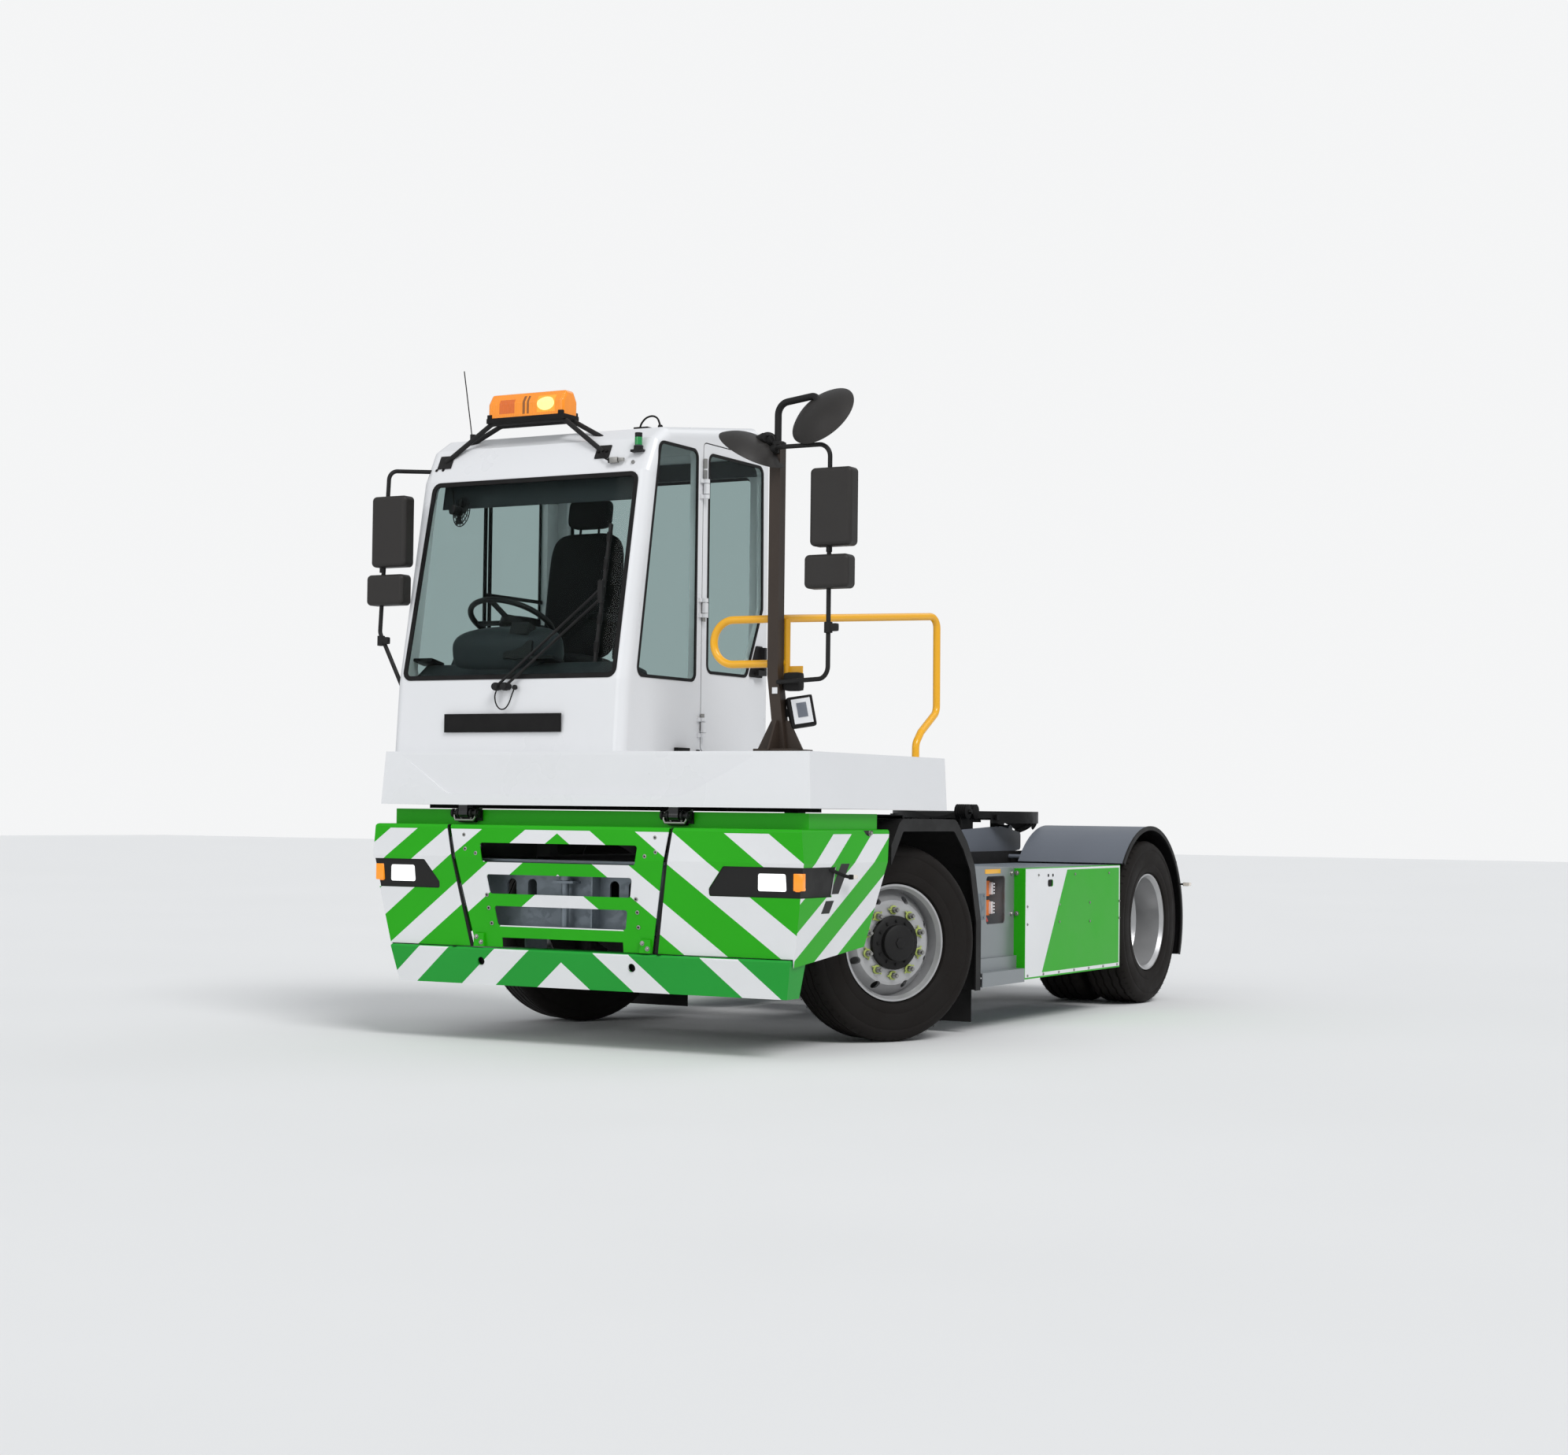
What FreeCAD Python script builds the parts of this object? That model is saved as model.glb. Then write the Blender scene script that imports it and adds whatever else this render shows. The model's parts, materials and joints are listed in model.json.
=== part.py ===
"""Terminal tractor with an offset cab, a lifting fifth wheel and steered front wheels.

Frame: +X forward, +Y to the vehicle's left, +Z up, origin on the ground midway along
the overall length. Lengths are millimetres and angles degrees. The front wheels stand
turned to the right and every other moving piece is drawn at rest.
"""
import FreeCAD, Part
import math
import os
import re
from math import cos, pi, radians, sin

import Sketcher
from FreeCAD import Placement, Rotation, Vector

SIZES = (
    # overall
    ("front_overhang", 1430, "front face to the front axle"),
    ("wheelbase", 3260, "front axle to rear axle"),
    ("rear_overhang", 600, "rear axle to the rear lamps"),
    ("overall_length", "=front_overhang + wheelbase + rear_overhang", "follows from the three above"),
    ("body_width", 2500, "deck, boxes and rear mudguards"),
    ("seat_gap", 0.3, "air between pieces seated on one another"),
    ("bead_gap", 1, "air between tyre and rim"),
    ("move_gap", 8, "air between pieces that move past each other"),
    ("pin_gap", 0.05, "radial air of a pin in its bore"),
    # wheels
    ("tyre_radius", 508, ""),
    ("tyre_width", 290, ""),
    ("tyre_shoulder", 42, "rounding of the tread edge"),
    ("flange_radius", 300, "rim flange"),
    ("rim_width", 250, "over both flanges"),
    ("rim_wall", 10, ""),
    ("disc_wall", 14, ""),
    ("flange_wall", 16, "rim flange's lip"),
    ("bead_radius", 286, "tyre's seat on the rim"),
    ("front_face", 104, "front disc's face from the wheel's middle"),
    ("front_bow", 28, "where the front disc meets the barrel"),
    ("rear_bow", 72, "where a twin disc meets the barrel"),
    ("cap_radius", 92, "hub cap"),
    ("hub_start", 84, "kingpin to the hub's inner end"),
    ("drum_start", 78, "kingpin to the brake drum's open edge"),
    ("stud_circle", 167.5, "radius of the wheel studs"),
    ("stud_radius", 15, "wheel nut, over its washer"),
    ("stud_count", 10, ""),
    ("hub_radius", 138, "hub barrel that fills the disc's centre"),
    ("vent_radius", 20, "hand hole in the disc"),
    ("vent_offset", 64, "hand holes outside the stud circle"),
    ("twin_pitch", 330, "centre to centre of the twin wheels"),
    ("rear_wheel_side", 1068, "centre of the outer rear wheel from the middle"),
    ("kingpin_side", 867, "kingpin from the middle"),
    ("kingpin_offset", 125, "kingpin to the middle of the wheel"),
    ("steer_rest", 29.6, "how far the front wheels stand to the right"),
    # axles and steering
    ("kingpin_radius", 24, ""),
    ("kingpin_eye", 48, "outer radius of the beam's eye"),
    ("eye_height", 110, ""),
    ("beam_height", 95, "front axle beam"),
    ("beam_width", 100, ""),
    ("beam_drop", 95, "beam's middle below the wheel centre"),
    ("spindle_radius", 42, ""),
    ("spindle_reach", 150, "kingpin to the spindle's end"),
    ("knuckle_radius", 62, ""),
    ("drum_radius", 205, "brake drum"),
    ("arm_length", 176, "steering arm"),
    ("tie_drop", 150, "tie rod below the wheel centre"),
    ("knuckle_lug", 55, "outer face of a knuckle lug beyond the eye"),
    ("lug_gap", 5, "lug to eye"),
    ("tie_radius", 20, "tie rod"),
    ("ball_radius", 11, "ball pin at each end of the tie rod"),
    ("axle_tube_radius", 72, "rear axle tube"),
    ("diff_radius", 205, "rear axle's final drive"),
    # frame
    ("rail_side", 430, "outer face of a rail from the middle"),
    ("rail_height", 240, ""),
    ("rail_flange", 85, ""),
    ("rail_wall", 9, ""),
    ("rail_top", 940, "top of the rails above the ground"),
    ("rail_front", 270, "nose face to the rails' front end"),
    ("spring_width", 76, ""),
    ("spring_length", 1500, ""),
    ("leaf_height", 14, "one spring leaf"),
    ("spring_pad", 16, "pad between beam and spring"),
    ("spring_eye_height", 630, ""),
    ("lamp_plinth", 24, "depth of the rear lamps"),
    ("beam_depth", 60, "rear beam"),
    ("rear_beam_in", 70, "end of the rear beam inside the body's side"),
    ("rear_beam_half", "=body_width / 2 - rear_beam_in", ""),
    # deck and cab tilt
    ("deck_top", 1458, ""),
    ("deck_bottom", 1189, "lower edge of the deck's skirt"),
    ("deck_front_setback", 58, "nose face to the skirt's lower edge"),
    ("deck_length", 1510, "along the skirt's lower edge"),
    ("deck_lean", 15, "how far the skirt's lower edge stands out"),
    ("deck_wall", 5, ""),
    ("deck_facet", 14, "depth of the hollow pressed in the front skirt"),
    ("tilt_setback", 95, "nose face to the tilt axis"),
    ("tilt_height", 1147, "tilt axis above the ground"),
    ("tilt_spread", 620, "each tilt hinge from the middle of the pair"),
    ("grille_shift", 125, "grille's middle to the right of the vehicle's middle"),
    ("tilt_pin", 12, "radius of the tilt pin"),
    ("tilt_lug", 25, "radius of the deck's lug"),
    # nose
    ("nose_top", 1090, ""),
    ("nose_crease", 930, "height where the sides are widest"),
    ("nose_bottom", 430, ""),
    ("nose_rake", 68, "how far the face falls back at its lower edge"),
    ("nose_top_in", 14, "nose's upper edge inside the body's side"),
    ("nose_half_top", "=body_width / 2 - nose_top_in", ""),
    ("nose_half_crease", "=body_width / 2", ""),
    ("nose_bottom_in", 85, "nose's lower edge inside the body's side"),
    ("nose_half_bottom", "=body_width / 2 - nose_bottom_in", ""),
    ("nose_wall", 5, ""),
    ("nose_bend", 16, "bend radius along the top"),
    ("side_rear_top", 922, "nose face to the side panel's upper rear corner"),
    ("side_rear_low", 770, "nose face to the side panel's lower rear corner"),
    ("side_low", 513, "height of the lower rear corner"),
    ("grille_half_top", 650, ""),
    ("grille_half_low", 528, ""),
    ("grille_low", 500, "height of the grille panel's lower corners"),
    ("panel_gap", 14, "gap beside the grille panel"),
    ("slot_height", 96, ""),
    ("slot_pitch", 157, "from one grille slot to the next"),
    ("slot_top", 1001, "upper edge of the highest slot"),
    ("slot_half", 464, "half the length of the highest slot"),
    ("slot_step", 36, "how much shorter each next slot is at each end"),
    ("slot_round", 14, ""),
    ("cowl_setback", 130, "nose face to the upright cowl under the deck"),
    ("cowl_half", 1205, ""),
    ("cowl_rear", 845, "nose face to the cowl's rear edge"),
    ("cowl_top", 1166, ""),
    ("lamp_low", 768, "lower edge of the lamp openings"),
    ("lamp_high", 912, ""),
    ("lamp_inner_left", 728, "inner end of the left opening"),
    ("lamp_inner_right", 843, "inner end of the right opening"),
    ("lamp_wrap", 332, "how far the openings run round the sides"),
    ("lamp_depth", 70, "black housing behind the opening"),
    ("lamp_inset", "=seat_gap", "housing behind the panel"),
    ("lamp_side", 1072, "middle of the headlamp"),
    ("lamp_width", 150, ""),
    ("lamp_height", 82, ""),
    ("signal_width", 34, ""),
    ("bar_top", 476, "lower bumper bar"),
    ("bar_bottom", 290, ""),
    ("bar_half_top", 1163, ""),
    ("bar_half_low", 1127, ""),
    ("bar_setback", 40, "nose face to the bar's upper edge"),
    ("bar_rake", 37, ""),
    ("bar_depth", 120, ""),
    ("bar_wall", 7, ""),
    ("bar_hole", 20, ""),
    ("tow_pin_radius", 19, ""),
    ("tow_plate", 12, ""),
    ("tow_setback", 165, "nose face to the upright tow plate"),
    # cab
    ("cab_left", 160, "cab's left face from the middle"),
    ("cab_inset", 3, "cab's right face inside the body's side"),
    ("cab_right", "=body_width / 2 - cab_inset", ""),
    ("cab_rear", 1620, "nose face to the cab's rear face"),
    ("cab_foot_setback", 130, "nose face to the cab's lower front edge"),
    ("cab_sill", 1820, "height where the windscreen starts to lean"),
    ("sill_setback", 157, "nose face to the cab at the sill"),
    ("brow", 2880, "height of the windscreen's upper edge"),
    ("brow_setback", 355, "nose face to the cab at the brow"),
    ("roof_front", 440, "nose face to the roof's front edge"),
    ("brow_rise", 172, "slope above the windscreen"),
    ("roof_edge", "=brow + brow_rise", "height of the roof's front edge"),
    ("roof_bend", 66, ""),
    ("roof_top", "=roof_edge + roof_bend", "height of the roof behind its front edge"),
    ("roof_rise", 120, "how far the roof rises to the rear"),
    ("roof_rear", "=roof_top + roof_rise", "height of the roof at the rear"),
    ("window_rise", 155, "side windows above the windscreen"),
    ("window_top", "=brow + window_rise", "upper edge of the side windows"),
    ("cab_wall", 46, ""),
    ("cab_floor", 40, ""),
    ("cab_round", 55, "rounding of the cab's upright corners"),
    ("glass", 6, "glass thickness"),
    ("glass_inset", 5, "glass behind the panel's face"),
    ("window_round", 45, ""),
    ("screen_left", 62, "cab's left face to the windscreen opening"),
    ("screen_right", 48, "cab's right face to the windscreen opening"),
    ("door_front", 890, "nose face to the door's hinge edge"),
    ("door_length", 690, ""),
    ("door_low", 1482, ""),
    ("door_head", 43, "door's edge above the side windows"),
    ("door_high", "=window_top + door_head", ""),
    ("door_gap", 6, ""),
    ("door_wall", 40, ""),
    ("door_round", 26, ""),
    ("door_hinge", 11, "radius of the door's hinge pin"),
    # rear boxes
    ("box_start", 1179, "front axle to the battery boxes"),
    ("box_gap", 626, "battery boxes to the rear axle"),
    ("box_front", "=front_overhang + box_start", "nose face to the battery boxes"),
    ("box_length", "=wheelbase - box_start - box_gap", "what the wheels leave"),
    ("box_low", 257, ""),
    ("box_high", 873, ""),
    ("box_inner", 560, "inner face of the boxes from the middle"),
    ("cover_depth", 67, ""),
    ("cover_wall", 6, ""),
    ("front_step", 610, "step frame's front end behind the front axle"),
    ("step_low", 390, "top of the step"),
    ("hatch_start", 127, "battery box to the hatch in the recessed wall"),
    ("hatch_length", 252, ""),
    ("hatch_low", 573, ""),
    ("hatch_height", 260, ""),
    ("well_depth", 150, "pocket behind the hatch"),
    ("step_wall_side", "=body_width / 2 - cover_depth", "recessed wall above the step"),
    ("guard_radius", 590, "rear mudguard's inner radius"),
    ("guard_outer", 1205, ""),
    ("guard_wall", 6, ""),
    ("guard_inner", 510, "inner edge of the rear mudguard"),
    ("wing_reach", 596, "front mudguard from the axle, fore and aft"),
    ("wing_top", 1142, ""),
    ("wing_low", 232, ""),
    ("wing_knee", 600, "height where the rear leg starts to lean"),
    ("wing_inner", 545, ""),
    ("wing_lip", 62, ""),
    ("wing_wall", 8, ""),
    ("wing_round", 90, ""),
    # lifting gear
    ("boom_ahead", 1865, "boom's pivot ahead of the rear axle"),
    ("boom_pivot_back", "=front_overhang + wheelbase - boom_ahead", ""),
    ("boom_pivot_height", 800, ""),
    ("boom_pin", 35, ""),
    ("boom_half", 318, "half the boom's width"),
    ("boom_plate", 22, ""),
    ("coupling_ahead", 145, "fifth wheel's pivot ahead of the rear axle"),
    ("coupling_back", "=front_overhang + wheelbase - coupling_ahead", ""),
    ("coupling_pivot_height", 1072, ""),
    ("coupling_pin", 32, ""),
    ("coupling_top", 1190, "fifth wheel's upper face"),
    ("coupling_plate", 22, ""),
    ("coupling_radius", 470, ""),
    ("coupling_horn", 122, "drop of the horns at their rear ends"),
    ("throat_radius", 27, "kingpin seat of the fifth wheel"),
    ("ram_side", 185, "lift cylinder from the middle"),
    ("ram_base_ahead", 1345, "cylinders' lower eye ahead of the rear axle"),
    ("ram_base_back", "=front_overhang + wheelbase - ram_base_ahead", ""),
    ("ram_base_height", 480, ""),
    ("ram_eye_ahead", 795, "cylinders' upper eye ahead of the rear axle"),
    ("ram_eye_back", "=front_overhang + wheelbase - ram_eye_ahead", ""),
    ("ram_eye_height", 860, ""),
    ("ram_barrel", 440, ""),
    ("ram_radius", 55, ""),
    ("rod_radius", 32, ""),
    ("ram_eye_half", 45, "half width of a ram eye"),
    ("eye_play", 5.5, "radial play of the rod eyes on their pins"),
    ("ram_pin", 22, ""),
    # mirrors, rail and roof
    ("mirror_left", 1316, "middle of the left tall mirror from the vehicle's middle"),
    ("mirror_right", 1306, "middle of the right tall mirror"),
    ("mirror_shift", 20, "how far the short mirrors stand to the right of the tall ones"),
    ("mirror_width", 220, "tall mirror"),
    ("mirror_tall", 370, "height of the tall mirror"),
    ("mirror_width_low", 235, "short mirror"),
    ("mirror_short", 160, "height of the short mirror"),
    ("mirror_depth", 76, ""),
    ("dish_radius", 175, "wide-angle mirrors"),
    ("dish_rise", 66, "depth of a wide-angle mirror"),
    ("dish_low_in", 111, "lower wide-angle mirror inside the post"),
    ("dish_low_drop", 26, "its middle below the post's top"),
    ("dish_high_out", 264, "upper wide-angle mirror outside the post"),
    ("dish_high_rise", 115, "its middle above the post's top"),
    ("mirror_tube", 11, "radius of the mirror arms"),
    ("mirror_high", 2606, "middle of the tall mirrors"),
    ("mirror_low", 2302, "middle of the short mirrors"),
    ("mirror_setback_left", 130, "nose face to the left mirrors"),
    ("mirror_setback_right", 185, "nose face to the right mirrors"),
    ("post_side", 960, "mirror post from the middle"),
    ("post_setback", 230, ""),
    ("post_width", 58, ""),
    ("post_top", 2935, ""),
    ("post_kink", 1830, "height where the post turns upright"),
    ("post_foot_out", 44, "post's foot outside its upper part"),
    ("rail_tube", 19, "radius of the handrail"),
    ("handrail_side", 1200, ""),
    ("handrail_high", 2196, "upper run of the handrail"),
    ("rail_loop", 108, "radius of the handrail's round end"),
    ("beacon_rise", 74, "light bar above the roof"),
    ("beacon_low", "=roof_top + beacon_rise", ""),
    ("beacon_height", 138, ""),
    ("beacon_spread", 490, "foot of the beacon frame from the light bar's middle"),
    ("beacon_width", 470, ""),
    ("beacon_depth", 136, ""),
    ("beacon_side", 638, "middle of the light bar to the right"),
    ("whip_reach", 440, "tip of the aerial above the roof's front edge"),
    ("whip_top", "=roof_edge + whip_reach", ""),
    ("whip_side", 1060, "aerial's foot from the middle"),
    ("whip_lean", 63, "aerial's tip outside its foot"),
    ("wiper_side", 586, "outer wiper pivot from the middle"),
    ("blade_side", 22, "wiper blade from the middle"),
    ("blade_foot", 85, "lower end of the blade above the sill"),
    ("blade_length", 698, ""),
    ("wheel_ring", 225, "radius of the steering wheel"),
    ("seat_side", 415, "seat's middle from the cab's right face"),
    ("seat_forward", 570, "seat's middle from the cab's rear face"),
    ("seat_raise", 90, "seat's suspension, raised"),
)

doc = FreeCAD.newDocument("TerminalTractor")
sheet = doc.addObject("Spreadsheet::Sheet", "Sizes")
for row, (alias, value, note) in enumerate(SIZES, start=1):
    sheet.set(f"A{row}", alias)
    sheet.set(f"B{row}", str(value))
    sheet.set(f"C{row}", note)
    sheet.setAlias(f"B{row}", alias)
doc.recompute()

ALIASES = {alias for alias, _, _ in SIZES}
WORD = re.compile(r"[a-z_][a-z0-9_]*")
AXIS_TURN = {
    "x": Rotation(Vector(0, 1, 0), 90),
    "y": Rotation(Vector(1, 0, 0), -90),
    "z": Rotation(),
}
LEFT, RIGHT = 1, -1
NODES = []


class Reader:
    """Gives a size from the sheet as a number."""

    def __getattr__(self, alias):
        return float(sheet.get(alias))


S = Reader()


# ---- expressions -------------------------------------------------------------------
def ex(text):
    """An expression in the sheet's aliases."""
    return WORD.sub(lambda m: "Sizes." + m.group() if m.group() in ALIASES else m.group(), str(text))


def back(text):
    """X of a point set back from the nose face."""
    return f"(overall_length / 2 - ({text}))"


def across(side, near, far):
    """The Y range of something that lies between near and far on one side."""
    return (near, far) if side == LEFT else (f"-({far})", f"-({near})")


AXLE_FRONT = back("front_overhang")
AXLE_REAR = back("front_overhang + wheelbase")


# ---- primitives and booleans -------------------------------------------------------
def box(x, y, z, name="Box"):
    solid = doc.addObject("Part::Box", name)
    for size, axis, (low, high) in zip(("Length", "Width", "Height"), "xyz", (x, y, z)):
        solid.setExpression(size, ex(f"({high}) - ({low})"))
        solid.setExpression(f".Placement.Base.{axis}", ex(low))
    return solid


def rod(axis, at, span, radius, name="Rod"):
    """A cylinder along an axis; at holds its two other coordinates in order."""
    solid = doc.addObject("Part::Cylinder", name)
    solid.Placement = Placement(Vector(), AXIS_TURN[axis])
    others = [letter for letter in "xyz" if letter != axis]
    for letter, text in zip(others + [axis], list(at) + [span[0]]):
        solid.setExpression(f".Placement.Base.{letter}", ex(text))
    solid.setExpression("Height", ex(f"({span[1]}) - ({span[0]})"))
    solid.setExpression("Radius", ex(radius))
    return solid


def fuse(*pieces, name="Joined"):
    if len(pieces) == 1:
        return pieces[0]
    joined = doc.addObject("Part::MultiFuse", name)
    joined.Shapes = list(pieces)
    return joined


def group(*pieces, name="Pair"):
    """Pieces of one node that don't touch."""
    pair = doc.addObject("Part::Compound", name)
    pair.Links = list(pieces)
    return pair


def cut(base, *tools, name="Trimmed"):
    piece = doc.addObject("Part::Cut", name)
    piece.Base = base
    piece.Tool = fuse(*tools)
    return piece


def common(base, tool, name="Shared"):
    piece = doc.addObject("Part::Common", name)
    piece.Base = base
    piece.Tool = tool
    return piece


def feature(shape, name):
    """A swept or free form that no single feature makes."""
    piece = doc.addObject("Part::Feature", name)
    piece.Shape = shape
    return piece


def mirrored(source, name="Mirror"):
    """The same piece on the vehicle's other side."""
    other = doc.addObject("Part::Mirroring", name)
    other.Source = source
    other.Normal = Vector(0, 1, 0)
    return other


# ---- sketched bodies -----------------------------------------------------------------
def outline(body, plane, height, points, name):
    """A closed polygon on an origin plane, each corner bound to the sheet."""
    sketch = body.newObject("Sketcher::SketchObject", name)
    role = plane.upper() + "_Plane"
    support = next(item for item in body.Origin.OriginFeatures if item.Role == role)
    sketch.AttachmentSupport = [(support, "")]
    sketch.MapMode = "FlatFace"
    sketch.setExpression("AttachmentOffset.Base.z", ex(height))
    turns = [2 * pi * step / len(points) for step in range(len(points) + 1)]
    start = [Vector(1000 * cos(turn), 1000 * sin(turn), 0) for turn in turns]
    for a, b in zip(start, start[1:]):
        sketch.addGeometry(Part.LineSegment(a, b), False)
    for index, (across_text, up_text) in enumerate(points):
        following = (index + 1) % len(points)
        sketch.addConstraint(Sketcher.Constraint("Coincident", index, 2, following, 1))
        for kind, text, value in (
            ("DistanceX", across_text, start[index].x),
            ("DistanceY", up_text, start[index].y),
        ):
            number = sketch.addConstraint(Sketcher.Constraint(kind, -1, 1, index, 1, value))
            sketch.setExpression(f"Constraints[{number}]", ex(text))
    return sketch


def prism(plane, points, low, high, name="Prism", rounding=None, pick=None):
    """A padded polygon between two heights on the plane's third axis."""
    body = doc.addObject("PartDesign::Body", name)
    height = f"-({high})" if plane == "xz" else low
    sketch = outline(body, plane, height, points, name + "Sketch")
    pad = body.newObject("PartDesign::Pad", name + "Pad")
    pad.Profile = sketch
    pad.setExpression("Length", ex(f"({high}) - ({low})"))
    doc.recompute()
    if rounding:
        along = {"xy": Vector(0, 0, 1), "xz": Vector(0, 1, 0), "yz": Vector(1, 0, 0)}[plane]
        rounded(body, rounding, pick or (lambda edge: runs_along(edge, along)))
    return body


def runs_along(edge, direction):
    a, b = edge.Vertexes[0].Point, edge.Vertexes[-1].Point
    return (b - a).Length > 1e-6 and (b - a).cross(direction).Length < 1e-6 * (b - a).Length


def rounded(body, radius, pick):
    """Fillets the body's edges that pick accepts."""
    tip = body.Tip
    names = [f"Edge{n}" for n, edge in enumerate(tip.Shape.Edges, start=1) if pick(edge)]
    fillet = body.newObject("PartDesign::Fillet", body.Name + "Round")
    fillet.Base = (tip, names)
    fillet.setExpression("Radius", ex(radius))
    body.Tip = fillet
    doc.recompute()
    return fillet


def turned(points, name="Turned"):
    """A solid of revolution about the Y axis; points are (radius, y)."""
    body = doc.addObject("PartDesign::Body", name)
    sketch = outline(body, "xy", 0, points, name + "Sketch")
    revolution = body.newObject("PartDesign::Revolution", name + "Revolution")
    revolution.Profile = sketch
    revolution.ReferenceAxis = (sketch, ["V_Axis"])
    revolution.Angle = 360
    doc.recompute()
    return body


def crossed(side_view, front_view, bend=None, name="Crossed"):
    """The solid whose side view (x, z) and front view (y, z) are both polygons."""
    along = {"xz": Vector(0, 1, 0), "yz": Vector(1, 0, 0)}
    halves = []
    for plane, points, span in (
        ("xz", side_view, ("-body_width", "body_width")),
        ("yz", front_view, ("-overall_length", "overall_length")),
    ):
        half = prism(plane, points, *span, name + plane)
        if bend:
            top = half.Shape.BoundBox.ZMax
            back_end = half.Shape.BoundBox.XMin + 1
            rounded(
                half, bend,
                lambda edge: runs_along(edge, along[plane]) and edge.Vertexes[0].Z > top - 1
                and (plane == "yz" or edge.Vertexes[0].X > back_end),
            )
        halves.append(half)
    return common(*halves, name=name)


def rectangle(x, y):
    return [(x[0], y[0]), (x[1], y[0]), (x[1], y[1]), (x[0], y[1])]


# ---- swept tubes -----------------------------------------------------------------------
def bent_path(points, bend):
    """Straight runs joined by tangent arcs."""
    edges, start = [], points[0]
    bends = bend if isinstance(bend, list) else [bend] * (len(points) - 2)
    for before, corner, after, bend in zip(points, points[1:], points[2:], bends):
        inward = (before - corner).normalize()
        outward = (after - corner).normalize()
        half = inward.getAngle(outward) / 2
        reach = bend * cos(half) / sin(half)
        middle = corner + (inward + outward).normalize() * (bend / sin(half) - bend)
        a, b = corner + inward * reach, corner + outward * reach
        edges += [Part.LineSegment(start, a).toShape(), Part.Arc(a, middle, b).toShape()]
        start = b
    edges.append(Part.LineSegment(start, points[-1]).toShape())
    return Part.Wire(edges)


def tube(points, radius, bend):
    path = bent_path(points, bend)
    profile = Part.Wire(Part.Circle(points[0], points[1] - points[0], radius).toShape())
    return path.makePipeShell([profile], True, False)


def publish(piece, node):
    piece.Label = node
    NODES.append(piece)
    return piece


# ---- road wheels -------------------------------------------------------------------------
# Local frame of every wheel: its axle along +Y outwards, the kingpin or axle middle at 0.
def tyre(middle, name):
    half = "tyre_width / 2"
    seat = "(rim_width / 2 - flange_wall)"
    profile = [
        ("bead_radius", f"{middle} - {seat}"),
        ("flange_radius + bead_gap", f"{middle} - {seat}"),
        ("flange_radius + 26", f"{middle} - {half} + 6"),
        ("(flange_radius + tyre_radius) / 2", f"{middle} - {half}"),
        ("tyre_radius - tyre_shoulder", f"{middle} - {half} + 5"),
        ("tyre_radius - 9", f"{middle} - {half} + tyre_shoulder / 2"),
        ("tyre_radius", f"{middle} - {half} + tyre_shoulder"),
        ("tyre_radius", f"{middle} + {half} - tyre_shoulder"),
        ("tyre_radius - 9", f"{middle} + {half} - tyre_shoulder / 2"),
        ("tyre_radius - tyre_shoulder", f"{middle} + {half} - 5"),
        ("(flange_radius + tyre_radius) / 2", f"{middle} + {half}"),
        ("flange_radius + 26", f"{middle} + {half} - 6"),
        ("flange_radius + bead_gap", f"{middle} + {seat}"),
        ("bead_radius", f"{middle} + {seat}"),
    ]
    return turned(profile, name)


def rim(middle, outward, face, bow, name):
    """Barrel, both flanges and the dished disc; face and bow are measured from the middle."""
    def at(text):
        return f"({middle}) + ({outward}) * ({text})"

    wall = "(bead_radius - bead_gap)"
    inside = f"({wall} - rim_wall)"
    half = "rim_width / 2"
    profile = [
        ("flange_radius", at(f"-{half}")),
        ("flange_radius", at(f"-{half} + flange_wall - bead_gap")),
        (wall, at(f"-{half} + flange_wall - bead_gap")),
        (wall, at(f"{half} - flange_wall + bead_gap")),
        ("flange_radius", at(f"{half} - flange_wall + bead_gap")),
        ("flange_radius", at(half)),
        ("flange_radius - 10", at(half)),
        (inside, at(f"{half} - 22")),
        (inside, at(bow)),
        ("stud_circle + 50", at(f"({face}) - 4")),
        ("stud_circle + 36", at(face)),
        ("hub_radius", at(face)),
        ("hub_radius", at(f"({face}) - disc_wall")),
        ("stud_circle + 32", at(f"({face}) - disc_wall")),
        ("stud_circle + 42", at(f"({face}) - disc_wall - 6")),
        (inside, at(f"({bow}) - disc_wall - 6")),
        (inside, at(f"-{half} + 22")),
        ("flange_radius - 10", at(f"-{half}")),
    ]
    return turned(profile, name)


def ring_of(count, start, make):
    """Copies set round the wheel's axle, each made by make(turn in degrees)."""
    copies = []
    for step in range(int(count)):
        piece = make()
        turn = doc.addObject("Part::Compound", "Turn")
        turn.Links = [piece]
        turn.Placement = Placement(Vector(), Rotation(Vector(0, 1, 0), 1))
        turn.setExpression(".Placement.Rotation.Angle", ex(f"360 / {count} * {step} + {start}"))
        copies.append(turn)
    return copies


def vents(low, high, start):
    return ring_of(8, start, lambda: rod("y", ("stud_circle + vent_offset", "0"), (low, high),
                                         "vent_radius"))


def nuts(low, high):
    return ring_of(
        S.stud_count, "18", lambda: rod("y", ("stud_circle", "0"), (low, high), "stud_radius")
    )


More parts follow.
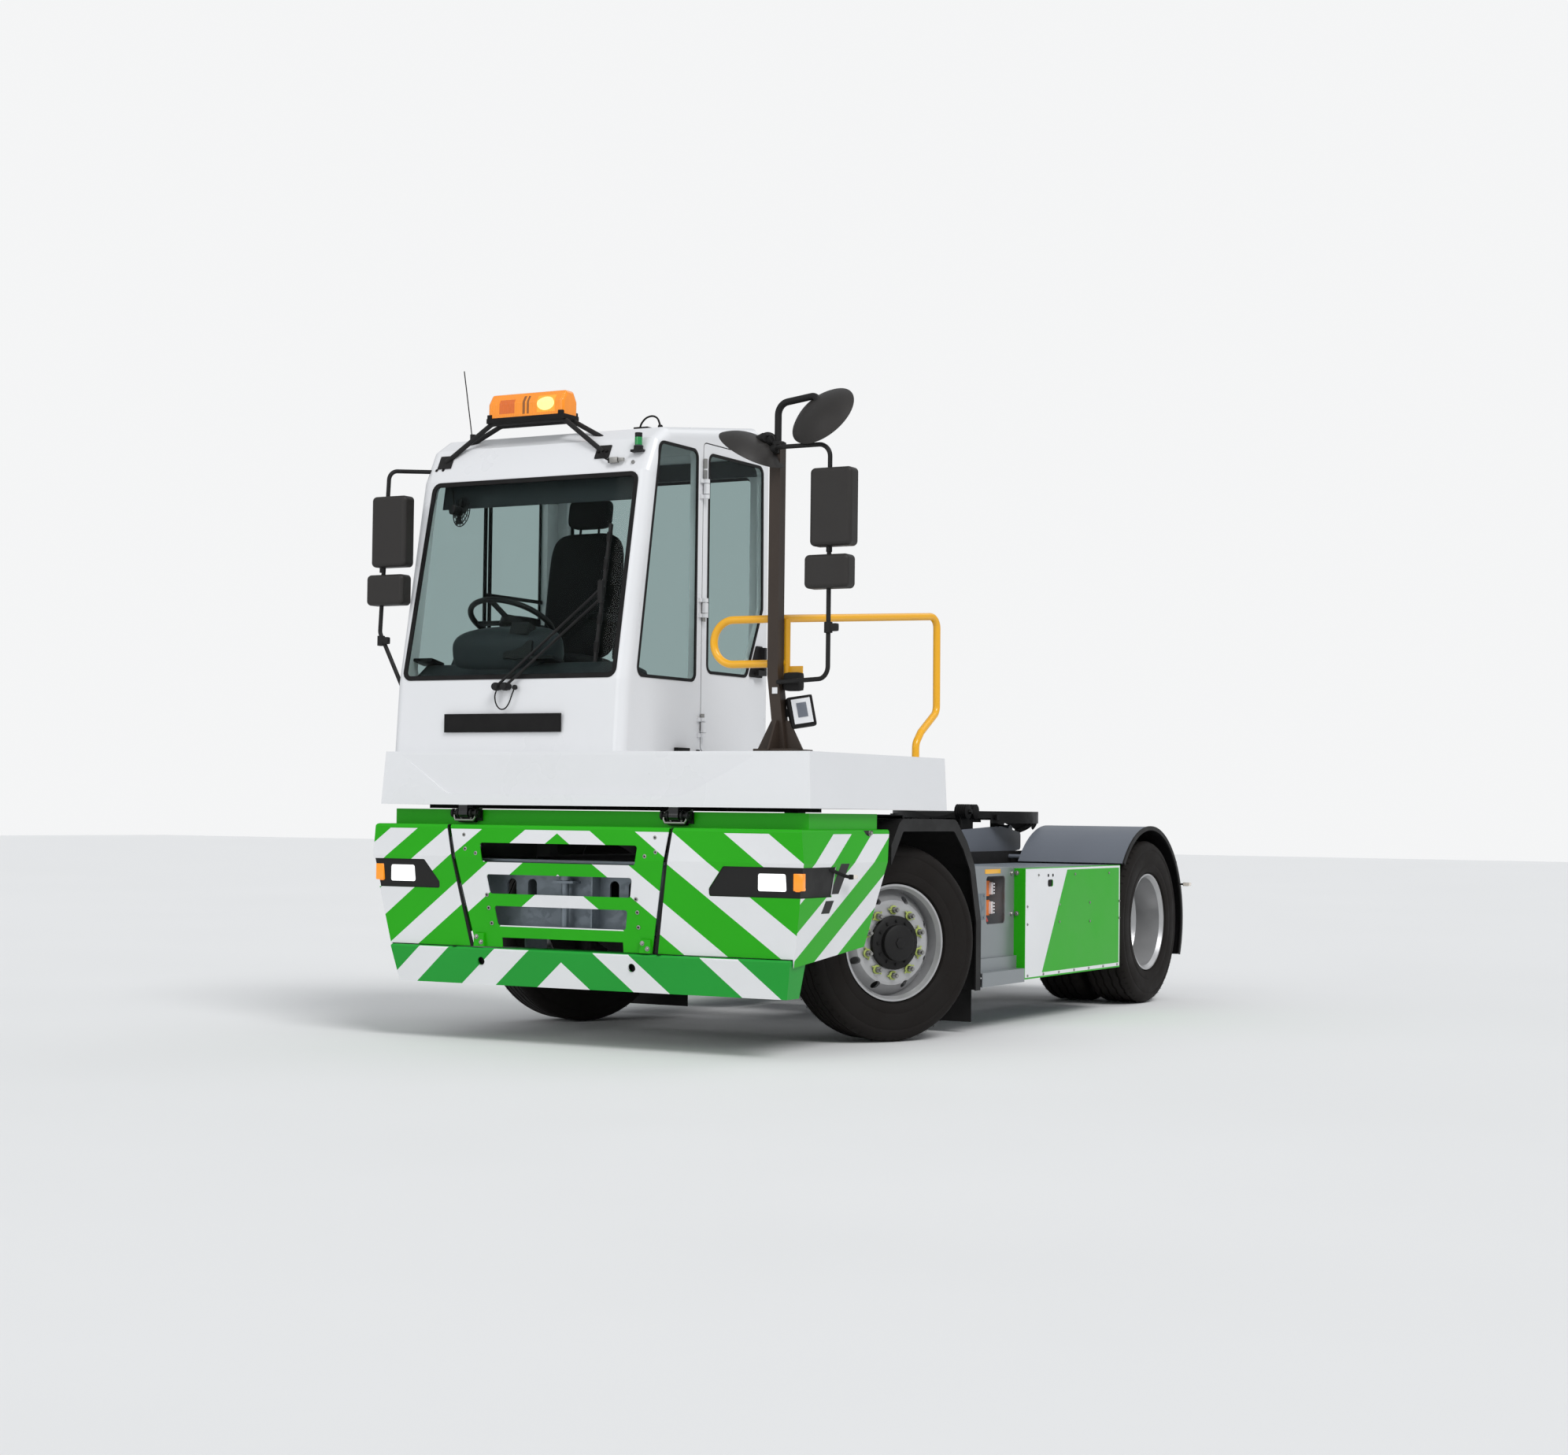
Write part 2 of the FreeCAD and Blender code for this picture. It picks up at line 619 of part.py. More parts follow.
def front_hub(middle, name):
    """Hub with its spindle bore, the brake drum and the nose cap."""
    face = f"{middle} + front_face"
    profile = [
        ("spindle_radius + pin_gap", "hub_start"),
        ("spindle_radius + 34", "hub_start"),
        ("spindle_radius + 34", f"{face} - disc_wall - 34"),
        ("drum_radius - 16", f"{face} - disc_wall - 34"),
        ("drum_radius - 16", "drum_start"),
        ("drum_radius", "drum_start"),
        ("drum_radius", f"{face} - disc_wall - 22"),
        ("hub_radius + 6", f"{face} - disc_wall"),
        ("hub_radius", f"{face} - disc_wall"),
        ("hub_radius", f"{face} + 22"),
        ("hub_radius - 12", f"{face} + 30"),
        ("cap_radius", f"{face} + 30"),
        ("cap_radius - 4", f"{face} + 62"),
        ("cap_radius - 22", f"{face} + 70"),
        ("0", f"{face} + 70"),
        ("0", "spindle_reach + move_gap"),
        ("spindle_radius + pin_gap", "spindle_reach + move_gap"),
    ]
    return turned(profile, name)


def stand(piece, side, x, y, z, turn="0"):
    """Carries a wheel or knuckle to its place; turn is about +Z for both sides."""
    half = "0" if side == LEFT else "180"
    piece.Placement = Placement(Vector(), Rotation(Vector(0, 0, 1), 1))
    for letter, text in zip("xyz", (x, f"({side}) * ({y})", z)):
        piece.setExpression(f".Placement.Base.{letter}", ex(text))
    piece.setExpression(".Placement.Rotation.Angle", ex(f"{half} + ({turn})"))
    return piece


for side, word in ((LEFT, "left"), (RIGHT, "right")):
    place = (side, AXLE_FRONT, "kingpin_side", "tyre_radius", "-steer_rest")
    publish(stand(tyre("kingpin_offset", "Tyre"), *place), f"front_{word}_tyre")
    face = "kingpin_offset + front_face"
    disc = cut(
        rim("kingpin_offset", 1, "front_face", "front_bow", "Rim"),
        *vents("0", "kingpin_offset + rim_width", "22.5"),
    )
    wheel = fuse(disc, *nuts(f"{face} - 4", f"{face} + 34"), front_hub("kingpin_offset", "Hub"),
                 name="FrontWheel")
    publish(stand(wheel, *place), f"front_{word}_wheel")

    # Twin wheels: the outer disc is dished inwards until it meets the inner one.
    outer = "rear_wheel_side"
    inner = "(rear_wheel_side - twin_pitch)"
    place = (side, AXLE_REAR, "0", "tyre_radius")
    publish(stand(group(tyre(outer, "Tyre"), tyre(inner, "Tyre")), *place), f"rear_{word}_tyres")
    join = "twin_pitch / 2"
    outer_rim = rim(outer, -1, f"{join}", "rear_bow", "Rim")
    inner_rim = rim(inner, 1, f"{join}", "rear_bow", "Rim")
    seam = f"{outer} - {join}"
    rims = cut(fuse(outer_rim, inner_rim), *vents(f"{seam} - 120", f"{seam} + 120", "22.5"))
    hub = turned(
        [
            ("spindle_radius + pin_gap", f"{seam} - 190"),
            ("spindle_radius + 40", f"{seam} - 190"),
            ("spindle_radius + 40", f"{seam} - disc_wall - 30"),
            ("drum_radius - 16", f"{seam} - disc_wall - 30"),
            ("drum_radius - 16", f"{seam} - disc_wall - 200"),
            ("drum_radius", f"{seam} - disc_wall - 200"),
            ("drum_radius", f"{seam} - disc_wall - 18"),
            ("hub_radius + 6", f"{seam} - disc_wall"),
            ("hub_radius", f"{seam} - disc_wall"),
            ("hub_radius", f"{seam} + 60"),
            ("hub_radius - 14", f"{seam} + 96"),
            ("cap_radius", f"{seam} + 96"),
            ("cap_radius - 8", f"{seam} + 150"),
            ("0", f"{seam} + 150"),
            ("0", f"{seam} - 20"),
            ("spindle_radius + pin_gap", f"{seam} - 20"),
        ],
        "RearHub",
    )
    rims = fuse(rims, *nuts(f"{seam} + disc_wall - 4", f"{seam} + disc_wall + 32"), hub, name="TwinWheel")
    publish(stand(rims, *place), f"rear_{word}_wheels")


# ---- front axle, knuckles and tie rod ------------------------------------------------------
CENTRE = "tyre_radius"
half_eye = "eye_height / 2"
beam_low = f"{CENTRE} - beam_drop - beam_height / 2"
beam_high = f"{CENTRE} - beam_drop + beam_height / 2"
neck = "(eye_height / 2 - 6)"
beam_side = [
    ("kingpin_side - 70", f"{CENTRE} - {neck}"),
    ("kingpin_side - 20", f"{CENTRE} - {neck}"),
    ("kingpin_side - 20", f"{CENTRE} + {neck}"),
    ("kingpin_side - 120", f"{CENTRE} + {neck}"),
    ("kingpin_side - 250", beam_high),
]
beam_outline = (
    beam_side
    + [(f"-({y})", z) for y, z in reversed(beam_side)]
    + [("-(kingpin_side - 235)", beam_low), ("kingpin_side - 235", beam_low)]
)
beam_x = (f"{AXLE_FRONT} - beam_width / 2", f"{AXLE_FRONT} + beam_width / 2")
beam = prism("yz", beam_outline, *beam_x, "Beam")
flutes = [
    box(x, ("-(kingpin_side - 290)", "kingpin_side - 290"), (f"{beam_low} + 18", f"{beam_high} - 18"))
    for x in ((beam_x[0], f"{AXLE_FRONT} - 12"), (f"{AXLE_FRONT} + 12", beam_x[1]))
]
eye_z = (f"{CENTRE} - {half_eye}", f"{CENTRE} + {half_eye}")
eyes = [rod("z", (AXLE_FRONT, f"{side} * kingpin_side"), eye_z, "kingpin_eye") for side in (1, -1)]
bores = [
    rod("z", (AXLE_FRONT, f"{side} * kingpin_side"), (f"{eye_z[0]} - 1", f"{eye_z[1]} + 1"),
        "kingpin_radius + pin_gap")
    for side in (1, -1)
]
publish(cut(fuse(cut(beam, *flutes), *eyes), *bores, name="FrontAxle"), "front_axle")

lug_low = ("-eye_height / 2 - knuckle_lug", "-eye_height / 2 - lug_gap")
lug_high = ("eye_height / 2 + lug_gap", "eye_height / 2 + knuckle_lug")
for side, word in ((LEFT, "left"), (RIGHT, "right")):
    web = "kingpin_eye + move_gap"
    lugs = [
        fuse(rod("z", ("0", "0"), span, "kingpin_eye"), box(("-44", "44"), ("0", f"{web} + 22"), span))
        for span in (lug_low, lug_high)
    ]
    web_plate = box(("-44", "44"), (web, f"{web} + 22"), (lug_low[0], lug_high[1]))
    flange = rod("y", ("0", "0"), (web, f"{web} + 20"), "knuckle_radius")
    spindle = rod("y", ("0", "0"), (web, "spindle_reach"), "spindle_radius")
    king = rod("z", ("0", "0"), (f"{lug_low[0]} - 8", f"{lug_high[1]} + 8"), "kingpin_radius")
    arm_x = across(-side, "0", "arm_length")
    arm_z = (lug_low[0], f"{lug_low[0]} + 26")
    arm = box(arm_x, ("-20", "20"), arm_z)
    boss = rod("z", (f"{-side} * arm_length", "0"), arm_z, "26")
    ball = rod("z", (f"{-side} * arm_length", "0"), ("(-tie_drop) - tie_radius - 6", arm_z[1]),
               "ball_radius")
    plate = cut(
        rod("y", ("0", "0"), ("drum_start - 10", "drum_start - move_gap / 2"), "drum_radius - 4"),
        rod("y", ("0", "0"), ("0", "drum_start"), "knuckle_radius - 2"),
    )
    strut = box(("-30", "30"), (web, "drum_start - 5"), ("knuckle_radius - 20", "drum_radius - 20"))
    knuckle = fuse(*lugs, web_plate, flange, spindle, king, arm, boss, ball, plate, strut, name="Knuckle")
    publish(stand(knuckle, side, AXLE_FRONT, "kingpin_side", CENTRE, "-steer_rest"), f"knuckle_{word}")

rod_x = f"{AXLE_FRONT} - arm_length * cos(steer_rest)"
rod_shift = "arm_length * sin(steer_rest)"
rod_z = f"{CENTRE} + (-tie_drop)"
rod_ends = [f"{rod_shift} + {side} * kingpin_side" for side in (1, -1)]
heads = [rod("z", (rod_x, y), (f"{rod_z} - tie_radius", f"{rod_z} + tie_radius"), "30") for y in rod_ends]
tie = fuse(rod("y", (rod_x, rod_z), (rod_ends[1], rod_ends[0]), "tie_radius - 3"), *heads)
head_z = (f"{rod_z} - tie_radius - 1", f"{rod_z} + tie_radius + 1")
tie = cut(
    tie,
    rod("z", (rod_x, rod_ends[0]), head_z, "ball_radius + pin_gap"),
    rod("z", (rod_x, rod_ends[1]), head_z, "ball_radius + 1.5"),
    name="TieRod",
)
publish(tie, "tie_rod")

# ---- rear axle ---------------------------------------------------------------------------------
seam = "(rear_wheel_side - twin_pitch / 2)"
tube_end = f"({seam} - 200)"
axle_tube = rod("y", (AXLE_REAR, CENTRE), (f"-{tube_end}", tube_end), "axle_tube_radius")
stub = rod("y", (AXLE_REAR, CENTRE), (f"-({seam} - 30)", f"{seam} - 30"), "spindle_radius")
drive = doc.addObject("Part::Sphere", "FinalDrive")
drive.setExpression("Radius", ex("diff_radius"))
drive.setExpression(".Placement.Base.x", ex(AXLE_REAR))
drive.setExpression(".Placement.Base.z", ex(CENTRE))
nose = doc.addObject("Part::Cone", "PinionNose")
nose.Placement = Placement(Vector(), Rotation(Vector(0, 1, 0), 90))
nose.setExpression("Radius1", ex("diff_radius - 60"))
nose.setExpression("Radius2", "75")
nose.setExpression("Height", ex("diff_radius + 150"))
nose.setExpression(".Placement.Base.x", ex(AXLE_REAR))
nose.setExpression(".Placement.Base.z", ex(CENTRE))
seats = [
    box((f"{AXLE_REAR} - 75", f"{AXLE_REAR} + 75"), across(side, "rail_side - rail_flange", "rail_side"),
        (f"{CENTRE} + 40", "rail_top - rail_height"))
    for side in (LEFT, RIGHT)
]
backplates = [
    cut(
        rod("y", (AXLE_REAR, CENTRE),
            across(side, f"{seam} - disc_wall - 216", f"{seam} - disc_wall - 206"),
            "drum_radius - 4"),
        rod("y", (AXLE_REAR, CENTRE), across(side, f"{seam} - 250", seam), "axle_tube_radius - 4"),
    )
    for side in (LEFT, RIGHT)
]
publish(fuse(axle_tube, stub, drive, nose, *seats, *backplates, name="RearAxle"), "rear_axle")

# ---- frame ---------------------------------------------------------------------------------------
rail_low = "rail_top - rail_height"
inner_flange = "rail_side - rail_flange"
web = "rail_side - rail_wall"
channel = [
    ("rail_side", rail_low), ("rail_side", "rail_top"), (inner_flange, "rail_top"),
    (inner_flange, "rail_top - rail_wall"), (web, "rail_top - rail_wall"),
    (web, f"{rail_low} + rail_wall"), (inner_flange, f"{rail_low} + rail_wall"),
    (inner_flange, rail_low),
]
rail_x = (f"-{back('beam_depth')}", back("rail_front"))
left_rail = prism("yz", channel, *rail_x, "Rail")
right_rail = mirrored(left_rail, "RailRight")
between = (f"-({web})", web)


def crossbar(setback, width, low, high):
    return box((back(f"{setback} + {width}"), back(setback)), between, (low, high))


crossbars = [
    crossbar("rail_front + 30", "90", f"{rail_low} + 20", "rail_top - 20"),
    crossbar("front_overhang + 560", "70", f"{rail_low} + 15", f"{rail_low} + 120"),
    crossbar("front_overhang + 1050", "70", f"{rail_low} + 15", f"{rail_low} + 120"),
    crossbar("front_overhang + wheelbase + 420", "70", f"{rail_low} + 15", f"{rail_low} + 120"),
]
# The rear beam is scalloped to the mudguards' round backs.
beam_seats = [
    rod("y", (AXLE_REAR, CENTRE), across(side, "guard_inner", "body_width / 2"),
        "guard_radius + guard_wall")
    for side in (LEFT, RIGHT)
]
rear_beam = cut(
    box((f"-{back('lamp_plinth')}", f"-{back('beam_depth')}"), ("-rear_beam_half", "rear_beam_half"),
        ("rail_top - 210", "rail_top - 60")),
    *beam_seats,
)
# Bearing blocks of the boom stand on the rails' inner faces.
boom_x = back("boom_pivot_back")
boom_blocks = [
    box((f"{boom_x} - 85", f"{boom_x} + 85"), across(side, "boom_half + move_gap", web),
        (f"{rail_low} + 10", "boom_pivot_height + 62"))
    for side in (LEFT, RIGHT)
]
boom_shaft = rod("y", (boom_x, "boom_pivot_height"), (f"-({web})", web), "boom_pin")
ram_x = back("ram_base_back")
ram_hangers = [
    box((f"{ram_x} - 40", f"{ram_x} + 60"), across(side, f"ram_side + ({y})", f"ram_side + ({y}) + 18"),
        ("ram_base_height - 45", f"{rail_low} + 30"))
    for side in (LEFT, RIGHT)
    for y in ("-ram_eye_half - 34", "ram_eye_half + 16")
]
ram_beam = box((ram_x, f"{ram_x} + 60"), between, (f"{rail_low} + 12", f"{rail_low} + 42"))
ram_shafts = [
    rod("y", (ram_x, "ram_base_height"),
        across(side, "ram_side - ram_eye_half - 34", "ram_side + ram_eye_half + 34"),
        "ram_pin")
    for side in (LEFT, RIGHT)
]
# The tower that carries the tilt hinges stands on the rails behind the nose.
tower_x = (back("rail_front + 75"), back("rail_front + 5"))
towers = [
    box(tower_x, across(side, "rail_side - 80", "rail_side"), ("rail_top", "tilt_height + 8"))
    for side in (LEFT, RIGHT)
]
hinge_beam_x = (back("cowl_setback + nose_wall + 75"), back("cowl_setback + nose_wall + seat_gap"))
hinge_ties = [
    box((tower_x[0], hinge_beam_x[1]), across(side, "rail_side - 80", "rail_side"),
        ("tilt_height - 60", "tilt_height + 8"))
    for side in (LEFT, RIGHT)
]
hinge_beam = box(hinge_beam_x, ("-grille_shift - tilt_spread - 70", "-grille_shift + tilt_spread + 70"),
                 ("tilt_height - 60", "tilt_height + 8"))
rests = [
    box((back("front_overhang + 115"), back("front_overhang + 35")),
        across(side, inner_flange, "rail_side"),
        ("rail_top", "deck_bottom + 40 - move_gap"))
    for side in (LEFT, RIGHT)
]
hangers = [
    box((f"{AXLE_FRONT} + ({x}) - 30", f"{AXLE_FRONT} + ({x}) + 30"),
        across(side, "rail_side - spring_width - 4", "rail_side - 4"),
        ("spring_eye_height + 20", f"{rail_low}"))
    for side in (LEFT, RIGHT)
    for x in ("spring_length / 2 - 20", "-spring_length / 2 + 20")
]
frame = fuse(
    left_rail, right_rail, *crossbars, rear_beam, *boom_blocks, boom_shaft, *ram_hangers, ram_beam,
    *ram_shafts, *towers, *hinge_ties, hinge_beam, *rests, *hangers, name="Frame",
)
publish(frame, "frame")



# Leaf springs: arched leaves, each shorter than the one above.
def leaf(side, level):
    """One arched leaf; level 0 is the longest, at the top."""
    x0 = S.overall_length / 2 - S.front_overhang
    half = S.spring_length / 2 - 10 - level * 150
    bottom = S.tyre_radius - S.beam_drop + S.beam_height / 2 + S.spring_pad
    low = bottom + (2 - level) * S.leaf_height
    rise = (S.spring_eye_height - bottom - 2 * S.leaf_height) * (half / (S.spring_length / 2)) ** 2
    def arc(z):
        return Part.Arc(Vector(x0 - half, 0, z + rise), Vector(x0, 0, z),
                        Vector(x0 + half, 0, z + rise)).toShape()
    lower, upper = arc(low), arc(low + S.leaf_height)
    ends = [
        Part.LineSegment(lower.Vertexes[n].Point, upper.Vertexes[n].Point).toShape() for n in (0, 1)
    ]
    face = Part.Face(Part.Wire(Part.__sortEdges__([lower, ends[1], upper, ends[0]])))
    solid = face.extrude(Vector(0, S.spring_width, 0))
    inner = S.rail_side - S.spring_width - 4
    solid.translate(Vector(0, inner if side == LEFT else -inner - S.spring_width, 0))
    return solid


packs = []
for side in (LEFT, RIGHT):
    leaves = [leaf(side, level) for level in range(3)]
    x0 = S.overall_length / 2 - S.front_overhang
    inner = S.rail_side - S.spring_width - 4
    pad_low = S.tyre_radius - S.beam_drop + S.beam_height / 2
    pad = Part.makeBox(150, S.spring_width + 12, S.spring_pad + 20)
    low_side = inner if side == LEFT else -inner - S.spring_width
    pad.translate(Vector(x0 - 75, low_side - 6, pad_low))
    shoes = []
    for end in (-1, 1):
        shoe = Part.makeBox(60, S.spring_width, 32)
        shoe.translate(Vector(x0 + end * (S.spring_length / 2 - 20) - 30, low_side,
                              S.spring_eye_height - 12))
        shoes.append(shoe)
    packs.append(leaves[0].fuse(leaves[1:] + [pad] + shoes))
publish(feature(Part.makeCompound(packs), "LeafSprings"), "leaf_springs")

motor = box((back("front_overhang + 1560"), back("front_overhang + 1140")), ("-210", "210"), ("400", "690"))
shaft = rod("x", ("0", CENTRE),
            (f"{AXLE_REAR} + diff_radius + 150 + seat_gap", back("front_overhang + 1560")), "45")
publish(fuse(motor, shaft, name="DriveMotor"), "drive_motor")


# ---- nose panels, grille, lamps and bumper bar -----------------------------------------------
def nose(inset, top, low="nose_bottom", bend=None):
    """The nose's outer form, drawn in by inset on its face and sides."""
    side_view = [
        ("0", low), (back(f"nose_rake + {inset}"), low), (back(inset), "nose_crease"),
        (back(inset), top), ("0", top),
    ]
    half_view = [
        (f"(nose_half_bottom - ({inset}))", low),
        (f"(nose_half_crease - ({inset}))", "nose_crease"),
        (f"(nose_half_top - ({inset}))", top),
    ]
    front_view = half_view + [(f"-{y}", z) for y, z in reversed(half_view)]
    return crossed(side_view, front_view, bend, "Nose")


def grille_zone(grow):
    """The leaning-sided middle of the face, wider by grow at each side."""
    rake = "(grille_half_top - grille_half_low) / (nose_top - grille_low)"
    low_half = f"(grille_half_low - ({rake}) * (grille_low - nose_bottom + 40))"
    corners = [
        (f"-grille_shift - {low_half} - {grow}", "nose_bottom - 40"),
        (f"-grille_shift + {low_half} + {grow}", "nose_bottom - 40"),
        (f"-grille_shift + grille_half_top + {grow}", "nose_top"),
        (f"-grille_shift + grille_half_top + {grow}", "nose_top + 20"),
        (f"-grille_shift - grille_half_top - {grow}", "nose_top + 20"),
        (f"-grille_shift - grille_half_top - {grow}", "nose_top"),
    ]
    return prism("yz", corners, back("nose_rake + 200"), back("-50"), "GrilleZone")


def lamp_zone(side, grow):
    """The opening of a headlamp: square outside, sloped at its inner end."""
    inner = "lamp_inner_left" if side == LEFT else "lamp_inner_right"
    points = [
        (f"{inner} - {grow}", f"lamp_low - {grow}"),
        ("nose_half_crease + 60", f"lamp_low - {grow}"),
        ("nose_half_crease + 60", f"lamp_high + {grow}"),
        (f"{inner} + 86 - {grow}", f"lamp_high + {grow}"),
        (f"{inner} - {grow}", f"lamp_low + 34"),
    ]
    if side == RIGHT:
        points = [(f"-({y})", z) for y, z in reversed(points)]
    return prism(
        "yz", points, back(f"lamp_wrap + {grow}"), back("-50"), "LampZone", "12",
        lambda edge: runs_along(edge, Vector(1, 0, 0)) and abs(edge.Vertexes[0].Y) < S.nose_half_crease,
    )


outer_nose = nose("0", "nose_top", bend="nose_bend")
inner_nose = nose("nose_wall", "nose_top - nose_wall", "nose_bottom - 1")
skin = cut(outer_nose, inner_nose, name="NoseSkin")
side_profile = [
    (back("side_rear_top"), "nose_top + 30"),
    (back("side_rear_top"), "nose_top"),
    (back("side_rear_low"), "side_low"),
    (back("nose_rake"), "nose_bottom + 12"),
    (back("-50"), "nose_bottom + 12"),
    (back("-50"), "nose_top + 30"),
]
skin = common(skin, prism("xz", side_profile, "-1400", "1400", "SideProfile"))
cowl_well = box((back("side_rear_top + 60"), back("cowl_setback - seat_gap")),
                ("-cowl_half - seat_gap", "cowl_half + seat_gap"),
                ("nose_top - 40", "nose_top + 40"))
bar_room = box((back("bar_setback + bar_rake + bar_depth + 10"), back("-50")),
               ("-bar_half_top - 2", "bar_half_top + 2"),
               ("nose_bottom - 60", "bar_top + 5"))
skin = cut(skin, cowl_well, bar_room)
lamp_cuts = [lamp_zone(side, "0") for side in (LEFT, RIGHT)]
corner_panels = cut(skin, grille_zone("panel_gap / 2"), *lamp_cuts, name="CornerPanels")
publish(corner_panels, "corner_panels")


def slot(number):
    half = f"(slot_half - {number} * slot_step)"
    top = f"(slot_top - {number} * slot_pitch)"
    low = f"({top} - slot_height)"
    points = [
        (f"-grille_shift - {half} + 16", low), (f"-grille_shift + {half} - 16", low),
        (f"-grille_shift + {half}", top), (f"-grille_shift - {half}", top),
    ]
    return prism("yz", points, back("nose_rake + 200"), back("-50"), "Slot", "slot_round")


slots = [slot(number) for number in range(3)]
foot_notch = box((back("nose_rake + 200"), back("-50")),
                 ("-grille_shift - slot_half + 3 * slot_step", "-grille_shift + slot_half - 3 * slot_step"),
                 ("nose_bottom - 60", "slot_top - 3 * slot_pitch"))
ear_face = "nose_rake * (nose_crease - bar_top - 40) / (nose_crease - nose_bottom)"
grille_ears = [
    box((back(f"{ear_face} + nose_wall + 4"), back(f"{ear_face} - 16")),
        (f"-grille_shift + ({y}) - 30", f"-grille_shift + ({y}) + 30"), ("bar_top + 6", "bar_top + 72"))
    for y in ("-grille_half_low + 40", "grille_half_low - 40")
]
grille_panel = common(skin, grille_zone("-panel_gap / 2"))
publish(cut(fuse(grille_panel, *grille_ears), *slots, foot_notch, name="GrillePanel"), "grille_panel")

cowl = cut(
    box((back("cowl_rear"), back("cowl_setback")), ("-cowl_half", "cowl_half"),
        ("nose_top - 30", "cowl_top")),
    box((back("cowl_rear + 10"), back("cowl_setback + nose_wall")),
        ("-cowl_half + nose_wall", "cowl_half - nose_wall"), ("nose_top - 40", "cowl_top + 10")),
    name="Cowl",
)
publish(cowl, "cowl")

housing_form = cut(nose("nose_wall + lamp_inset", "nose_top - nose_wall - 10"),
                   nose("nose_wall + lamp_inset + lamp_depth", "nose_top - nose_wall - 10",
                        "nose_bottom - 1"))
housings = [common(housing_form, lamp_zone(side, "10")) for side in (LEFT, RIGHT)]
lamp_mid = "(lamp_low + lamp_high) / 2"


def lamp_x(inset, depth):
    rake = f"nose_rake * (nose_crease - {lamp_mid}) / (nose_crease - nose_bottom)"
    face = f"{rake} + nose_wall + lamp_inset"
    return (back(f"{face} + {inset} + {depth}"), back(f"{face} + {inset}"))


def lens(side, near, width, height, x, name):
    points_y = across(side, near, f"{near} + {width}")
    return prism(
        "yz", rectangle(points_y, (f"{lamp_mid} - {height} / 2", f"{lamp_mid} + {height} / 2")), *x, name,
        "10"
    )


def lens_set(grow, x):
    return [
        piece
        for side in (LEFT, RIGHT)
        for piece in (
            lens(side, f"lamp_side - lamp_width / 2 - {grow}", f"lamp_width + 2 * {grow}",
                 f"(lamp_height + 2 * {grow})", x, "Headlamp"),
            lens(side, f"lamp_side + lamp_width / 2 + 44 - {grow}", f"signal_width + 2 * {grow}",
                 f"(lamp_height + 2 * {grow})", x, "Signal"),
        )
    ]


housings = [
    cut(housing, *lens_set("seat_gap", lamp_x("-60", "112"))[2 * n:2 * n + 2])
    for n, housing in enumerate(housings)
]
publish(group(*housings, name="LampHousings"), "lamp_housings")
lenses = lens_set("0", lamp_x("2", "48"))
publish(group(lenses[0], lenses[2], name="Headlamps"), "headlamps")
publish(group(lenses[1], lenses[3], name="Signals"), "signal_lamps")


def bar_form(inset, extra, low, high):
    rear = back(f"bar_setback + bar_rake + bar_depth + {extra}")
    side_view = [
        (rear, low), (back(f"bar_setback + bar_rake + {inset}"), low),
        (back(f"bar_setback + {inset}"), high), (rear, high),
    ]
    half_view = [(f"(bar_half_low - {inset})", low), (f"(bar_half_top - {inset})", high)]
    front_view = half_view + [(f"-{y}", z) for y, z in reversed(half_view)]
    return crossed(side_view, front_view, "10" if inset == "0" else None, "Bar")


bar = cut(bar_form("0", "0", "bar_bottom", "bar_top"),
          bar_form("bar_wall", "10", "bar_bottom + bar_wall", "bar_top - bar_wall"))
bar_holes = [
    rod("x", (f"-grille_shift + ({y})", "bar_top - 67"), (back("bar_setback + bar_rake + 60"), back("0")),
        "bar_hole")
    for y in ("-grille_half_low + 48", "grille_half_low - 120")
]
bar_rear = back("bar_setback + bar_rake + bar_depth")
bar_stays = [
    box(x, across(side, "rail_side", "rail_side + 12"), z)
    for side in (LEFT, RIGHT)
    for x, z in (
        ((back("rail_front + 110"), bar_rear), ("bar_bottom + bar_wall", "rail_top - 30")),
        ((bar_rear, back("bar_setback + bar_rake + bar_wall")),
         ("bar_bottom + bar_wall", "bar_top - bar_wall")),
    )
]
publish(cut(bar, *bar_holes, name="BumperBar"), "bumper_bar")

# ---- galvanised tow member -----------------------------------------------------------------------
tow_x = (back("tow_setback"), back("tow_setback - tow_plate"))
tow_y = ("-grille_shift - 540", "rail_side - rail_wall")
shelf_x = (tow_x[0], back("tow_setback - tow_plate - 72"))
upright = box(tow_x, tow_y, ("bar_top + 92", "rail_top - 20"))
shelves = [
    box(shelf_x, tow_y, (low, f"{low} + tow_plate")) for low in ("bar_top + 92",
                                                                 "rail_top - 20 - tow_plate")
]
ovals = [
    prism("yz", rectangle((f"-grille_shift + ({y}) - 27", f"-grille_shift + ({y}) + 27"), ("700", "822")),
          back("tow_setback + 5"), back("tow_setback - tow_plate - 5"), "Oval", "26")
    for y in ("-368", "-245", "241", "350")
]
pin_x = back("tow_setback - tow_plate - 46")
tow_pin = fuse(
    rod("z", (pin_x, "-grille_shift - 18"), ("bar_top + 70", "836"), "tow_pin_radius"),
    rod("z", (pin_x, "-grille_shift - 18"), ("822", "842"), "tow_pin_radius + 9"),
)
pin_tongue = box(shelf_x, ("-grille_shift - 78", "-grille_shift + 42"), ("806", "818"))
rib = box(shelf_x, ("-grille_shift + 150", "-grille_shift + 158"), ("bar_top + 92", "rail_top - 20"))
cheeks = [
    box(x, across(side, "rail_side - rail_wall - 14", "rail_side - rail_wall"), z)
    for side in (LEFT, RIGHT)
    for x, z in (
        ((back("rail_front"), tow_x[0]), ("bar_top + 92", "rail_top - 20")),
        ((back("rail_front + 30"), back("rail_front")),
         ("rail_top - rail_height + rail_wall", "rail_top - 20")),
    )
]
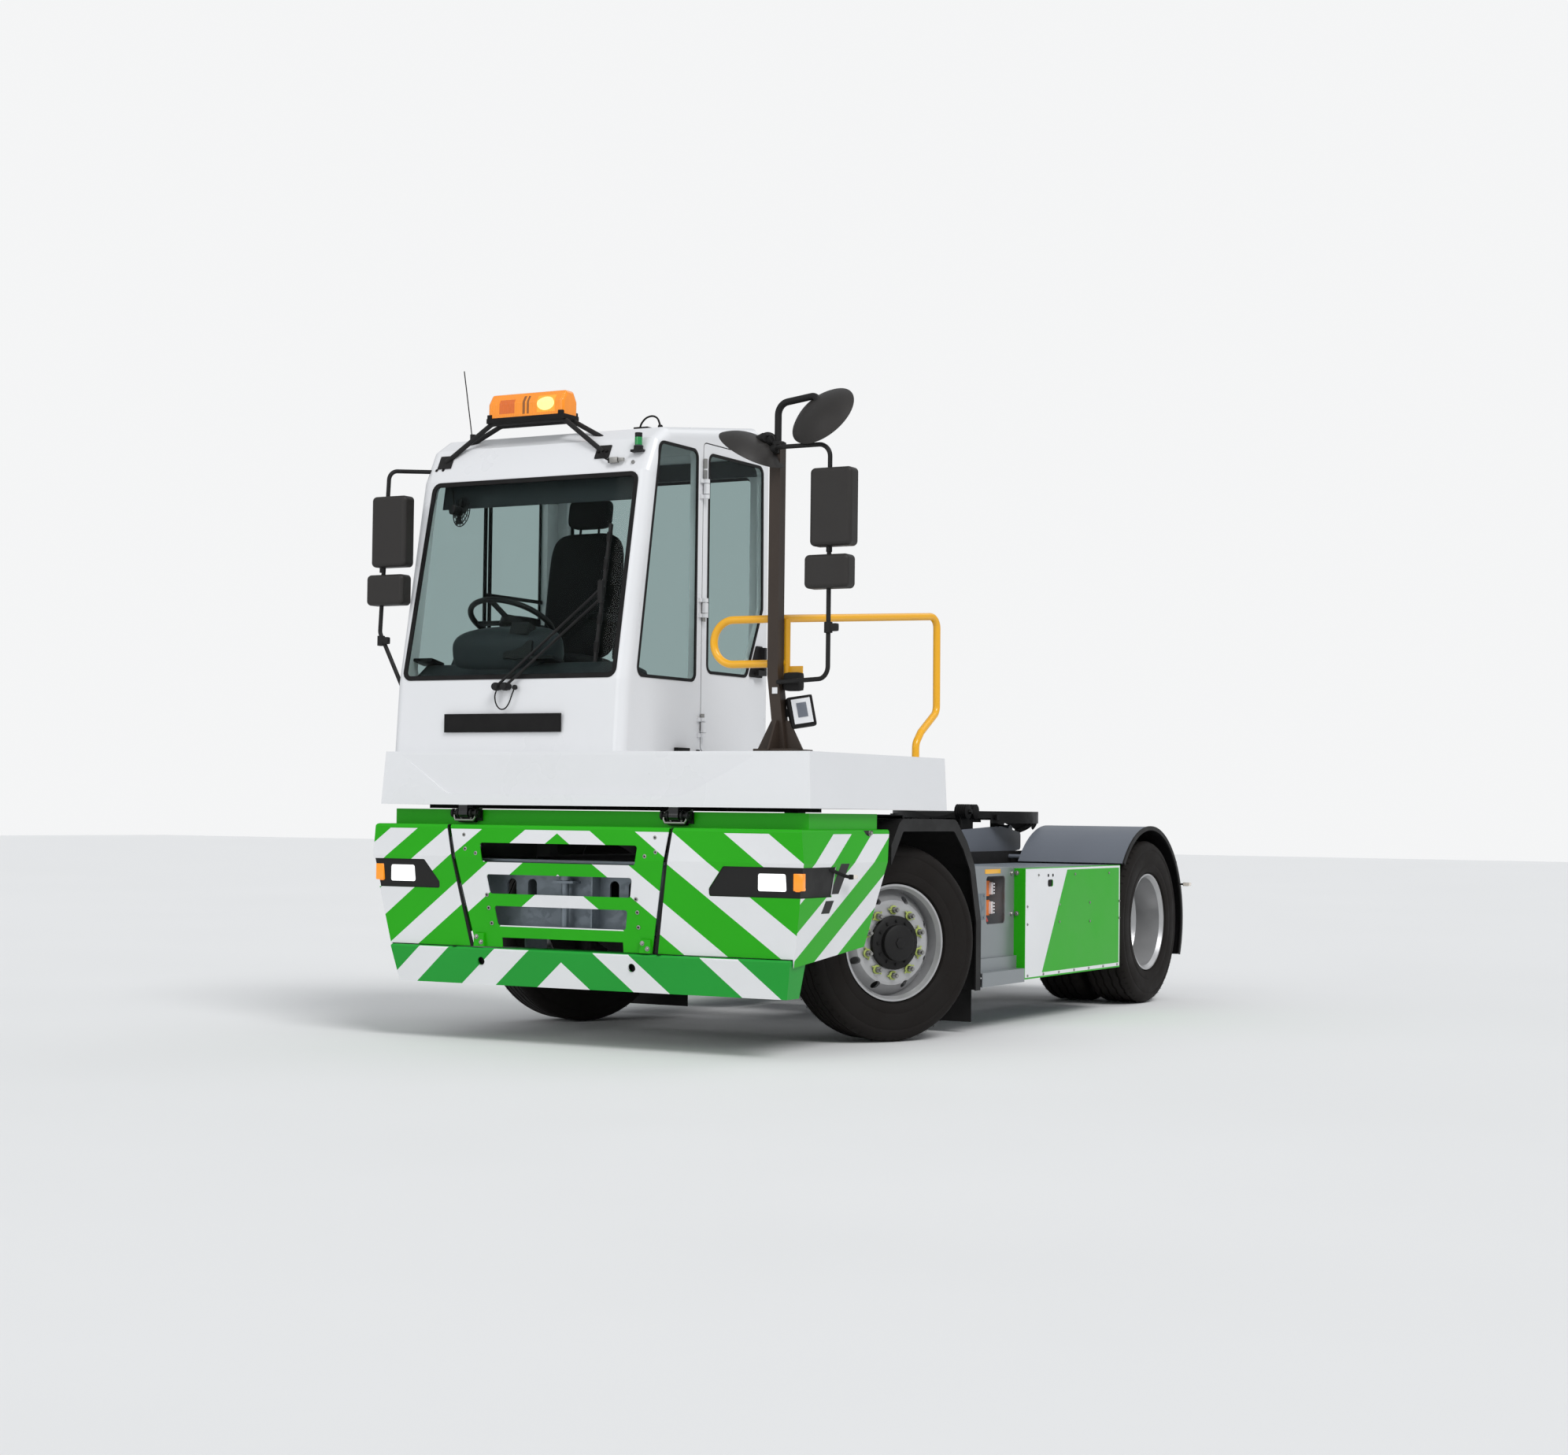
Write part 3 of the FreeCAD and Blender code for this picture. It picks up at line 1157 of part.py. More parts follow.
tow = fuse(cut(upright, *ovals), *shelves, tow_pin, pin_tongue, rib, *cheeks, *bar_stays, name="TowMember")
publish(tow, "tow_member")

# ---- tilt hinges on the cowl's front ---------------------------------------------------------------
tilt_x = back("tilt_setback")
hinge_parts, deck_lugs = [], []
for side in (LEFT, RIGHT):
    y = f"(-grille_shift + {side} * tilt_spread)"
    plate = box((back("cowl_setback - 0.3"), back("cowl_setback - 8")), (f"{y} - 84", f"{y} + 84"),
                ("tilt_height - 38", "tilt_height + 18"))
    ears = [
        fuse(rod("y", (tilt_x, "tilt_height"), (f"{y} + ({a})", f"{y} + ({b})"), "tilt_lug - 3"),
             box((back("cowl_setback - 8"), tilt_x), (f"{y} + ({a})", f"{y} + ({b})"),
                 ("tilt_height - tilt_lug + 3", "tilt_height + 18")))
        for a, b in (("-78", "-68"), ("-44", "-34"), ("34", "44"), ("68", "78"))
    ]
    pin = rod("y", (tilt_x, "tilt_height"), (f"{y} - 84", f"{y} + 84"), "tilt_pin")
    hinge_parts.append(fuse(plate, *ears, pin))
    lug = fuse(
        rod("y", (tilt_x, "tilt_height"), (f"{y} - 26", f"{y} + 26"), "tilt_lug"),
        box((f"{tilt_x} - tilt_lug + 2", f"{tilt_x} + tilt_lug - 2"), (f"{y} - 26", f"{y} + 26"),
            ("tilt_height", "deck_top - 60")),
    )
    deck_lugs.append(
        cut(lug, rod("y", (tilt_x, "tilt_height"), (f"{y} - 27", f"{y} + 27"), "tilt_pin + pin_gap"))
    )
publish(group(*hinge_parts, name="TiltHinges"), "tilt_hinges")


# ---- deck: the cab's tilting platform ------------------------------------------------------------------
def deck_form(inset, face, low, high):
    """The deck's box with leaning skirts; face is how far its front is drawn in."""
    rear = back(f"deck_front_setback + deck_length - {inset}")
    side_view = [
        (rear, low), (back(f"deck_front_setback + {face}"), low),
        (back(f"deck_front_setback + deck_lean + {face}"), high), (rear, high),
    ]
    half_view = [
        (f"(body_width / 2 - {inset})", low), (f"(body_width / 2 - deck_lean - {inset})", high),
    ]
    front_view = half_view + [(f"-{y}", z) for y, z in reversed(half_view)]
    return crossed(side_view, front_view, None, "Deck")


# The front skirt's middle falls back below a curved edge and meets a level crease above its foot.
facet_low = "(deck_bottom + 54)"
facet = prism(
    "yz",
    [
        ("-body_width / 2 + 74", "deck_top + 10"), ("-body_width / 2 + 250", f"{facet_low} + 110"),
        ("-body_width / 2 + 412", facet_low), ("body_width / 2 - 700", facet_low),
        ("body_width / 2 - 470", f"{facet_low} + 110"), ("body_width / 2 - 250", "deck_top + 10"),
    ],
    back("deck_front_setback + deck_facet"), back("0"), "Facet", "140",
    lambda edge: runs_along(edge, Vector(1, 0, 0)) and edge.Vertexes[0].Z < S.deck_top - 80,
)
deck = cut(
    deck_form("0", "0", "deck_bottom", "deck_top"), facet,
    deck_form("deck_wall", "deck_wall + deck_facet", "deck_bottom - 1", "deck_top - deck_wall"),
)
ribs = [
    box((back("deck_front_setback + deck_length - 4"),
         back("deck_front_setback + deck_lean + deck_wall + 30")),
        across(side, "rail_side - 90", "rail_side - 30"), ("deck_bottom + 40", "deck_top - deck_wall + 1"))
    for side in (LEFT, RIGHT)
]
cross_ribs = [
    box((back(f"deck_front_setback + {x} + 50"), back(f"deck_front_setback + {x}")),
        ("-body_width / 2 + deck_lean + deck_wall", "body_width / 2 - deck_lean - deck_wall"),
        ("deck_top - 110", "deck_top - deck_wall + 1"))
    for x in ("30", "500", "980", "deck_length - 60")
]
publish(fuse(deck, *ribs, *cross_ribs, *deck_lugs, name="Deck"), "deck")


# ---- cab shell ---------------------------------------------------------------------------------
LEFT_WALL = ("cab_left - cab_wall", "cab_left")
RIGHT_WALL = ("-cab_right", "-cab_right + cab_wall")
INSIDE = ("-cab_right + cab_wall", "cab_left - cab_wall")
front_line = [
    (back("cab_foot_setback"), "deck_top"),
    (back("sill_setback"), "cab_sill"),
    (back("brow_setback"), "brow"),
    (back("roof_front"), "roof_edge"),
    (back("roof_front + 110"), "roof_top"),
]
rear_line = [
    (back("cab_rear - 150"), "roof_rear"),
    (back("cab_rear"), "roof_rear - 78"),
    (back("cab_rear"), "deck_top"),
]
inner_front = [
    (back("cab_foot_setback + cab_wall"), "deck_top - 1"),
    (back("sill_setback + cab_wall"), "cab_sill"),
    (back("brow_setback + cab_wall"), "brow"),
    (back("roof_front + cab_wall + 20"), "roof_edge - cab_wall / 2"),
    (back("roof_front + cab_wall + 100"), "roof_top - cab_wall"),
]
inner_rear = [
    (back("cab_rear - cab_wall - 110"), "roof_rear - cab_wall"),
    (back("cab_rear - cab_wall"), "roof_rear - 80 - cab_wall / 2"),
    (back("cab_rear - cab_wall"), "deck_top - 1"),
]
cab_outer = prism(
    "xz", front_line + rear_line, "-cab_right", "cab_left", "CabForm", "cab_round",
    lambda edge: abs(edge.Vertexes[0].Y - edge.Vertexes[-1].Y) < 1e-6
    and max(v.Z for v in edge.Vertexes) > S.deck_top + 1,
)
cab_inner = prism("xz", inner_front + inner_rear, *INSIDE, "CabHollow")
shell = cut(cab_outer, cab_inner, name="CabShell")

brow_split = "(brow + 18)"
header_x = "brow_setback + cab_wall + 12"
front_zone = prism(
    "xz",
    [
        (back("cab_foot_setback + cab_wall"), "deck_top - 5"), (back("-10"), "deck_top - 5"),
        (back("-10"), brow_split), (back(header_x), brow_split),
        (back("sill_setback + cab_wall"), "cab_sill"),
    ],
    "-cab_right - 10", "cab_left + 10", "FrontZone",
)
roof_split = "(door_high + door_gap + 8)"
roof_zone = prism(
    "xz",
    [
        (back("cab_rear + 10"), roof_split), (back("door_front - 30"), roof_split),
        (back("roof_front + cab_wall + 160"), f"{roof_split} - 30"), (back(header_x), brow_split),
        (back("-10"), brow_split), (back("-10"), "roof_rear + 20"),
        (back("cab_rear + 10"), "roof_rear + 20"),
    ],
    "-cab_right - 10", "cab_left + 10", "RoofZone",
)
rear_zone = box((back("cab_rear + 10"), back("cab_rear - cab_wall")), ("-cab_right - 10", "cab_left + 10"),
                ("deck_top - 5", roof_split))


def window(plane, points, low, high, name):
    """A rounded opening through a wall."""
    return prism(plane, points, low, high, name, "window_round")


def screen_points(inset):
    return [
        (f"-cab_right + screen_right + {inset}", f"cab_sill + 8 + {inset}"),
        (f"cab_left - screen_left - {inset}", f"cab_sill + 8 + {inset}"),
        (f"cab_left - screen_left - {inset}", f"brow - 12 - {inset}"),
        (f"-cab_right + screen_right + 34 + {inset}", f"brow - 12 - {inset}"),
    ]


def quarter_points(inset):
    return [
        (back(f"sill_setback + 98 + {inset}"), f"cab_sill + 16 + {inset}"),
        (back(f"brow_setback + 100 + {inset}"), f"window_top - {inset}"),
        (back(f"door_front - 60 - {inset}"), f"window_top - {inset}"),
        (back(f"door_front - 60 - {inset}"), f"cab_sill + 16 + {inset}"),
    ]


def right_points(inset):
    return [
        (back(f"sill_setback + 120 + {inset}"), f"cab_sill + 30 + {inset}"),
        (back(f"brow_setback + 110 + {inset}"), f"window_top - 20 - {inset}"),
        (back(f"cab_rear - 150 - {inset}"), f"window_top - 20 - {inset}"),
        (back(f"cab_rear - 150 - {inset}"), f"cab_sill + 30 + {inset}"),
    ]


def rear_points(inset):
    return rectangle((f"-cab_right + 110 + {inset}", f"cab_left - 110 - {inset}"),
                     (f"cab_sill + 30 + {inset}", f"window_top - 40 - {inset}"))


def door_window_points(inset):
    return [
        (back(f"door_front + 50 + {inset}"), f"cab_sill + 66 + {inset}"),
        (back(f"door_front + 50 + {inset}"), f"door_high - 46 - {inset}"),
        (back(f"door_front + door_length - 60 - {inset}"), f"door_high - 46 - {inset}"),
        (back(f"door_front + door_length - 48 - {inset}"), f"cab_sill + 440 + {inset}"),
        (back(f"door_front + door_length - 218 - {inset}"), f"cab_sill + 66 + {inset}"),
    ]


def door_points(grow):
    return rectangle((back(f"door_front + door_length + {grow}"), back(f"door_front - {grow}")),
                     (f"door_low - {grow}", f"door_high + {grow}"))


screen_span = (back("brow_setback + cab_wall + 60"), back("0"))
screen_hole = window("yz", screen_points("0"), *screen_span, "ScreenHole")
front = publish(cut(common(shell, front_zone), screen_hole, name="CabFront"), "cab_front")
rear_span = (back("cab_rear + 20"), back("cab_rear - cab_wall - 20"))
rear = cut(common(shell, rear_zone), window("yz", rear_points("0"), *rear_span, "RearHole"))
flanks = cut(shell, front_zone, roof_zone, rear_zone, name="Flanks")
left_zone = box((back("cab_rear + 10"), back("0")), ("cab_left - cab_wall - 1", "cab_left + 10"),
                ("deck_top - 5", "roof_rear"))
left_span = ("cab_left - cab_wall - 20", "cab_left + 20")
door_hole = prism("xz", door_points("door_gap"), *left_span, "DoorHole", "door_round + door_gap",
                  lambda edge: runs_along(edge, Vector(0, 1, 0)))
quarter_hole = window("xz", quarter_points("0"), *left_span, "QuarterHole")
publish(cut(rear, door_hole, name="CabRear"), "cab_rear")
left = cut(common(flanks, left_zone), door_hole, quarter_hole)
right_span = ("-cab_right - 20", "-cab_right + cab_wall + 20")
right_hole = window("xz", right_points("0"), *right_span, "RightHole")
right = publish(cut(cut(flanks, left_zone), right_hole, name="CabRight"), "cab_right_side")
roof = publish(cut(common(shell, roof_zone), quarter_hole, right_hole, name="CabRoof"), "cab_roof")

# Door: hinged along its front edge on two outside hinges.
door_form = prism("xz", door_points("0"), "cab_left - door_wall", "cab_left", "DoorForm", "door_round",
                  lambda edge: runs_along(edge, Vector(0, 1, 0)))
door_leaf = cut(door_form, window("xz", door_window_points("0"), *left_span, "DoorHoleGlass"))
hinge_x, hinge_y = back("door_front - door_gap / 2"), "cab_left + door_hinge + 9"
door_eyes, cab_lugs, lug_bores, eye_bores = [], [], [], []
for height in ("door_high - 240", "cab_sill + 400", "door_low + 120"):
    knuckle_z = (f"{height} - 26", f"{height} + 26")
    door_eyes.append(fuse(
        rod("z", (hinge_x, hinge_y), knuckle_z, "door_hinge + 5"),
        box((back("door_front + 46"), hinge_x), ("cab_left - 1", "cab_left + 10"), knuckle_z),
    ))
    eye_bores.append(rod("z", (hinge_x, hinge_y), (f"{height} - 27", f"{height} + 27"),
                         "door_hinge - 4 + pin_gap"))
    for low, high in ((f"{height} - 50", f"{height} - 30"), (f"{height} + 30", f"{height} + 50")):
        cab_lugs.append(fuse(
            rod("z", (hinge_x, hinge_y), (low, high), "door_hinge + 5"),
            box((hinge_x, back("door_front - 40")), ("cab_left - 1", "cab_left + 10"), (low, high)),
        ))
    cab_lugs.append(rod("z", (hinge_x, hinge_y), (f"{height} - 50", f"{height} + 50"), "door_hinge - 4"))
publish(fuse(left, *cab_lugs, name="CabLeft"), "cab_left_side")
handle_base = prism(
    "xz",
    [
        (back("cab_rear - 95"), "cab_sill + 70"), (back("cab_rear - 237"), "cab_sill + 70"),
        (back("cab_rear - 160"), "cab_sill + 240"), (back("cab_rear - 95"), "cab_sill + 240"),
    ],
    "cab_left", "cab_left + 9", "HandleBase", "12",
)
handle = fuse(
    handle_base,
    box((back("cab_rear - 101"), back("cab_rear - 125")), ("cab_left + 8", "cab_left + 38"),
        ("cab_sill + 80", "cab_sill + 232")),
    box((back("cab_rear - 101"), back("cab_rear - 190")), ("cab_left + 24", "cab_left + 38"),
        ("cab_sill + 80", "cab_sill + 108")),
    rod("y", (back("cab_rear - 180"), "cab_sill + 94"), ("cab_left + 8", "cab_left + 30"), "11"),
    name="Handle",
)
publish(cut(fuse(door_leaf, *door_eyes, name="DoorBody"), *eye_bores, name="Door"), "door")
publish(handle, "door_handle")

# Glass: each pane sits in its opening, a little behind the panel's face.
lean_x = [(back(f"sill_setback + {t}"), "cab_sill") for t in ("glass_inset", "glass_inset + glass")]
lean_top = [(back(f"brow_setback + {t}"), "brow") for t in ("glass_inset", "glass_inset + glass")]
screen_sheet = prism("xz", [lean_x[1], lean_x[0], lean_top[0], lean_top[1]], "-cab_right", "cab_left",
                     "ScreenSheet")
pane = "seat_gap"
windscreen = common(screen_sheet, window("yz", screen_points(pane), *screen_span, "ScreenPane"),
                    name="Windscreen")
left_pane = ("cab_left - glass_inset - glass", "cab_left - glass_inset")
right_pane = ("-cab_right + glass_inset", "-cab_right + glass_inset + glass")
rear_pane = (back("cab_rear - glass_inset"), back("cab_rear - glass_inset - glass"))
side_panes = [
    window("xz", quarter_points(pane), *left_pane, "QuarterPane"),
    window("xz", right_points(pane), *right_pane, "RightPane"),
    window("yz", rear_points(pane), *rear_pane, "RearPane"),
]
publish(group(windscreen, *side_panes, name="CabGlass"), "cab_glass")
publish(window("xz", door_window_points(pane), *left_pane, "DoorPane"), "door_glass")

# ---- inside the cab ------------------------------------------------------------------------------
floor = box((back("cab_rear - cab_wall - seat_gap"), back("cab_foot_setback + cab_wall + 4")),
            ("-cab_right + cab_wall + seat_gap", "cab_left - cab_wall - seat_gap"),
            ("deck_top + 0.5", "deck_top + cab_floor"))
publish(floor, "cab_floor_plate")
seat_x, seat_y = back("cab_rear - seat_forward"), "-cab_right + seat_side"
floor_z = "deck_top + cab_floor"
seat_z = "deck_top + cab_floor + seat_raise"


def cushion(x, y, z, radius, name):
    return prism("xy", rectangle(x, y), *z, name, radius, lambda edge: True)


seat_base = box((f"{seat_x} - 170", f"{seat_x} + 170"), (f"{seat_y} - 190", f"{seat_y} + 190"),
                (floor_z, f"{seat_z} + 300"))
seat_pan = cushion((f"{seat_x} - 230", f"{seat_x} + 230"), (f"{seat_y} - 250", f"{seat_y} + 250"),
                   (f"{seat_z} + 295", f"{seat_z} + 430"), "38", "SeatPan")
back_side = [
    (f"{seat_x} - 250", f"{seat_z} + 400"), (f"{seat_x} - 130", f"{seat_z} + 400"),
    (f"{seat_x} - 235", f"{seat_z} + 1110"), (f"{seat_x} - 335", f"{seat_z} + 1110"),
]
seat_back = prism("xz", back_side, f"{seat_y} - 235", f"{seat_y} + 235", "SeatBack", "34",
                  lambda edge: True)
head = cushion((f"{seat_x} - 345", f"{seat_x} - 250"), (f"{seat_y} - 135", f"{seat_y} + 135"),
               (f"{seat_z} + 1130", f"{seat_z} + 1300"), "30", "HeadRest")
head_posts = [
    rod("z", (f"{seat_x} - 295", f"{seat_y} + ({y})"), (f"{seat_z} + 1080", f"{seat_z} + 1150"), "8")
    for y in ("-60", "60")
]
arms = [
    cushion((f"{seat_x} - 200", f"{seat_x} + 120"), (f"{seat_y} + ({a})", f"{seat_y} + ({b})"),
            (f"{seat_z} + 590", f"{seat_z} + 640"), "16", "ArmRest")
    for a, b in (("-310", "-240"), ("240", "310"))
]
arm_roots = [
    box((f"{seat_x} - 230", f"{seat_x} - 160"), (f"{seat_y} + ({a})", f"{seat_y} + ({b})"),
        (f"{seat_z} + 560", f"{seat_z} + 620"))
    for a, b in (("-300", "-225"), ("225", "300"))
]
publish(fuse(seat_base, seat_pan, seat_back, head, *head_posts, *arms, *arm_roots, name="Seat"), "seat")

dash_side = [
    (back("sill_setback + cab_wall + 18"), "deck_top + cab_floor"),
    (back("sill_setback + cab_wall + 14"), "cab_sill + 20"),
    (back("sill_setback + cab_wall + 120"), "cab_sill + 96"),
    (back("sill_setback + cab_wall + 300"), "cab_sill + 60"),
    (back("sill_setback + cab_wall + 340"), "cab_sill - 20"),
    (back("sill_setback + cab_wall + 210"), "cab_sill - 160"),
    (back("sill_setback + cab_wall + 180"), "deck_top + cab_floor"),
]
dash = prism("xz", dash_side, "-cab_right + cab_wall + 20", "cab_left - cab_wall - 40", "Dashboard", "22",
             lambda edge: min(v.Z for v in edge.Vertexes) > S.cab_sill - 30)
binnacle_side = [
    (back("sill_setback + cab_wall + 120"), "cab_sill + 60"),
    (back("sill_setback + cab_wall + 300"), "cab_sill + 40"),
    (back("sill_setback + cab_wall + 290"), "cab_sill + 150"),
    (back("sill_setback + cab_wall + 200"), "cab_sill + 190"),
]
binnacle = prism("xz", list(reversed(binnacle_side)), f"{seat_y} - 200", f"{seat_y} + 200", "Binnacle",
                 "16",
                 lambda edge: min(v.Z for v in edge.Vertexes) > S.cab_sill + 100)
dash_unit = publish(fuse(dash, binnacle, name="DashAssembly"), "dashboard")

wheel_x, wheel_z = back("sill_setback + cab_wall + 400"), "cab_sill + 330"
ring = doc.addObject("Part::Torus", "Ring")
ring.setExpression("Radius1", ex("wheel_ring"))
ring.setExpression("Radius2", "15")
hub_disc = rod("z", ("0", "0"), ("-30", "12"), "62")
spokes = [
    box(("-wheel_ring", "wheel_ring"), ("-14", "14"), ("-8", "6")),
    box(("-14", "14"), ("-wheel_ring", "0"), ("-8", "6")),
]
column = rod("z", ("0", "0"), ("-330", "-20"), "30")
steering = fuse(ring, hub_disc, *spokes, column)
steering.Placement = Placement(Vector(), Rotation(Vector(0, 1, 0), -28))
for letter, text in zip("xyz", (wheel_x, seat_y, wheel_z)):
    steering.setExpression(f".Placement.Base.{letter}", ex(text))
publish(cut(steering, dash_unit, name="SteeringWheel"), "steering_wheel")

# ---- roof fittings, wipers and mirrors --------------------------------------------------------------
nose_x = S.overall_length / 2
brow_run = Vector(S.brow_setback - S.roof_front, 0, S.roof_edge - S.brow).normalize()
brow_out = Vector(brow_run.z, 0, -brow_run.x)


def on_brow(y, z, off):
    """A point off the sloping brow above the windscreen."""
    foot = Vector(nose_x - S.brow_setback, y, S.brow)
    return foot + brow_run * ((z - S.brow) / brow_run.z) + brow_out * off


def brow_plate(y, z, width):
    corners = [on_brow(y - width / 2, z - 34, 0), on_brow(y - width / 2, z + 34, 0),
               on_brow(y - width / 2, z + 34, 7), on_brow(y - width / 2, z - 34, 7)]
    return Part.Face(Part.makePolygon(corners + corners[:1])).extrude(Vector(0, width, 0))


# Two bent tubes carry the light bar: one stands on the brow, one on the roof behind it.
bar_x = nose_x - S.roof_front - 42
foot_z = S.brow + 105
bar_half, bar_foot = S.beacon_width / 2 - 10, S.beacon_low - 14
bows = []
for foot, x in (
    (on_brow(0, foot_z, 3), bar_x + S.beacon_depth / 2 - 26),
    (Vector(bar_x - 12, 0, S.roof_edge - 10), bar_x - S.beacon_depth / 2 + 28),
):
    bows.append(tube(
        [
            Vector(foot.x, -S.beacon_side - S.beacon_spread, foot.z),
            Vector(x, -S.beacon_side - bar_half, bar_foot),
            Vector(x, -S.beacon_side + bar_half, bar_foot),
            Vector(foot.x, -S.beacon_side + S.beacon_spread, foot.z),
        ],
        13, 45,
    ))
feet = [brow_plate(-S.beacon_side + side * S.beacon_spread, foot_z, 84) for side in (-1, 1)]
straps = []
for offset in (-170, 0, 170):
    strap = Part.makeBox(S.beacon_depth - 20, 40, 6)
    strap.translate(Vector(bar_x - S.beacon_depth / 2 + 10, -S.beacon_side + offset - 20, S.beacon_low - 6))
    straps.append(strap)
beacon_frame = feature(bows[0].fuse(bows[1:] + feet + straps), "BeaconBows")
publish(cut(beacon_frame, roof, right, name="BeaconFrame"), "beacon_frame")

beacon_mid = "(roof_front + 42)"
beacon = prism(
    "xz",
    [
        (back(f"{beacon_mid} + beacon_depth / 2"), "beacon_low"),
        (back(f"{beacon_mid} - beacon_depth / 2"), "beacon_low"),
        (back(f"{beacon_mid} - beacon_depth / 2"), "beacon_low + beacon_height * 0.62"),
        (back(f"{beacon_mid} - beacon_depth / 4"), "beacon_low + beacon_height"),
        (back(f"{beacon_mid} + beacon_depth / 4"), "beacon_low + beacon_height"),
        (back(f"{beacon_mid} + beacon_depth / 2"), "beacon_low + beacon_height * 0.62"),
    ],
    "-beacon_side - beacon_width / 2", "-beacon_side + beacon_width / 2", "LightBar", "18",
    lambda edge: max(v.Z for v in edge.Vertexes) > S.beacon_low + 1,
)
publish(beacon, "light_bar")

lamp_at = (back("roof_front - 45"), "cab_left - 92")
lamp_foot = fuse(
    box((back("roof_front - 15"), back("roof_front - 69")), ("cab_left - 126", "cab_left - 58"),
        ("brow + 92", "brow + 104")),
    rod("z", lamp_at, ("brow + 100", "brow + 124"), "24"),
    rod("z", lamp_at, ("brow + 120", "brow + 190"), "19"),
)
whip_foot = Vector(nose_x - S.roof_front - 105, -S.whip_side, S.roof_edge + 50)
whip_tip = Vector(whip_foot.x, -S.whip_side - S.whip_lean, S.whip_top)
whip_run = whip_tip - whip_foot
whip = Part.makeCylinder(3, whip_run.Length, whip_foot, whip_run)
whip_base = Part.makeCylinder(15, 48, whip_foot, Vector(0, 0, 1))
whip_feature = feature(whip.fuse([whip_base]), "Whip")
publish(cut(group(lamp_foot, whip_feature), roof, name="RoofFittings"), "roof_fittings")

lean = (S.brow_setback - S.sill_setback) / (S.brow - S.cab_sill)


def on_screen(y, z, off):
    return Vector(nose_x - S.sill_setback - lean * (z - S.cab_sill) + off, y, z)


# Two side-by-side arms carry one upright blade.
wiper_parts = []
for near, far in ((-S.wiper_side, 465), (-S.wiper_side + 54, 410)):
    pivot = on_screen(near, S.cab_sill - 34, 32)
    tip = on_screen(-S.blade_side + 10, S.cab_sill + far, 26)
    wiper_parts += [Part.makeCylinder(17, 46, pivot - Vector(44, 0, 0), Vector(1, 0, 0)),
                    tube([pivot, tip], 7, 10)]
blade_ends = [on_screen(-S.blade_side, S.cab_sill + S.blade_foot + rise, 16) for rise in (S.blade_length,
                                                                                          0)]
blade = tube(blade_ends, 8, 10)
carrier = Part.makeBox(20, 26, 110)
carrier.translate(on_screen(-S.blade_side - 13, S.cab_sill + 382, 14))
wiper_feature = feature(wiper_parts[0].fuse(wiper_parts[1:] + [blade, carrier]), "WiperGear")
publish(cut(wiper_feature, front, name="Wipers"), "wipers")


def mirror_shell(centre, width, height):
    """A rounded housing with its glass to the rear."""
    depth = S.mirror_depth
    body = Part.makeBox(depth, width, height)
    body.translate(centre - Vector(depth / 2, width / 2, height / 2))
    upright = [edge for edge in body.Edges if abs(edge.Vertexes[0].X - edge.Vertexes[1].X) > 1]
    body = body.makeFillet(24, upright)
    front = [edge for edge in body.Edges if min(v.X for v in edge.Vertexes) > centre.x + depth / 2 - 0.1]
    return body.makeFillet(20, front)


def round_mirror(centre, normal):
    """A wide-angle mirror: a shallow bowl with its back to the front."""
    radius, rise = S.dish_radius, S.dish_rise
    sphere = (radius ** 2 + rise ** 2) / (2 * rise)
    bowl = Part.makeSphere(sphere, Vector(), Vector(0, 0, 1),
                           math.degrees(math.asin((sphere - rise) / sphere)), 90)
    bowl.translate(Vector(0, 0, rise - sphere))
    bowl.Placement = Placement(centre, Rotation(Vector(0, 0, 1), normal)).multiply(bowl.Placement)
    return bowl


left_x, right_x = nose_x - S.mirror_setback_left, nose_x - S.mirror_setback_right
post_x = nose_x - S.post_setback
shells = []
for side, x, y in ((1, left_x, S.mirror_left), (-1, right_x, S.mirror_right)):
    shells.append(mirror_shell(Vector(x, side * y, S.mirror_high), S.mirror_width, S.mirror_tall))
    low_y = side * y - S.mirror_shift
    shells.append(mirror_shell(Vector(x, low_y, S.mirror_low), S.mirror_width_low, S.mirror_short))
dish_low = Vector(post_x + 55, S.post_side - S.dish_low_in, S.post_top - S.dish_low_drop)
dish_high = Vector(post_x + 40, S.post_side + S.dish_high_out, S.post_top + S.dish_high_rise)
low_normal, high_normal = Vector(0.17, 0.54, 0.82).normalize(), Vector(0.80, -0.21, 0.57).normalize()
shells += [round_mirror(dish_low, low_normal), round_mirror(dish_high, high_normal)]

post_low, kink, top = S.deck_top, S.post_kink, S.post_top
half = S.post_width / 2
post_path = Part.Wire([
    Part.LineSegment(Vector(post_x, S.post_side + S.post_foot_out, post_low + 10),
                     Vector(post_x, S.post_side, kink)).toShape(),
    Part.LineSegment(Vector(post_x, S.post_side, kink), Vector(post_x, S.post_side, top)).toShape(),
])
section = Part.makePolygon([
    Vector(post_x - half, S.post_side + S.post_foot_out - half, post_low + 10),
    Vector(post_x + half, S.post_side + S.post_foot_out - half, post_low + 10),
    Vector(post_x + half, S.post_side + S.post_foot_out + half, post_low + 10),
    Vector(post_x - half, S.post_side + S.post_foot_out + half, post_low + 10),
    Vector(post_x - half, S.post_side + S.post_foot_out - half, post_low + 10),
])
post = post_path.makePipeShell([section], True, False, 1)
base = Part.makeBox(230, 200, 12)
base.translate(Vector(post_x - 120, S.post_side + S.post_foot_out - 100, post_low))
gusset_points = [(0, 12), (96, 12), (22, 150), (0, 150)]
gussets = []
for turn in (0, 90, 180, 270):
    edge_points = [Vector(half - 2 + a, -5, z) for a, z in gusset_points]
    plate = Part.Face(Part.makePolygon(edge_points + edge_points[:1])).extrude(Vector(0, 10, 0))
    plate.rotate(Vector(), Vector(0, 0, 1), turn)
    plate.translate(Vector(post_x, S.post_side + S.post_foot_out - 12, post_low - 2))
    gussets.append(plate)
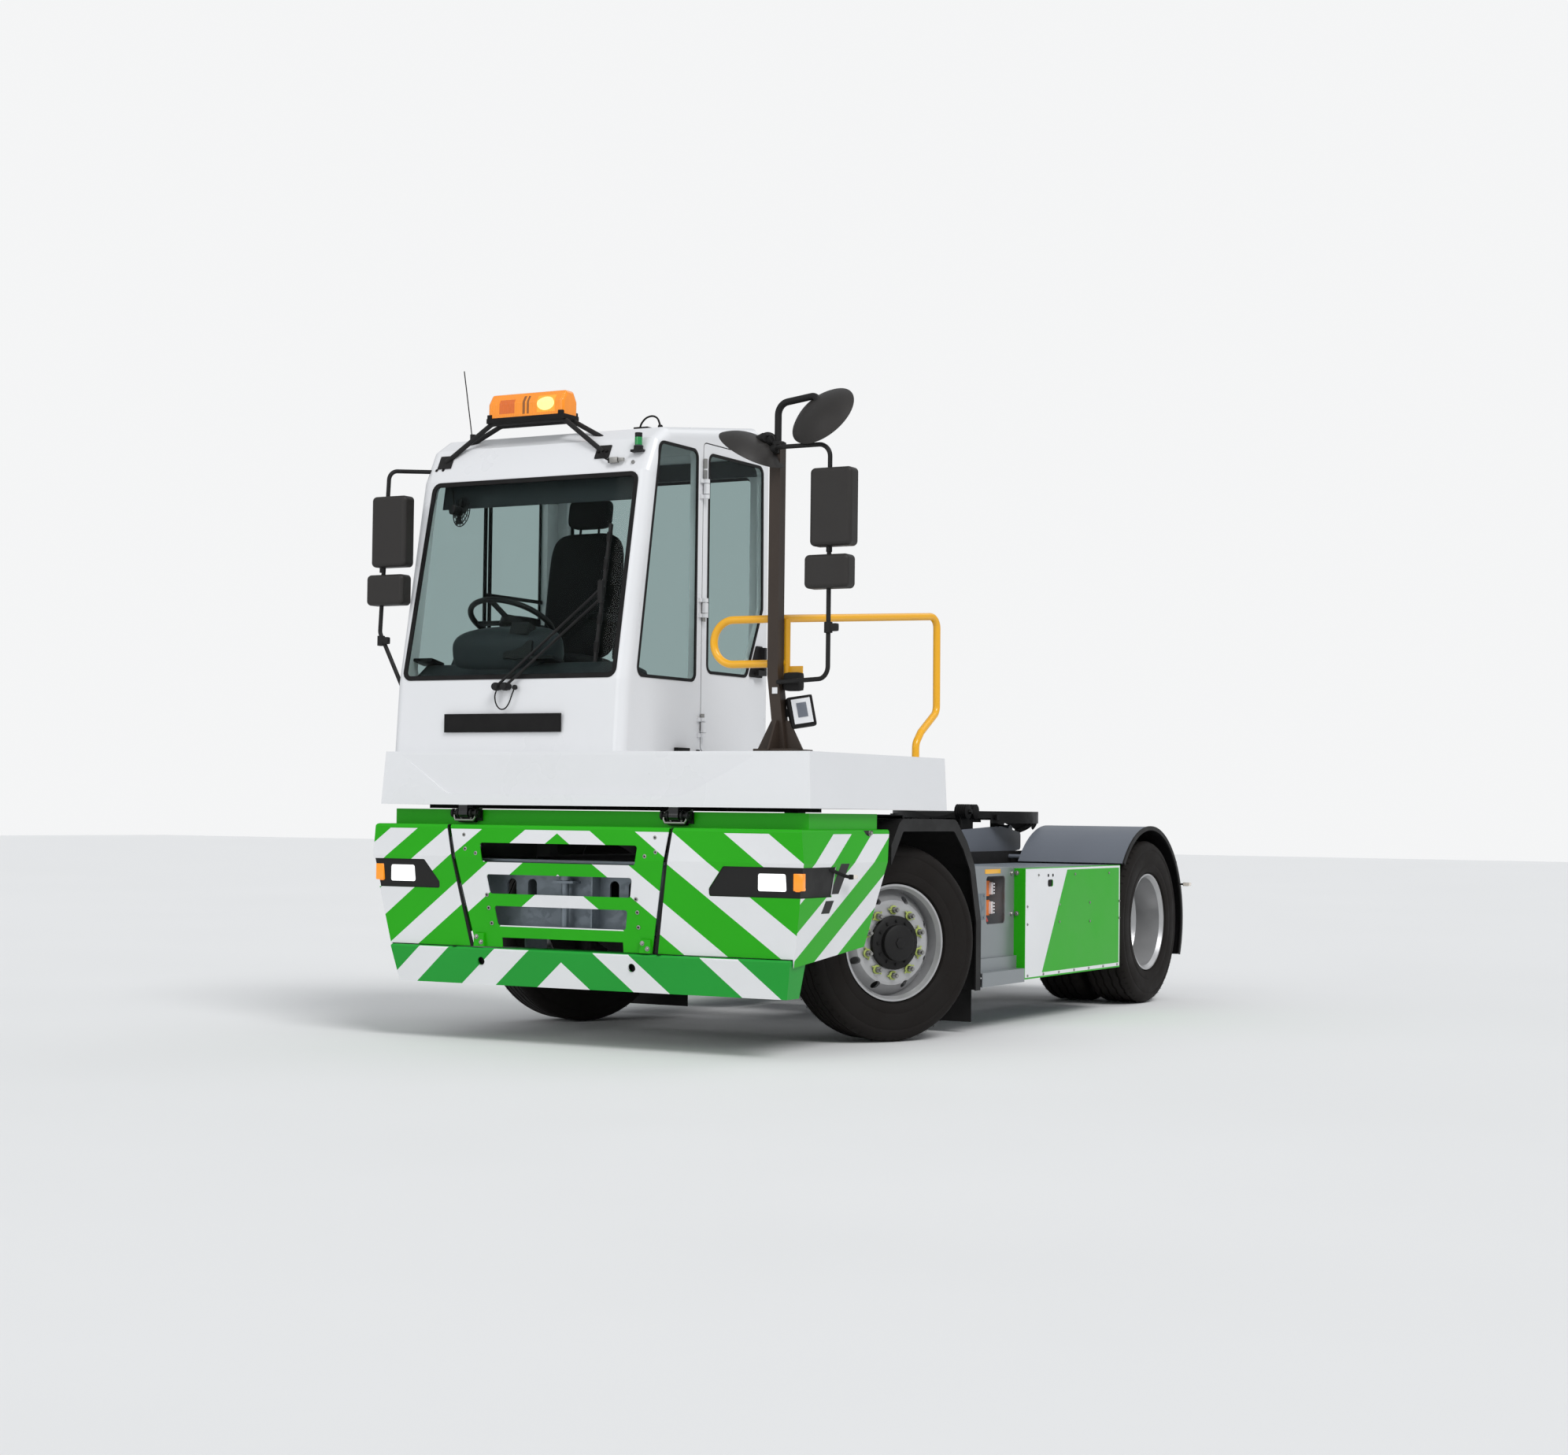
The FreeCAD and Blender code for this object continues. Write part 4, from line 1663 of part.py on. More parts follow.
post_feature = publish(feature(post.fuse([base] + gussets), "MirrorPost"), "mirror_post")

tube_r = S.mirror_tube
upright_y = S.mirror_left - 20
left_arm = tube([
    Vector(post_x + half - 4, S.post_side + 4, top - 30), Vector(left_x, S.post_side + 60, top - 30),
    Vector(left_x, upright_y, top - 30), Vector(left_x, upright_y, kink - 30),
    Vector(post_x + half - 5, S.post_side + 26, kink - 40),
], tube_r, 60)
right_arm = tube([
    Vector(nose_x - S.brow_setback - 60, -S.cab_right + 35, S.brow + 63),
    Vector(right_x, -S.mirror_right - 24, S.brow + 46),
    Vector(right_x, -S.mirror_right - 68, S.mirror_low - 221),
    Vector(nose_x - S.sill_setback - 40, -S.cab_right + 25, S.cab_sill - 45),
], tube_r, 50)
low_end, high_end = dish_low + low_normal * 25, dish_high + high_normal * 20
horn_low = tube([
    Vector(post_x, S.post_side, top - 5), Vector(post_x + 8, S.post_side - 45, top + 62), low_end,
], 16, 30)
horn_high = tube([
    Vector(post_x, S.post_side, top - 20), Vector(post_x, S.post_side, dish_high.z + 80),
    high_end + Vector(-24, -36, 90), high_end,
], 17, [60, 40])
arms = feature(Part.makeCompound([left_arm.fuse([horn_low, horn_high]), right_arm]), "ArmTubes")
mirror_arms = publish(cut(arms, post_feature, front, right, roof, name="MirrorArms"), "mirror_arms")
publish(cut(feature(Part.makeCompound(shells), "Shells"), mirror_arms, post_feature, name="MirrorShells"),
        "mirror_shells")

rail_y, loop_x = S.handrail_side, post_x - half - S.rail_tube - 1
rear_foot = nose_x - S.front_overhang + 140
high, loop = S.handrail_high, S.rail_loop
loop_y = S.post_side - 370
handrail = tube([
    Vector(rear_foot, rail_y, S.deck_top), Vector(rear_foot, rail_y, S.deck_top + 70),
    Vector(rear_foot - 60, rail_y, S.deck_top + 130), Vector(rear_foot - 245, rail_y, S.deck_top + 240),
    Vector(rear_foot - 240, rail_y, high), Vector(loop_x, S.post_side + 10, high - 96),
    Vector(loop_x, loop_y, high - 96), Vector(loop_x, loop_y, high - 96 - 2 * loop),
    Vector(loop_x, S.post_side + 40, high - 96 - 2 * loop),
], S.rail_tube, [58, 58, 58, 58, 58, loop - 1, loop - 1])
stay_y = S.post_side + 36
stay = tube([Vector(loop_x, stay_y, high - 100), Vector(loop_x, stay_y, high - 392)], S.rail_tube - 3, 10)
tab = Part.makeBox(10, 92, 64)
tab.translate(Vector(loop_x - 5, stay_y - 6, high - 390))
publish(feature(handrail.fuse([stay, tab]), "Handrail"), "handrail")

# ---- mudguards, steps and battery boxes --------------------------------------------------------------
box_x = (back("box_front + box_length"), back("box_front"))
wing_x = (f"{AXLE_FRONT} - wing_reach", f"{AXLE_FRONT} + wing_reach")
wing_y = ("wing_inner", "body_width / 2 - 5")


# Outline of the front mudguard from the rear foot over the top; the last two numbers of a
# corner tell how it moves when the outline is drawn in by one.
WING = (
    ("-wing_reach", "wing_knee", 1, -0.144),
    ("-wing_reach + 88", "wing_top - 245", 0.904, -0.467),
    ("-wing_reach + 190", "wing_top - 115", 0.72, -0.702),
    ("-wing_reach + 330", "wing_top", 0.357, -1),
    ("wing_reach - 200", "wing_top", -0.48, -1),
    ("wing_reach", "wing_top - 250", -1, -0.35),
)


def wing_form(inset, low, y, name):
    corners = [
        (f"{AXLE_FRONT} + ({x}) + ({move_x}) * ({inset})", f"{z} + ({move_z}) * ({inset})")
        for x, z, move_x, move_z in WING
    ]
    feet = [(f"{wing_x[1]} - {inset}", low), (f"{wing_x[0]} + {inset}", low)]
    return prism("xz", corners + feet, *y, name, f"wing_round - {inset}",
                 lambda edge: runs_along(edge, Vector(0, 1, 0)) and edge.Vertexes[0].Z > S.wing_knee - 20)


lip_y = ("body_width / 2 - 5 - wing_wall", "body_width / 2 - 5")
arch = fuse(
    cut(wing_form("0", "wing_low", wing_y, "Wing"),
        wing_form("wing_wall", "wing_low - 10", ("wing_inner - 10", "body_width / 2 + 5"), "WingRoom")),
    cut(wing_form("0", "wing_low", lip_y, "Lip"),
        wing_form("wing_lip", "wing_low - 10", ("wing_inner", "body_width / 2 + 5"), "LipRoom")),
)
# The front leg is short, and the outer edge stays inside the nose's side panel.
arch = cut(
    arch,
    box((f"{wing_x[1]} - wing_round - 40", f"{wing_x[1]} + 10"), ("0", "body_width"),
        ("0", "wing_top - 250")),
    box((back("side_rear_top + 8"), back("0")), ("nose_half_top - nose_wall - 24", "body_width"),
        ("0", "wing_top + 20")),
)
flap = box((f"{wing_x[0]} - 6", wing_x[0]), ("wing_inner + 30", "body_width / 2 - 60"),
           ("60", "wing_low + 60"))
wing_posts = [
    rod("y", (f"{AXLE_FRONT} + ({x})", "wing_top + 10"), ("rail_side - 20", "body_width / 2 - 260"), "12")
    for x in ("-160", "160")
]
wing_feet = [
    box((f"{AXLE_FRONT} + ({x}) - 14", f"{AXLE_FRONT} + ({x}) + 14"), ("rail_side - 34", "rail_side - 8"),
        ("rail_top", "wing_top + 16"))
    for x in ("-160", "160")
]
leg_bar = box((f"{wing_x[0]} - 12", wing_x[0]), ("rail_side", "body_width / 2 - 320"),
              ("rail_top - 160", "rail_top - 110"))
left_wing = fuse(arch, flap, *wing_posts, *wing_feet, leg_bar, name="WingLeft")
publish(group(left_wing, mirrored(left_wing, "WingRight"), name="FrontMudguards"), "front_mudguards")

step_x = (box_x[1], back("front_overhang + front_step"))
wall_y = ("step_wall_side - 5", "step_wall_side")
recess_wall = cut(
    box(step_x, wall_y, ("step_low", "box_high + 6")),
    prism("xz", rectangle((f"{step_x[0]} + hatch_start", f"{step_x[0]} + hatch_start + hatch_length"),
                          ("hatch_low", "hatch_low + hatch_height")),
          "step_wall_side - 20", "step_wall_side + 20", "Hatch", "22"),
)
step_top = box(step_x, ("box_inner", "step_wall_side"), ("box_high", "box_high + 6"))
step_back = box((f"{step_x[1]} - 6", step_x[1]), ("box_inner", "step_wall_side"),
                ("step_low", "box_high + 6"))
well_x = (f"{step_x[0]} + hatch_start - 22", f"{step_x[0]} + hatch_start + hatch_length + 22")
well_z = ("hatch_low - 20", "hatch_low + hatch_height + 20")
well = cut(
    box(well_x, ("step_wall_side - well_depth", "step_wall_side - 5"), well_z),
    box((f"{well_x[0]} + 4", f"{well_x[1]} - 4"), ("step_wall_side - well_depth + 4", "step_wall_side"),
        (f"{well_z[0]} + 4", f"{well_z[1]} - 4")),
)
plug_y = ("step_wall_side - well_depth + 4", "step_wall_side - 60")
plugs = [
    fuse(
        box((f"{well_x[0]} + 95", f"{well_x[0]} + 235"), plug_y, (z, f"{z} + 84")),
        rod("x", ("step_wall_side - 96", f"{z} + 42"), (f"{well_x[0]} + 20", f"{well_x[0]} + 95"), "13"),
    )
    for z in ("hatch_low + 149", "hatch_low + 43")
]
tread = box(step_x, ("step_wall_side - 200", "body_width / 2 - 50"), ("step_low - 70", "step_low"))
rail = cut(
    box(step_x, ("step_wall_side - 200", "body_width / 2"), ("box_low - 12", "step_low - 70")),
    box((f"{step_x[0]} - 10", f"{step_x[1]} + 10"), ("step_wall_side - 210", "body_width / 2 - 6"),
        ("box_low - 6", "step_low - 76")),
)
step_arm = box((f"{step_x[1]} - 70", f"{step_x[1]} - 20"), ("rail_side", "step_wall_side - 5"),
               ("rail_top - 180", "rail_top - 120"))
left_step = fuse(recess_wall, step_top, step_back, well, tread, rail, step_arm, name="StepLeft")
publish(group(left_step, mirrored(left_step, "StepRight"), name="StepFrames"), "step_frames")
publish(group(*plugs, *[mirrored(plug, "PlugRight") for plug in plugs], name="Plugs"), "power_plugs")

cover_inner = "body_width / 2 - cover_depth"
left_box = box(box_x, ("box_inner", f"{cover_inner} - seat_gap"), ("box_low", "box_high"))
box_arms = [
    box((f"{box_x[1]} - {x} - 70", f"{box_x[1]} - {x}"), ("rail_side", "box_inner + 1"),
        ("rail_top - 220", "rail_top - 150"))
    for x in ("120", "(box_length - 190)")
]
left_pack = fuse(left_box, *box_arms, name="BoxLeft")
publish(group(left_pack, mirrored(left_pack, "BoxRight"), name="BatteryBoxes"), "battery_boxes")
left_cover = cut(
    box(box_x, (cover_inner, "body_width / 2"), ("box_low", "box_high")),
    box((f"{box_x[0]} + cover_wall", f"{box_x[1]} - cover_wall"),
        (f"{cover_inner} - 5", "body_width / 2 - cover_wall"),
        ("box_low + cover_wall", "box_high - cover_wall")),
    prism("xz", rectangle((f"{box_x[1]} - 401", f"{box_x[1]} - 325"), ("box_high - 108", "box_high - 68")),
          "body_width / 2 - 20", "body_width / 2 + 20", "Latch", "14"),
    name="CoverLeft",
)
publish(group(left_cover, mirrored(left_cover, "CoverRight"), name="BatteryCovers"), "battery_covers")

guard_y = ("guard_inner", "guard_outer")
arc_cut = prism(
    "xz",
    [
        (AXLE_REAR, CENTRE), (f"{AXLE_REAR} + 900", f"{CENTRE} + (box_high + 3 - {CENTRE}) / 460 * 900"),
        (f"{AXLE_REAR} + 900", "-200"), (f"{AXLE_REAR} - 900", "-200"),
        (f"{AXLE_REAR} - 900", f"{CENTRE} - 225 / 545 * 900"),
    ],
    "0", "1500", "GuardCut",
)


def guard_ring(outer, inner, y):
    ring = cut(rod("y", (AXLE_REAR, CENTRE), y, outer),
               rod("y", (AXLE_REAR, CENTRE), (f"{y[0]} - 5", f"{y[1]} + 5"), inner))
    return cut(ring, arc_cut)


sheet_ring = guard_ring("guard_radius + guard_wall", "guard_radius", guard_y)
edge_ring = guard_ring("guard_radius + guard_wall + 4", "guard_radius - 16",
                       (guard_y[1], "guard_outer + 10"))
guard_arms = [
    rod("y", (f"{AXLE_REAR} + ({x})", f"{CENTRE} + 400"), ("rail_side", "guard_outer - 200"), "14")
    for x in ("-420", "420")
]
left_guard = fuse(sheet_ring, *guard_arms, name="GuardLeft")
publish(group(left_guard, mirrored(left_guard, "GuardRight"), name="RearMudguards"), "rear_mudguards")
stalk_at = (f"{AXLE_REAR} - guard_radius + 50", f"{CENTRE} + 225")
stalk = fuse(
    rod("y", stalk_at, ("guard_outer + 5", "guard_outer + 38"), "6"),
    rod("y", stalk_at, ("guard_outer + 34", "guard_outer + 65"), "12"),
)
left_trim = fuse(edge_ring, stalk, name="TrimLeft")
publish(group(left_trim, mirrored(left_trim, "TrimRight"), name="GuardTrim"), "mudguard_edges")

# ---- rear lamps -------------------------------------------------------------------------------------
rear_lamps = [
    box((f"-{back('0')}", f"-{back('lamp_plinth')}"),
        across(side, "rear_beam_half - 330", "rear_beam_half - 20"),
        ("rail_top - 195", "rail_top - 75"))
    for side in (LEFT, RIGHT)
]
publish(group(*rear_lamps, name="RearLamps"), "rear_lamps")

# ---- lifting boom, rams and fifth wheel -----------------------------------------------------------------
pivot = (boom_x, "boom_pivot_height")
coupling = (back("coupling_back"), "coupling_pivot_height")
eye = (back("ram_eye_back"), "ram_eye_height")
boom_side = [
    (f"{boom_x} + 62", "boom_pivot_height - 20"), (f"{boom_x} + 20", "boom_pivot_height + 62"),
    (f"{eye[0]} + 41", "ram_eye_height + 215"), (f"{coupling[0]} + 153", "coupling_pivot_height + 24"),
    (f"{coupling[0]} - 164", "coupling_pivot_height - 16"),
    (f"{coupling[0]} - 166", "coupling_pivot_height - 125"),
    (f"{eye[0]} - 78", "ram_eye_height + 18"), (f"{eye[0]} - 60", "ram_eye_height - 48"),
    (f"{eye[0]} + 60", "ram_eye_height - 58"),
    (f"{boom_x} - 160", "boom_pivot_height - 66"), (f"{boom_x} + 20", "boom_pivot_height - 62"),
]
boom_sides = [
    prism("xz", boom_side, *across(side, "boom_half - boom_plate", "boom_half"), "BoomSide", "24")
    for side in (LEFT, RIGHT)
]
inside = ("-(boom_half - boom_plate + 1)", "boom_half - boom_plate + 1")
pivot_bush = [rod("y", pivot, across(side, "boom_half - 96", "boom_half"),
                  "boom_pin + 24") for side in (LEFT, RIGHT)]
eye_shaft = rod("y", eye, inside, "ram_pin")
coupling_stubs = [rod("y", coupling, across(side, "190", "boom_half"), "coupling_pin") for side in (LEFT,
                                                                                                    RIGHT)]
top_plate = prism(
    "xz",
    [
        (f"{eye[0]} + 40", "ram_eye_height + 168"), (f"{eye[0]} + 40", "ram_eye_height + 190"),
        (f"{coupling[0]} + 330", "coupling_pivot_height - 4"),
        (f"{coupling[0]} + 130", "coupling_pivot_height - 4"),
        (f"{coupling[0]} + 130", "coupling_pivot_height - 26"),
        (f"{coupling[0]} + 326", "coupling_pivot_height - 26"),
    ],
    *inside, "BoomTop",
)
bottom_plate = prism(
    "xz",
    [
        (f"{eye[0]} - 110", "ram_eye_height + 24"), (f"{eye[0]} - 110", "ram_eye_height + 40"),
        (f"{coupling[0]} - 150", "coupling_pivot_height - 106"),
        (f"{coupling[0]} - 150", "coupling_pivot_height - 122"),
    ],
    *inside, "BoomFloor",
)
neck_tube = rod("y", (f"{boom_x} - 330", "boom_pivot_height + 10"), inside, "48")
boom = fuse(*boom_sides, *pivot_bush, eye_shaft, *coupling_stubs, top_plate, bottom_plate, neck_tube)
boom_bore = rod("y", pivot, ("-boom_half - 1", "boom_half + 1"), "boom_pin + pin_gap")
publish(cut(boom, boom_bore, name="Boom"), "boom")



def plate_form(under, name):
    """The fifth wheel's side view: flat, bevelled in front, with horns falling away behind."""
    x = coupling[0]
    side_view = [
        (f"{x} + coupling_radius + 6", "coupling_top - coupling_plate - 26"),
        (f"{x} + coupling_radius - 18", "coupling_top - 6"),
        (f"{x} + coupling_radius - 60", "coupling_top"),
        (f"{x} - 250", "coupling_top"), (f"{x} - coupling_radius - 6", "coupling_top - coupling_horn"),
        (f"{x} - coupling_radius - 6", f"coupling_top - coupling_horn - ({under})"),
        (f"{x} - 254", f"coupling_top - ({under})"),
        (f"{x} + coupling_radius - 30", f"coupling_top - ({under})"),
    ]
    return prism("xz", side_view, "-coupling_radius - 10", "coupling_radius + 10", name)


disc_z = ("coupling_pivot_height - 150", "coupling_top + 10")
disc = rod("z", (coupling[0], "0"), disc_z, "coupling_radius")
core = rod("z", (coupling[0], "0"), disc_z, "coupling_radius - 16")
middle = box((f"{coupling[0]} - 600", f"{coupling[0]} + 600"), ("-330", "330"), disc_z)
rim_shallow = common(plate_form("coupling_plate + 22", "RimForm"), cut(disc, core))
rim_deep = common(plate_form("coupling_plate + 53", "DeepForm"), cut(disc, core, middle))
plate = fuse(common(plate_form("coupling_plate", "PlateForm"), disc), rim_shallow, rim_deep)
throat = prism(
    "xy",
    [
        (f"{coupling[0]} - coupling_radius - 40", "-210"), (f"{coupling[0]} - 190", "-throat_radius - 12"),
        (coupling[0], "-throat_radius"), (coupling[0], "throat_radius"),
        (f"{coupling[0]} - 190", "throat_radius + 12"), (f"{coupling[0]} - coupling_radius - 40", "210"),
    ],
    "coupling_pivot_height - 150", "coupling_top + 20", "Throat",
)
throat_end = rod("z", (coupling[0], "0"), ("coupling_pivot_height - 150", "coupling_top + 20"),
                 "throat_radius")
coupling_ears = [
    fuse(
        rod("y", coupling, across(side, "200", "250"), "coupling_pin + 24"),
        box((f"{coupling[0]} - 56", f"{coupling[0]} + 56"), across(side, "200", "250"),
            ("coupling_pivot_height", "coupling_top - coupling_plate + 1")),
    )
    for side in (LEFT, RIGHT)
]
coupling_ribs = [
    box((f"{coupling[0]} - 260", f"{coupling[0]} + 340"), across(side, a, b),
        ("coupling_top - coupling_plate - 34", "coupling_top - coupling_plate + 1"))
    for side in (LEFT, RIGHT)
    for a, b in (("70", "84"), ("216", "234"), ("360", "374"))
]
jaw = box((f"{coupling[0]} - 60", f"{coupling[0]} + 90"), ("-84", "84"),
          ("coupling_top - coupling_plate - 50", "coupling_top - coupling_plate + 1"))
release = rod("y", (f"{coupling[0]} + 150", "coupling_top - coupling_plate - 20"), ("0", "430"), "8")
fifth = fuse(plate, *coupling_ears, *coupling_ribs, jaw, release)
coupling_bore = rod("y", coupling, ("-260", "260"), "coupling_pin + pin_gap")
publish(cut(fifth, throat, throat_end, coupling_bore, name="FifthWheel"), "fifth_wheel")

ram_run = f"({ram_x} - {eye[0]})"
ram_rise = "(ram_eye_height - ram_base_height)"
ram_span = f"sqrt({ram_run}^2 + {ram_rise}^2)"
ram_turn = f"atan2({ram_rise}; {ram_run})"


def lay_ram(piece, side):
    """Sets a ram drawn along -X from its base pin on the line from base to eye."""
    piece.Placement = Placement(Vector(), Rotation(Vector(0, 1, 0), 1))
    for letter, text in zip("xyz", (ram_x, f"({side}) * ram_side", "ram_base_height")):
        piece.setExpression(f".Placement.Base.{letter}", ex(text))
    piece.setExpression(".Placement.Rotation.Angle", ex(ram_turn))
    return piece


def flat_eye(x, radius, pin, name):
    return cut(rod("y", (x, "0"), ("-ram_eye_half", "ram_eye_half"), radius),
               rod("y", (x, "0"), ("-ram_eye_half - 1", "ram_eye_half + 1"), pin), name=name)


barrels, rods = [], []
for side in (LEFT, RIGHT):
    barrel = fuse(
        rod("x", ("0", "0"), ("-ram_barrel", "-ram_pin - 14"), "ram_radius"),
        rod("x", ("0", "0"), ("-ram_barrel - 26", "-ram_barrel"), "ram_radius + 6"),
        rod("y", ("0", "0"), ("-ram_eye_half", "ram_eye_half"), "ram_pin + 20"),
    )
    barrel = cut(barrel, rod("y", ("0", "0"), ("-ram_eye_half - 20", "ram_eye_half + 20"),
                             "ram_pin + pin_gap"),
                 rod("x", ("0", "0"), ("-ram_barrel - 30", "-90"), "rod_radius + pin_gap"), name="Barrel")
    barrels.append(lay_ram(barrel, side))
    stem = fuse(
        rod("x", ("0", "0"), (f"-{ram_span} + 20", "-140"), "rod_radius"),
        rod("y", (f"-{ram_span}", "0"), ("-ram_eye_half", "ram_eye_half"), "ram_pin + 20"),
    )
    stem = cut(stem, rod("y", (f"-{ram_span}", "0"), ("-ram_eye_half - 1", "ram_eye_half + 1"),
                         "ram_pin + eye_play"), name="Stem")
    rods.append(lay_ram(stem, side))
publish(group(*barrels, name="RamBarrels"), "ram_barrels")
publish(group(*rods, name="RamRods"), "ram_rods")


doc.recompute()
for item in doc.Objects:
    if "Invalid" in item.State or "Error" in item.State:
        raise RuntimeError(f"{item.Label}: {item.State}")
os.makedirs("parts", exist_ok=True)
for piece in NODES:
    if piece.Shape.isNull() or not piece.Shape.isValid():
        raise RuntimeError(f"{piece.Label} has no valid shape")
for piece in NODES:
    piece.Shape.exportStep(f"parts/{piece.Label}.step")
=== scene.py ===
import json
from math import cos, pi, radians, sin

import bmesh
import bpy
from mathutils import Matrix, Vector


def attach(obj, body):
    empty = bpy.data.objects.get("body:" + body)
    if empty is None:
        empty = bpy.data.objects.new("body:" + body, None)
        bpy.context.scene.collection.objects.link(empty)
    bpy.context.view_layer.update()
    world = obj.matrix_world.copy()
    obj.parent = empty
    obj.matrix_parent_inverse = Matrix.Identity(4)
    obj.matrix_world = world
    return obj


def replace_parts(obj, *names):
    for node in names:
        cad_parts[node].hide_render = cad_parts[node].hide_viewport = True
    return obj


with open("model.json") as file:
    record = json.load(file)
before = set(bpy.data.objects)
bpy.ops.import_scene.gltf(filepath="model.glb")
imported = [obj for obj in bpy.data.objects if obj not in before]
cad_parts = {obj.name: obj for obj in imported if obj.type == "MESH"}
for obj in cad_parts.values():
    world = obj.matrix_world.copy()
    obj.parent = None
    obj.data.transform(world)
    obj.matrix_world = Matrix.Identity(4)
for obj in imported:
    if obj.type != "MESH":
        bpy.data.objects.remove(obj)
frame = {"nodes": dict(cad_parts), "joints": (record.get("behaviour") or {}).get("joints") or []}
nodes = frame["nodes"]
joints = {joint["name"]: joint for joint in frame["joints"]}


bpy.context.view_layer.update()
scene = bpy.context.scene


# ---- shader building ----
def put(node, values):
    """Sets the inputs of a node by their names."""
    for name, value in values.items():
        node.inputs[name].default_value = value


class Field:
    """A number that varies over the surface, built from Math nodes."""

    def __init__(self, tree, socket):
        self.tree, self.socket = tree, socket

    def math(self, operation, *others):
        node = self.tree.nodes.new("ShaderNodeMath")
        node.operation = operation
        for slot, item in zip(node.inputs, (self,) + others):
            if isinstance(item, Field):
                self.tree.links.new(item.socket, slot)
            else:
                slot.default_value = item
        return Field(self.tree, node.outputs[0])

    def __add__(self, other):
        return self.math("ADD", other)

    def __sub__(self, other):
        return self.math("SUBTRACT", other)

    def __mul__(self, other):
        return self.math("MULTIPLY", other)

    def __gt__(self, other):
        return self.math("GREATER_THAN", other)

    def __lt__(self, other):
        return self.math("LESS_THAN", other)

    def __abs__(self):
        return self.math("ABSOLUTE")

    def squared(self):
        return self * self

    def bands(self, *edges):
        """1 inside each band, 0 outside."""
        first, *others = [(self > low) * (self < high) for low, high in edges]
        return sum(others, first)


class Surface:
    """A principled material with a soft mottle in its colour, gloss and relief."""

    def __init__(self, name, colour, rough, metal=0.0, coat=0.0, shine=0.5, mottle=0.05, scale=6.0,
            relief=0.0, grain=60.0):
        self.material = bpy.data.materials.new(name)
        self.material.use_nodes = True
        self.tree = self.material.node_tree
        self.shader = self.tree.nodes["Principled BSDF"]
        put(self.shader, {"Metallic": metal, "Specular IOR Level": shine})
        if coat:
            put(self.shader, {"Coat Weight": coat, "Coat Roughness": 0.12})
        self.coords = self.node("TexCoord").outputs["Object"]
        split = self.node("SeparateXYZ")
        self.link(self.coords, split.inputs[0])
        self.x, self.y, self.z = (Field(self.tree, out) for out in split.outputs)
        self.mottle, self.scale = mottle, scale
        self.cloud = self.noise(scale, 4.0)
        self.gloss(rough)
        if relief:
            self.bump(self.noise(grain, 3.0), relief)
        self.colour(colour)

    def node(self, kind):
        return self.tree.nodes.new("ShaderNode" + kind)

    def link(self, a, b):
        self.tree.links.new(a, b)

    def noise(self, scale, detail=3.0):
        node = self.node("TexNoise")
        put(node, {"Scale": scale, "Detail": detail})
        self.link(self.coords, node.inputs["Vector"])
        return Field(self.tree, node.outputs["Fac"])

    def cells(self, scale):
        node = self.node("TexVoronoi")
        put(node, {"Scale": scale})
        self.link(self.coords, node.inputs["Vector"])
        return Field(self.tree, node.outputs["Color"])

    def normal(self):
        split = self.node("SeparateXYZ")
        self.link(self.node("NewGeometry").outputs["Normal"], split.inputs[0])
        return [Field(self.tree, out) for out in split.outputs]

    def span(self, low, high, by=None):
        """A value between low and high that follows a noise."""
        ramp = self.node("MapRange")
        put(ramp, {"From Min": 0.35, "From Max": 0.65, "To Min": low, "To Max": high})
        self.link((by or self.cloud).socket, ramp.inputs["Value"])
        return ramp.outputs["Result"]

    def gloss(self, rough):
        self.link(self.span(rough * 0.88, min(1.0, rough * 1.14)), self.shader.inputs["Roughness"])

    def bump(self, height, distance):
        node = self.node("Bump")
        put(node, {"Distance": distance, "Strength": 0.6})
        self.link(height.socket, node.inputs["Height"])
        self.link(node.outputs["Normal"], self.shader.inputs["Normal"])

    def shade(self, colour):
        """The colour with its mottle."""
        mix = self.node("Mix")
        mix.data_type = "RGBA"
        for slot, gain in ((mix.inputs[6], 1 - self.mottle), (mix.inputs[7], 1 + self.mottle)):
            slot.default_value = [min(1.0, part * gain) for part in colour] + [1.0]
        self.link(self.cloud.socket, mix.inputs[0])
        return mix.outputs[2]

    def colour(self, base, *layers):
        """Sets the base colour; each layer is a mask and the colour where it is 1."""
        result = self.shade(base)
        for mask, colour in layers:
            mix = self.node("Mix")
            mix.data_type = "RGBA"
            self.link(mask.socket, mix.inputs[0])
            self.link(result, mix.inputs[6])
            self.link(self.shade(colour), mix.inputs[7])
            result = mix.outputs[2]
        self.link(result, self.shader.inputs["Base Color"])

    def glow(self, colour, strength=0.0):
        """Light that the surface gives off."""
        put(self.shader, {"Emission Color": (*colour, 1.0), "Emission Strength": strength})


GREEN = (0.018, 0.385, 0.004)
SHADE_GREEN = (0.014, 0.32, 0.035)
WHITE = (0.76, 0.765, 0.78)
GREY = (0.145, 0.16, 0.19)
BLACK = (0.006, 0.0055, 0.006)
STEP_STEEL = (0.30, 0.32, 0.335)
BAR_ORANGE = (0.92, 0.26, 0.006)
green_looks = dict(rough=0.34, shine=0.22, mottle=0.07, scale=2.5, relief=0.0003, grain=240.0)
white_looks = dict(rough=0.3, coat=0.3, mottle=0.025, scale=2.0, relief=0.0002, grain=240.0)
grey_looks = dict(rough=0.38, shine=0.4, mottle=0.08, scale=4.0)

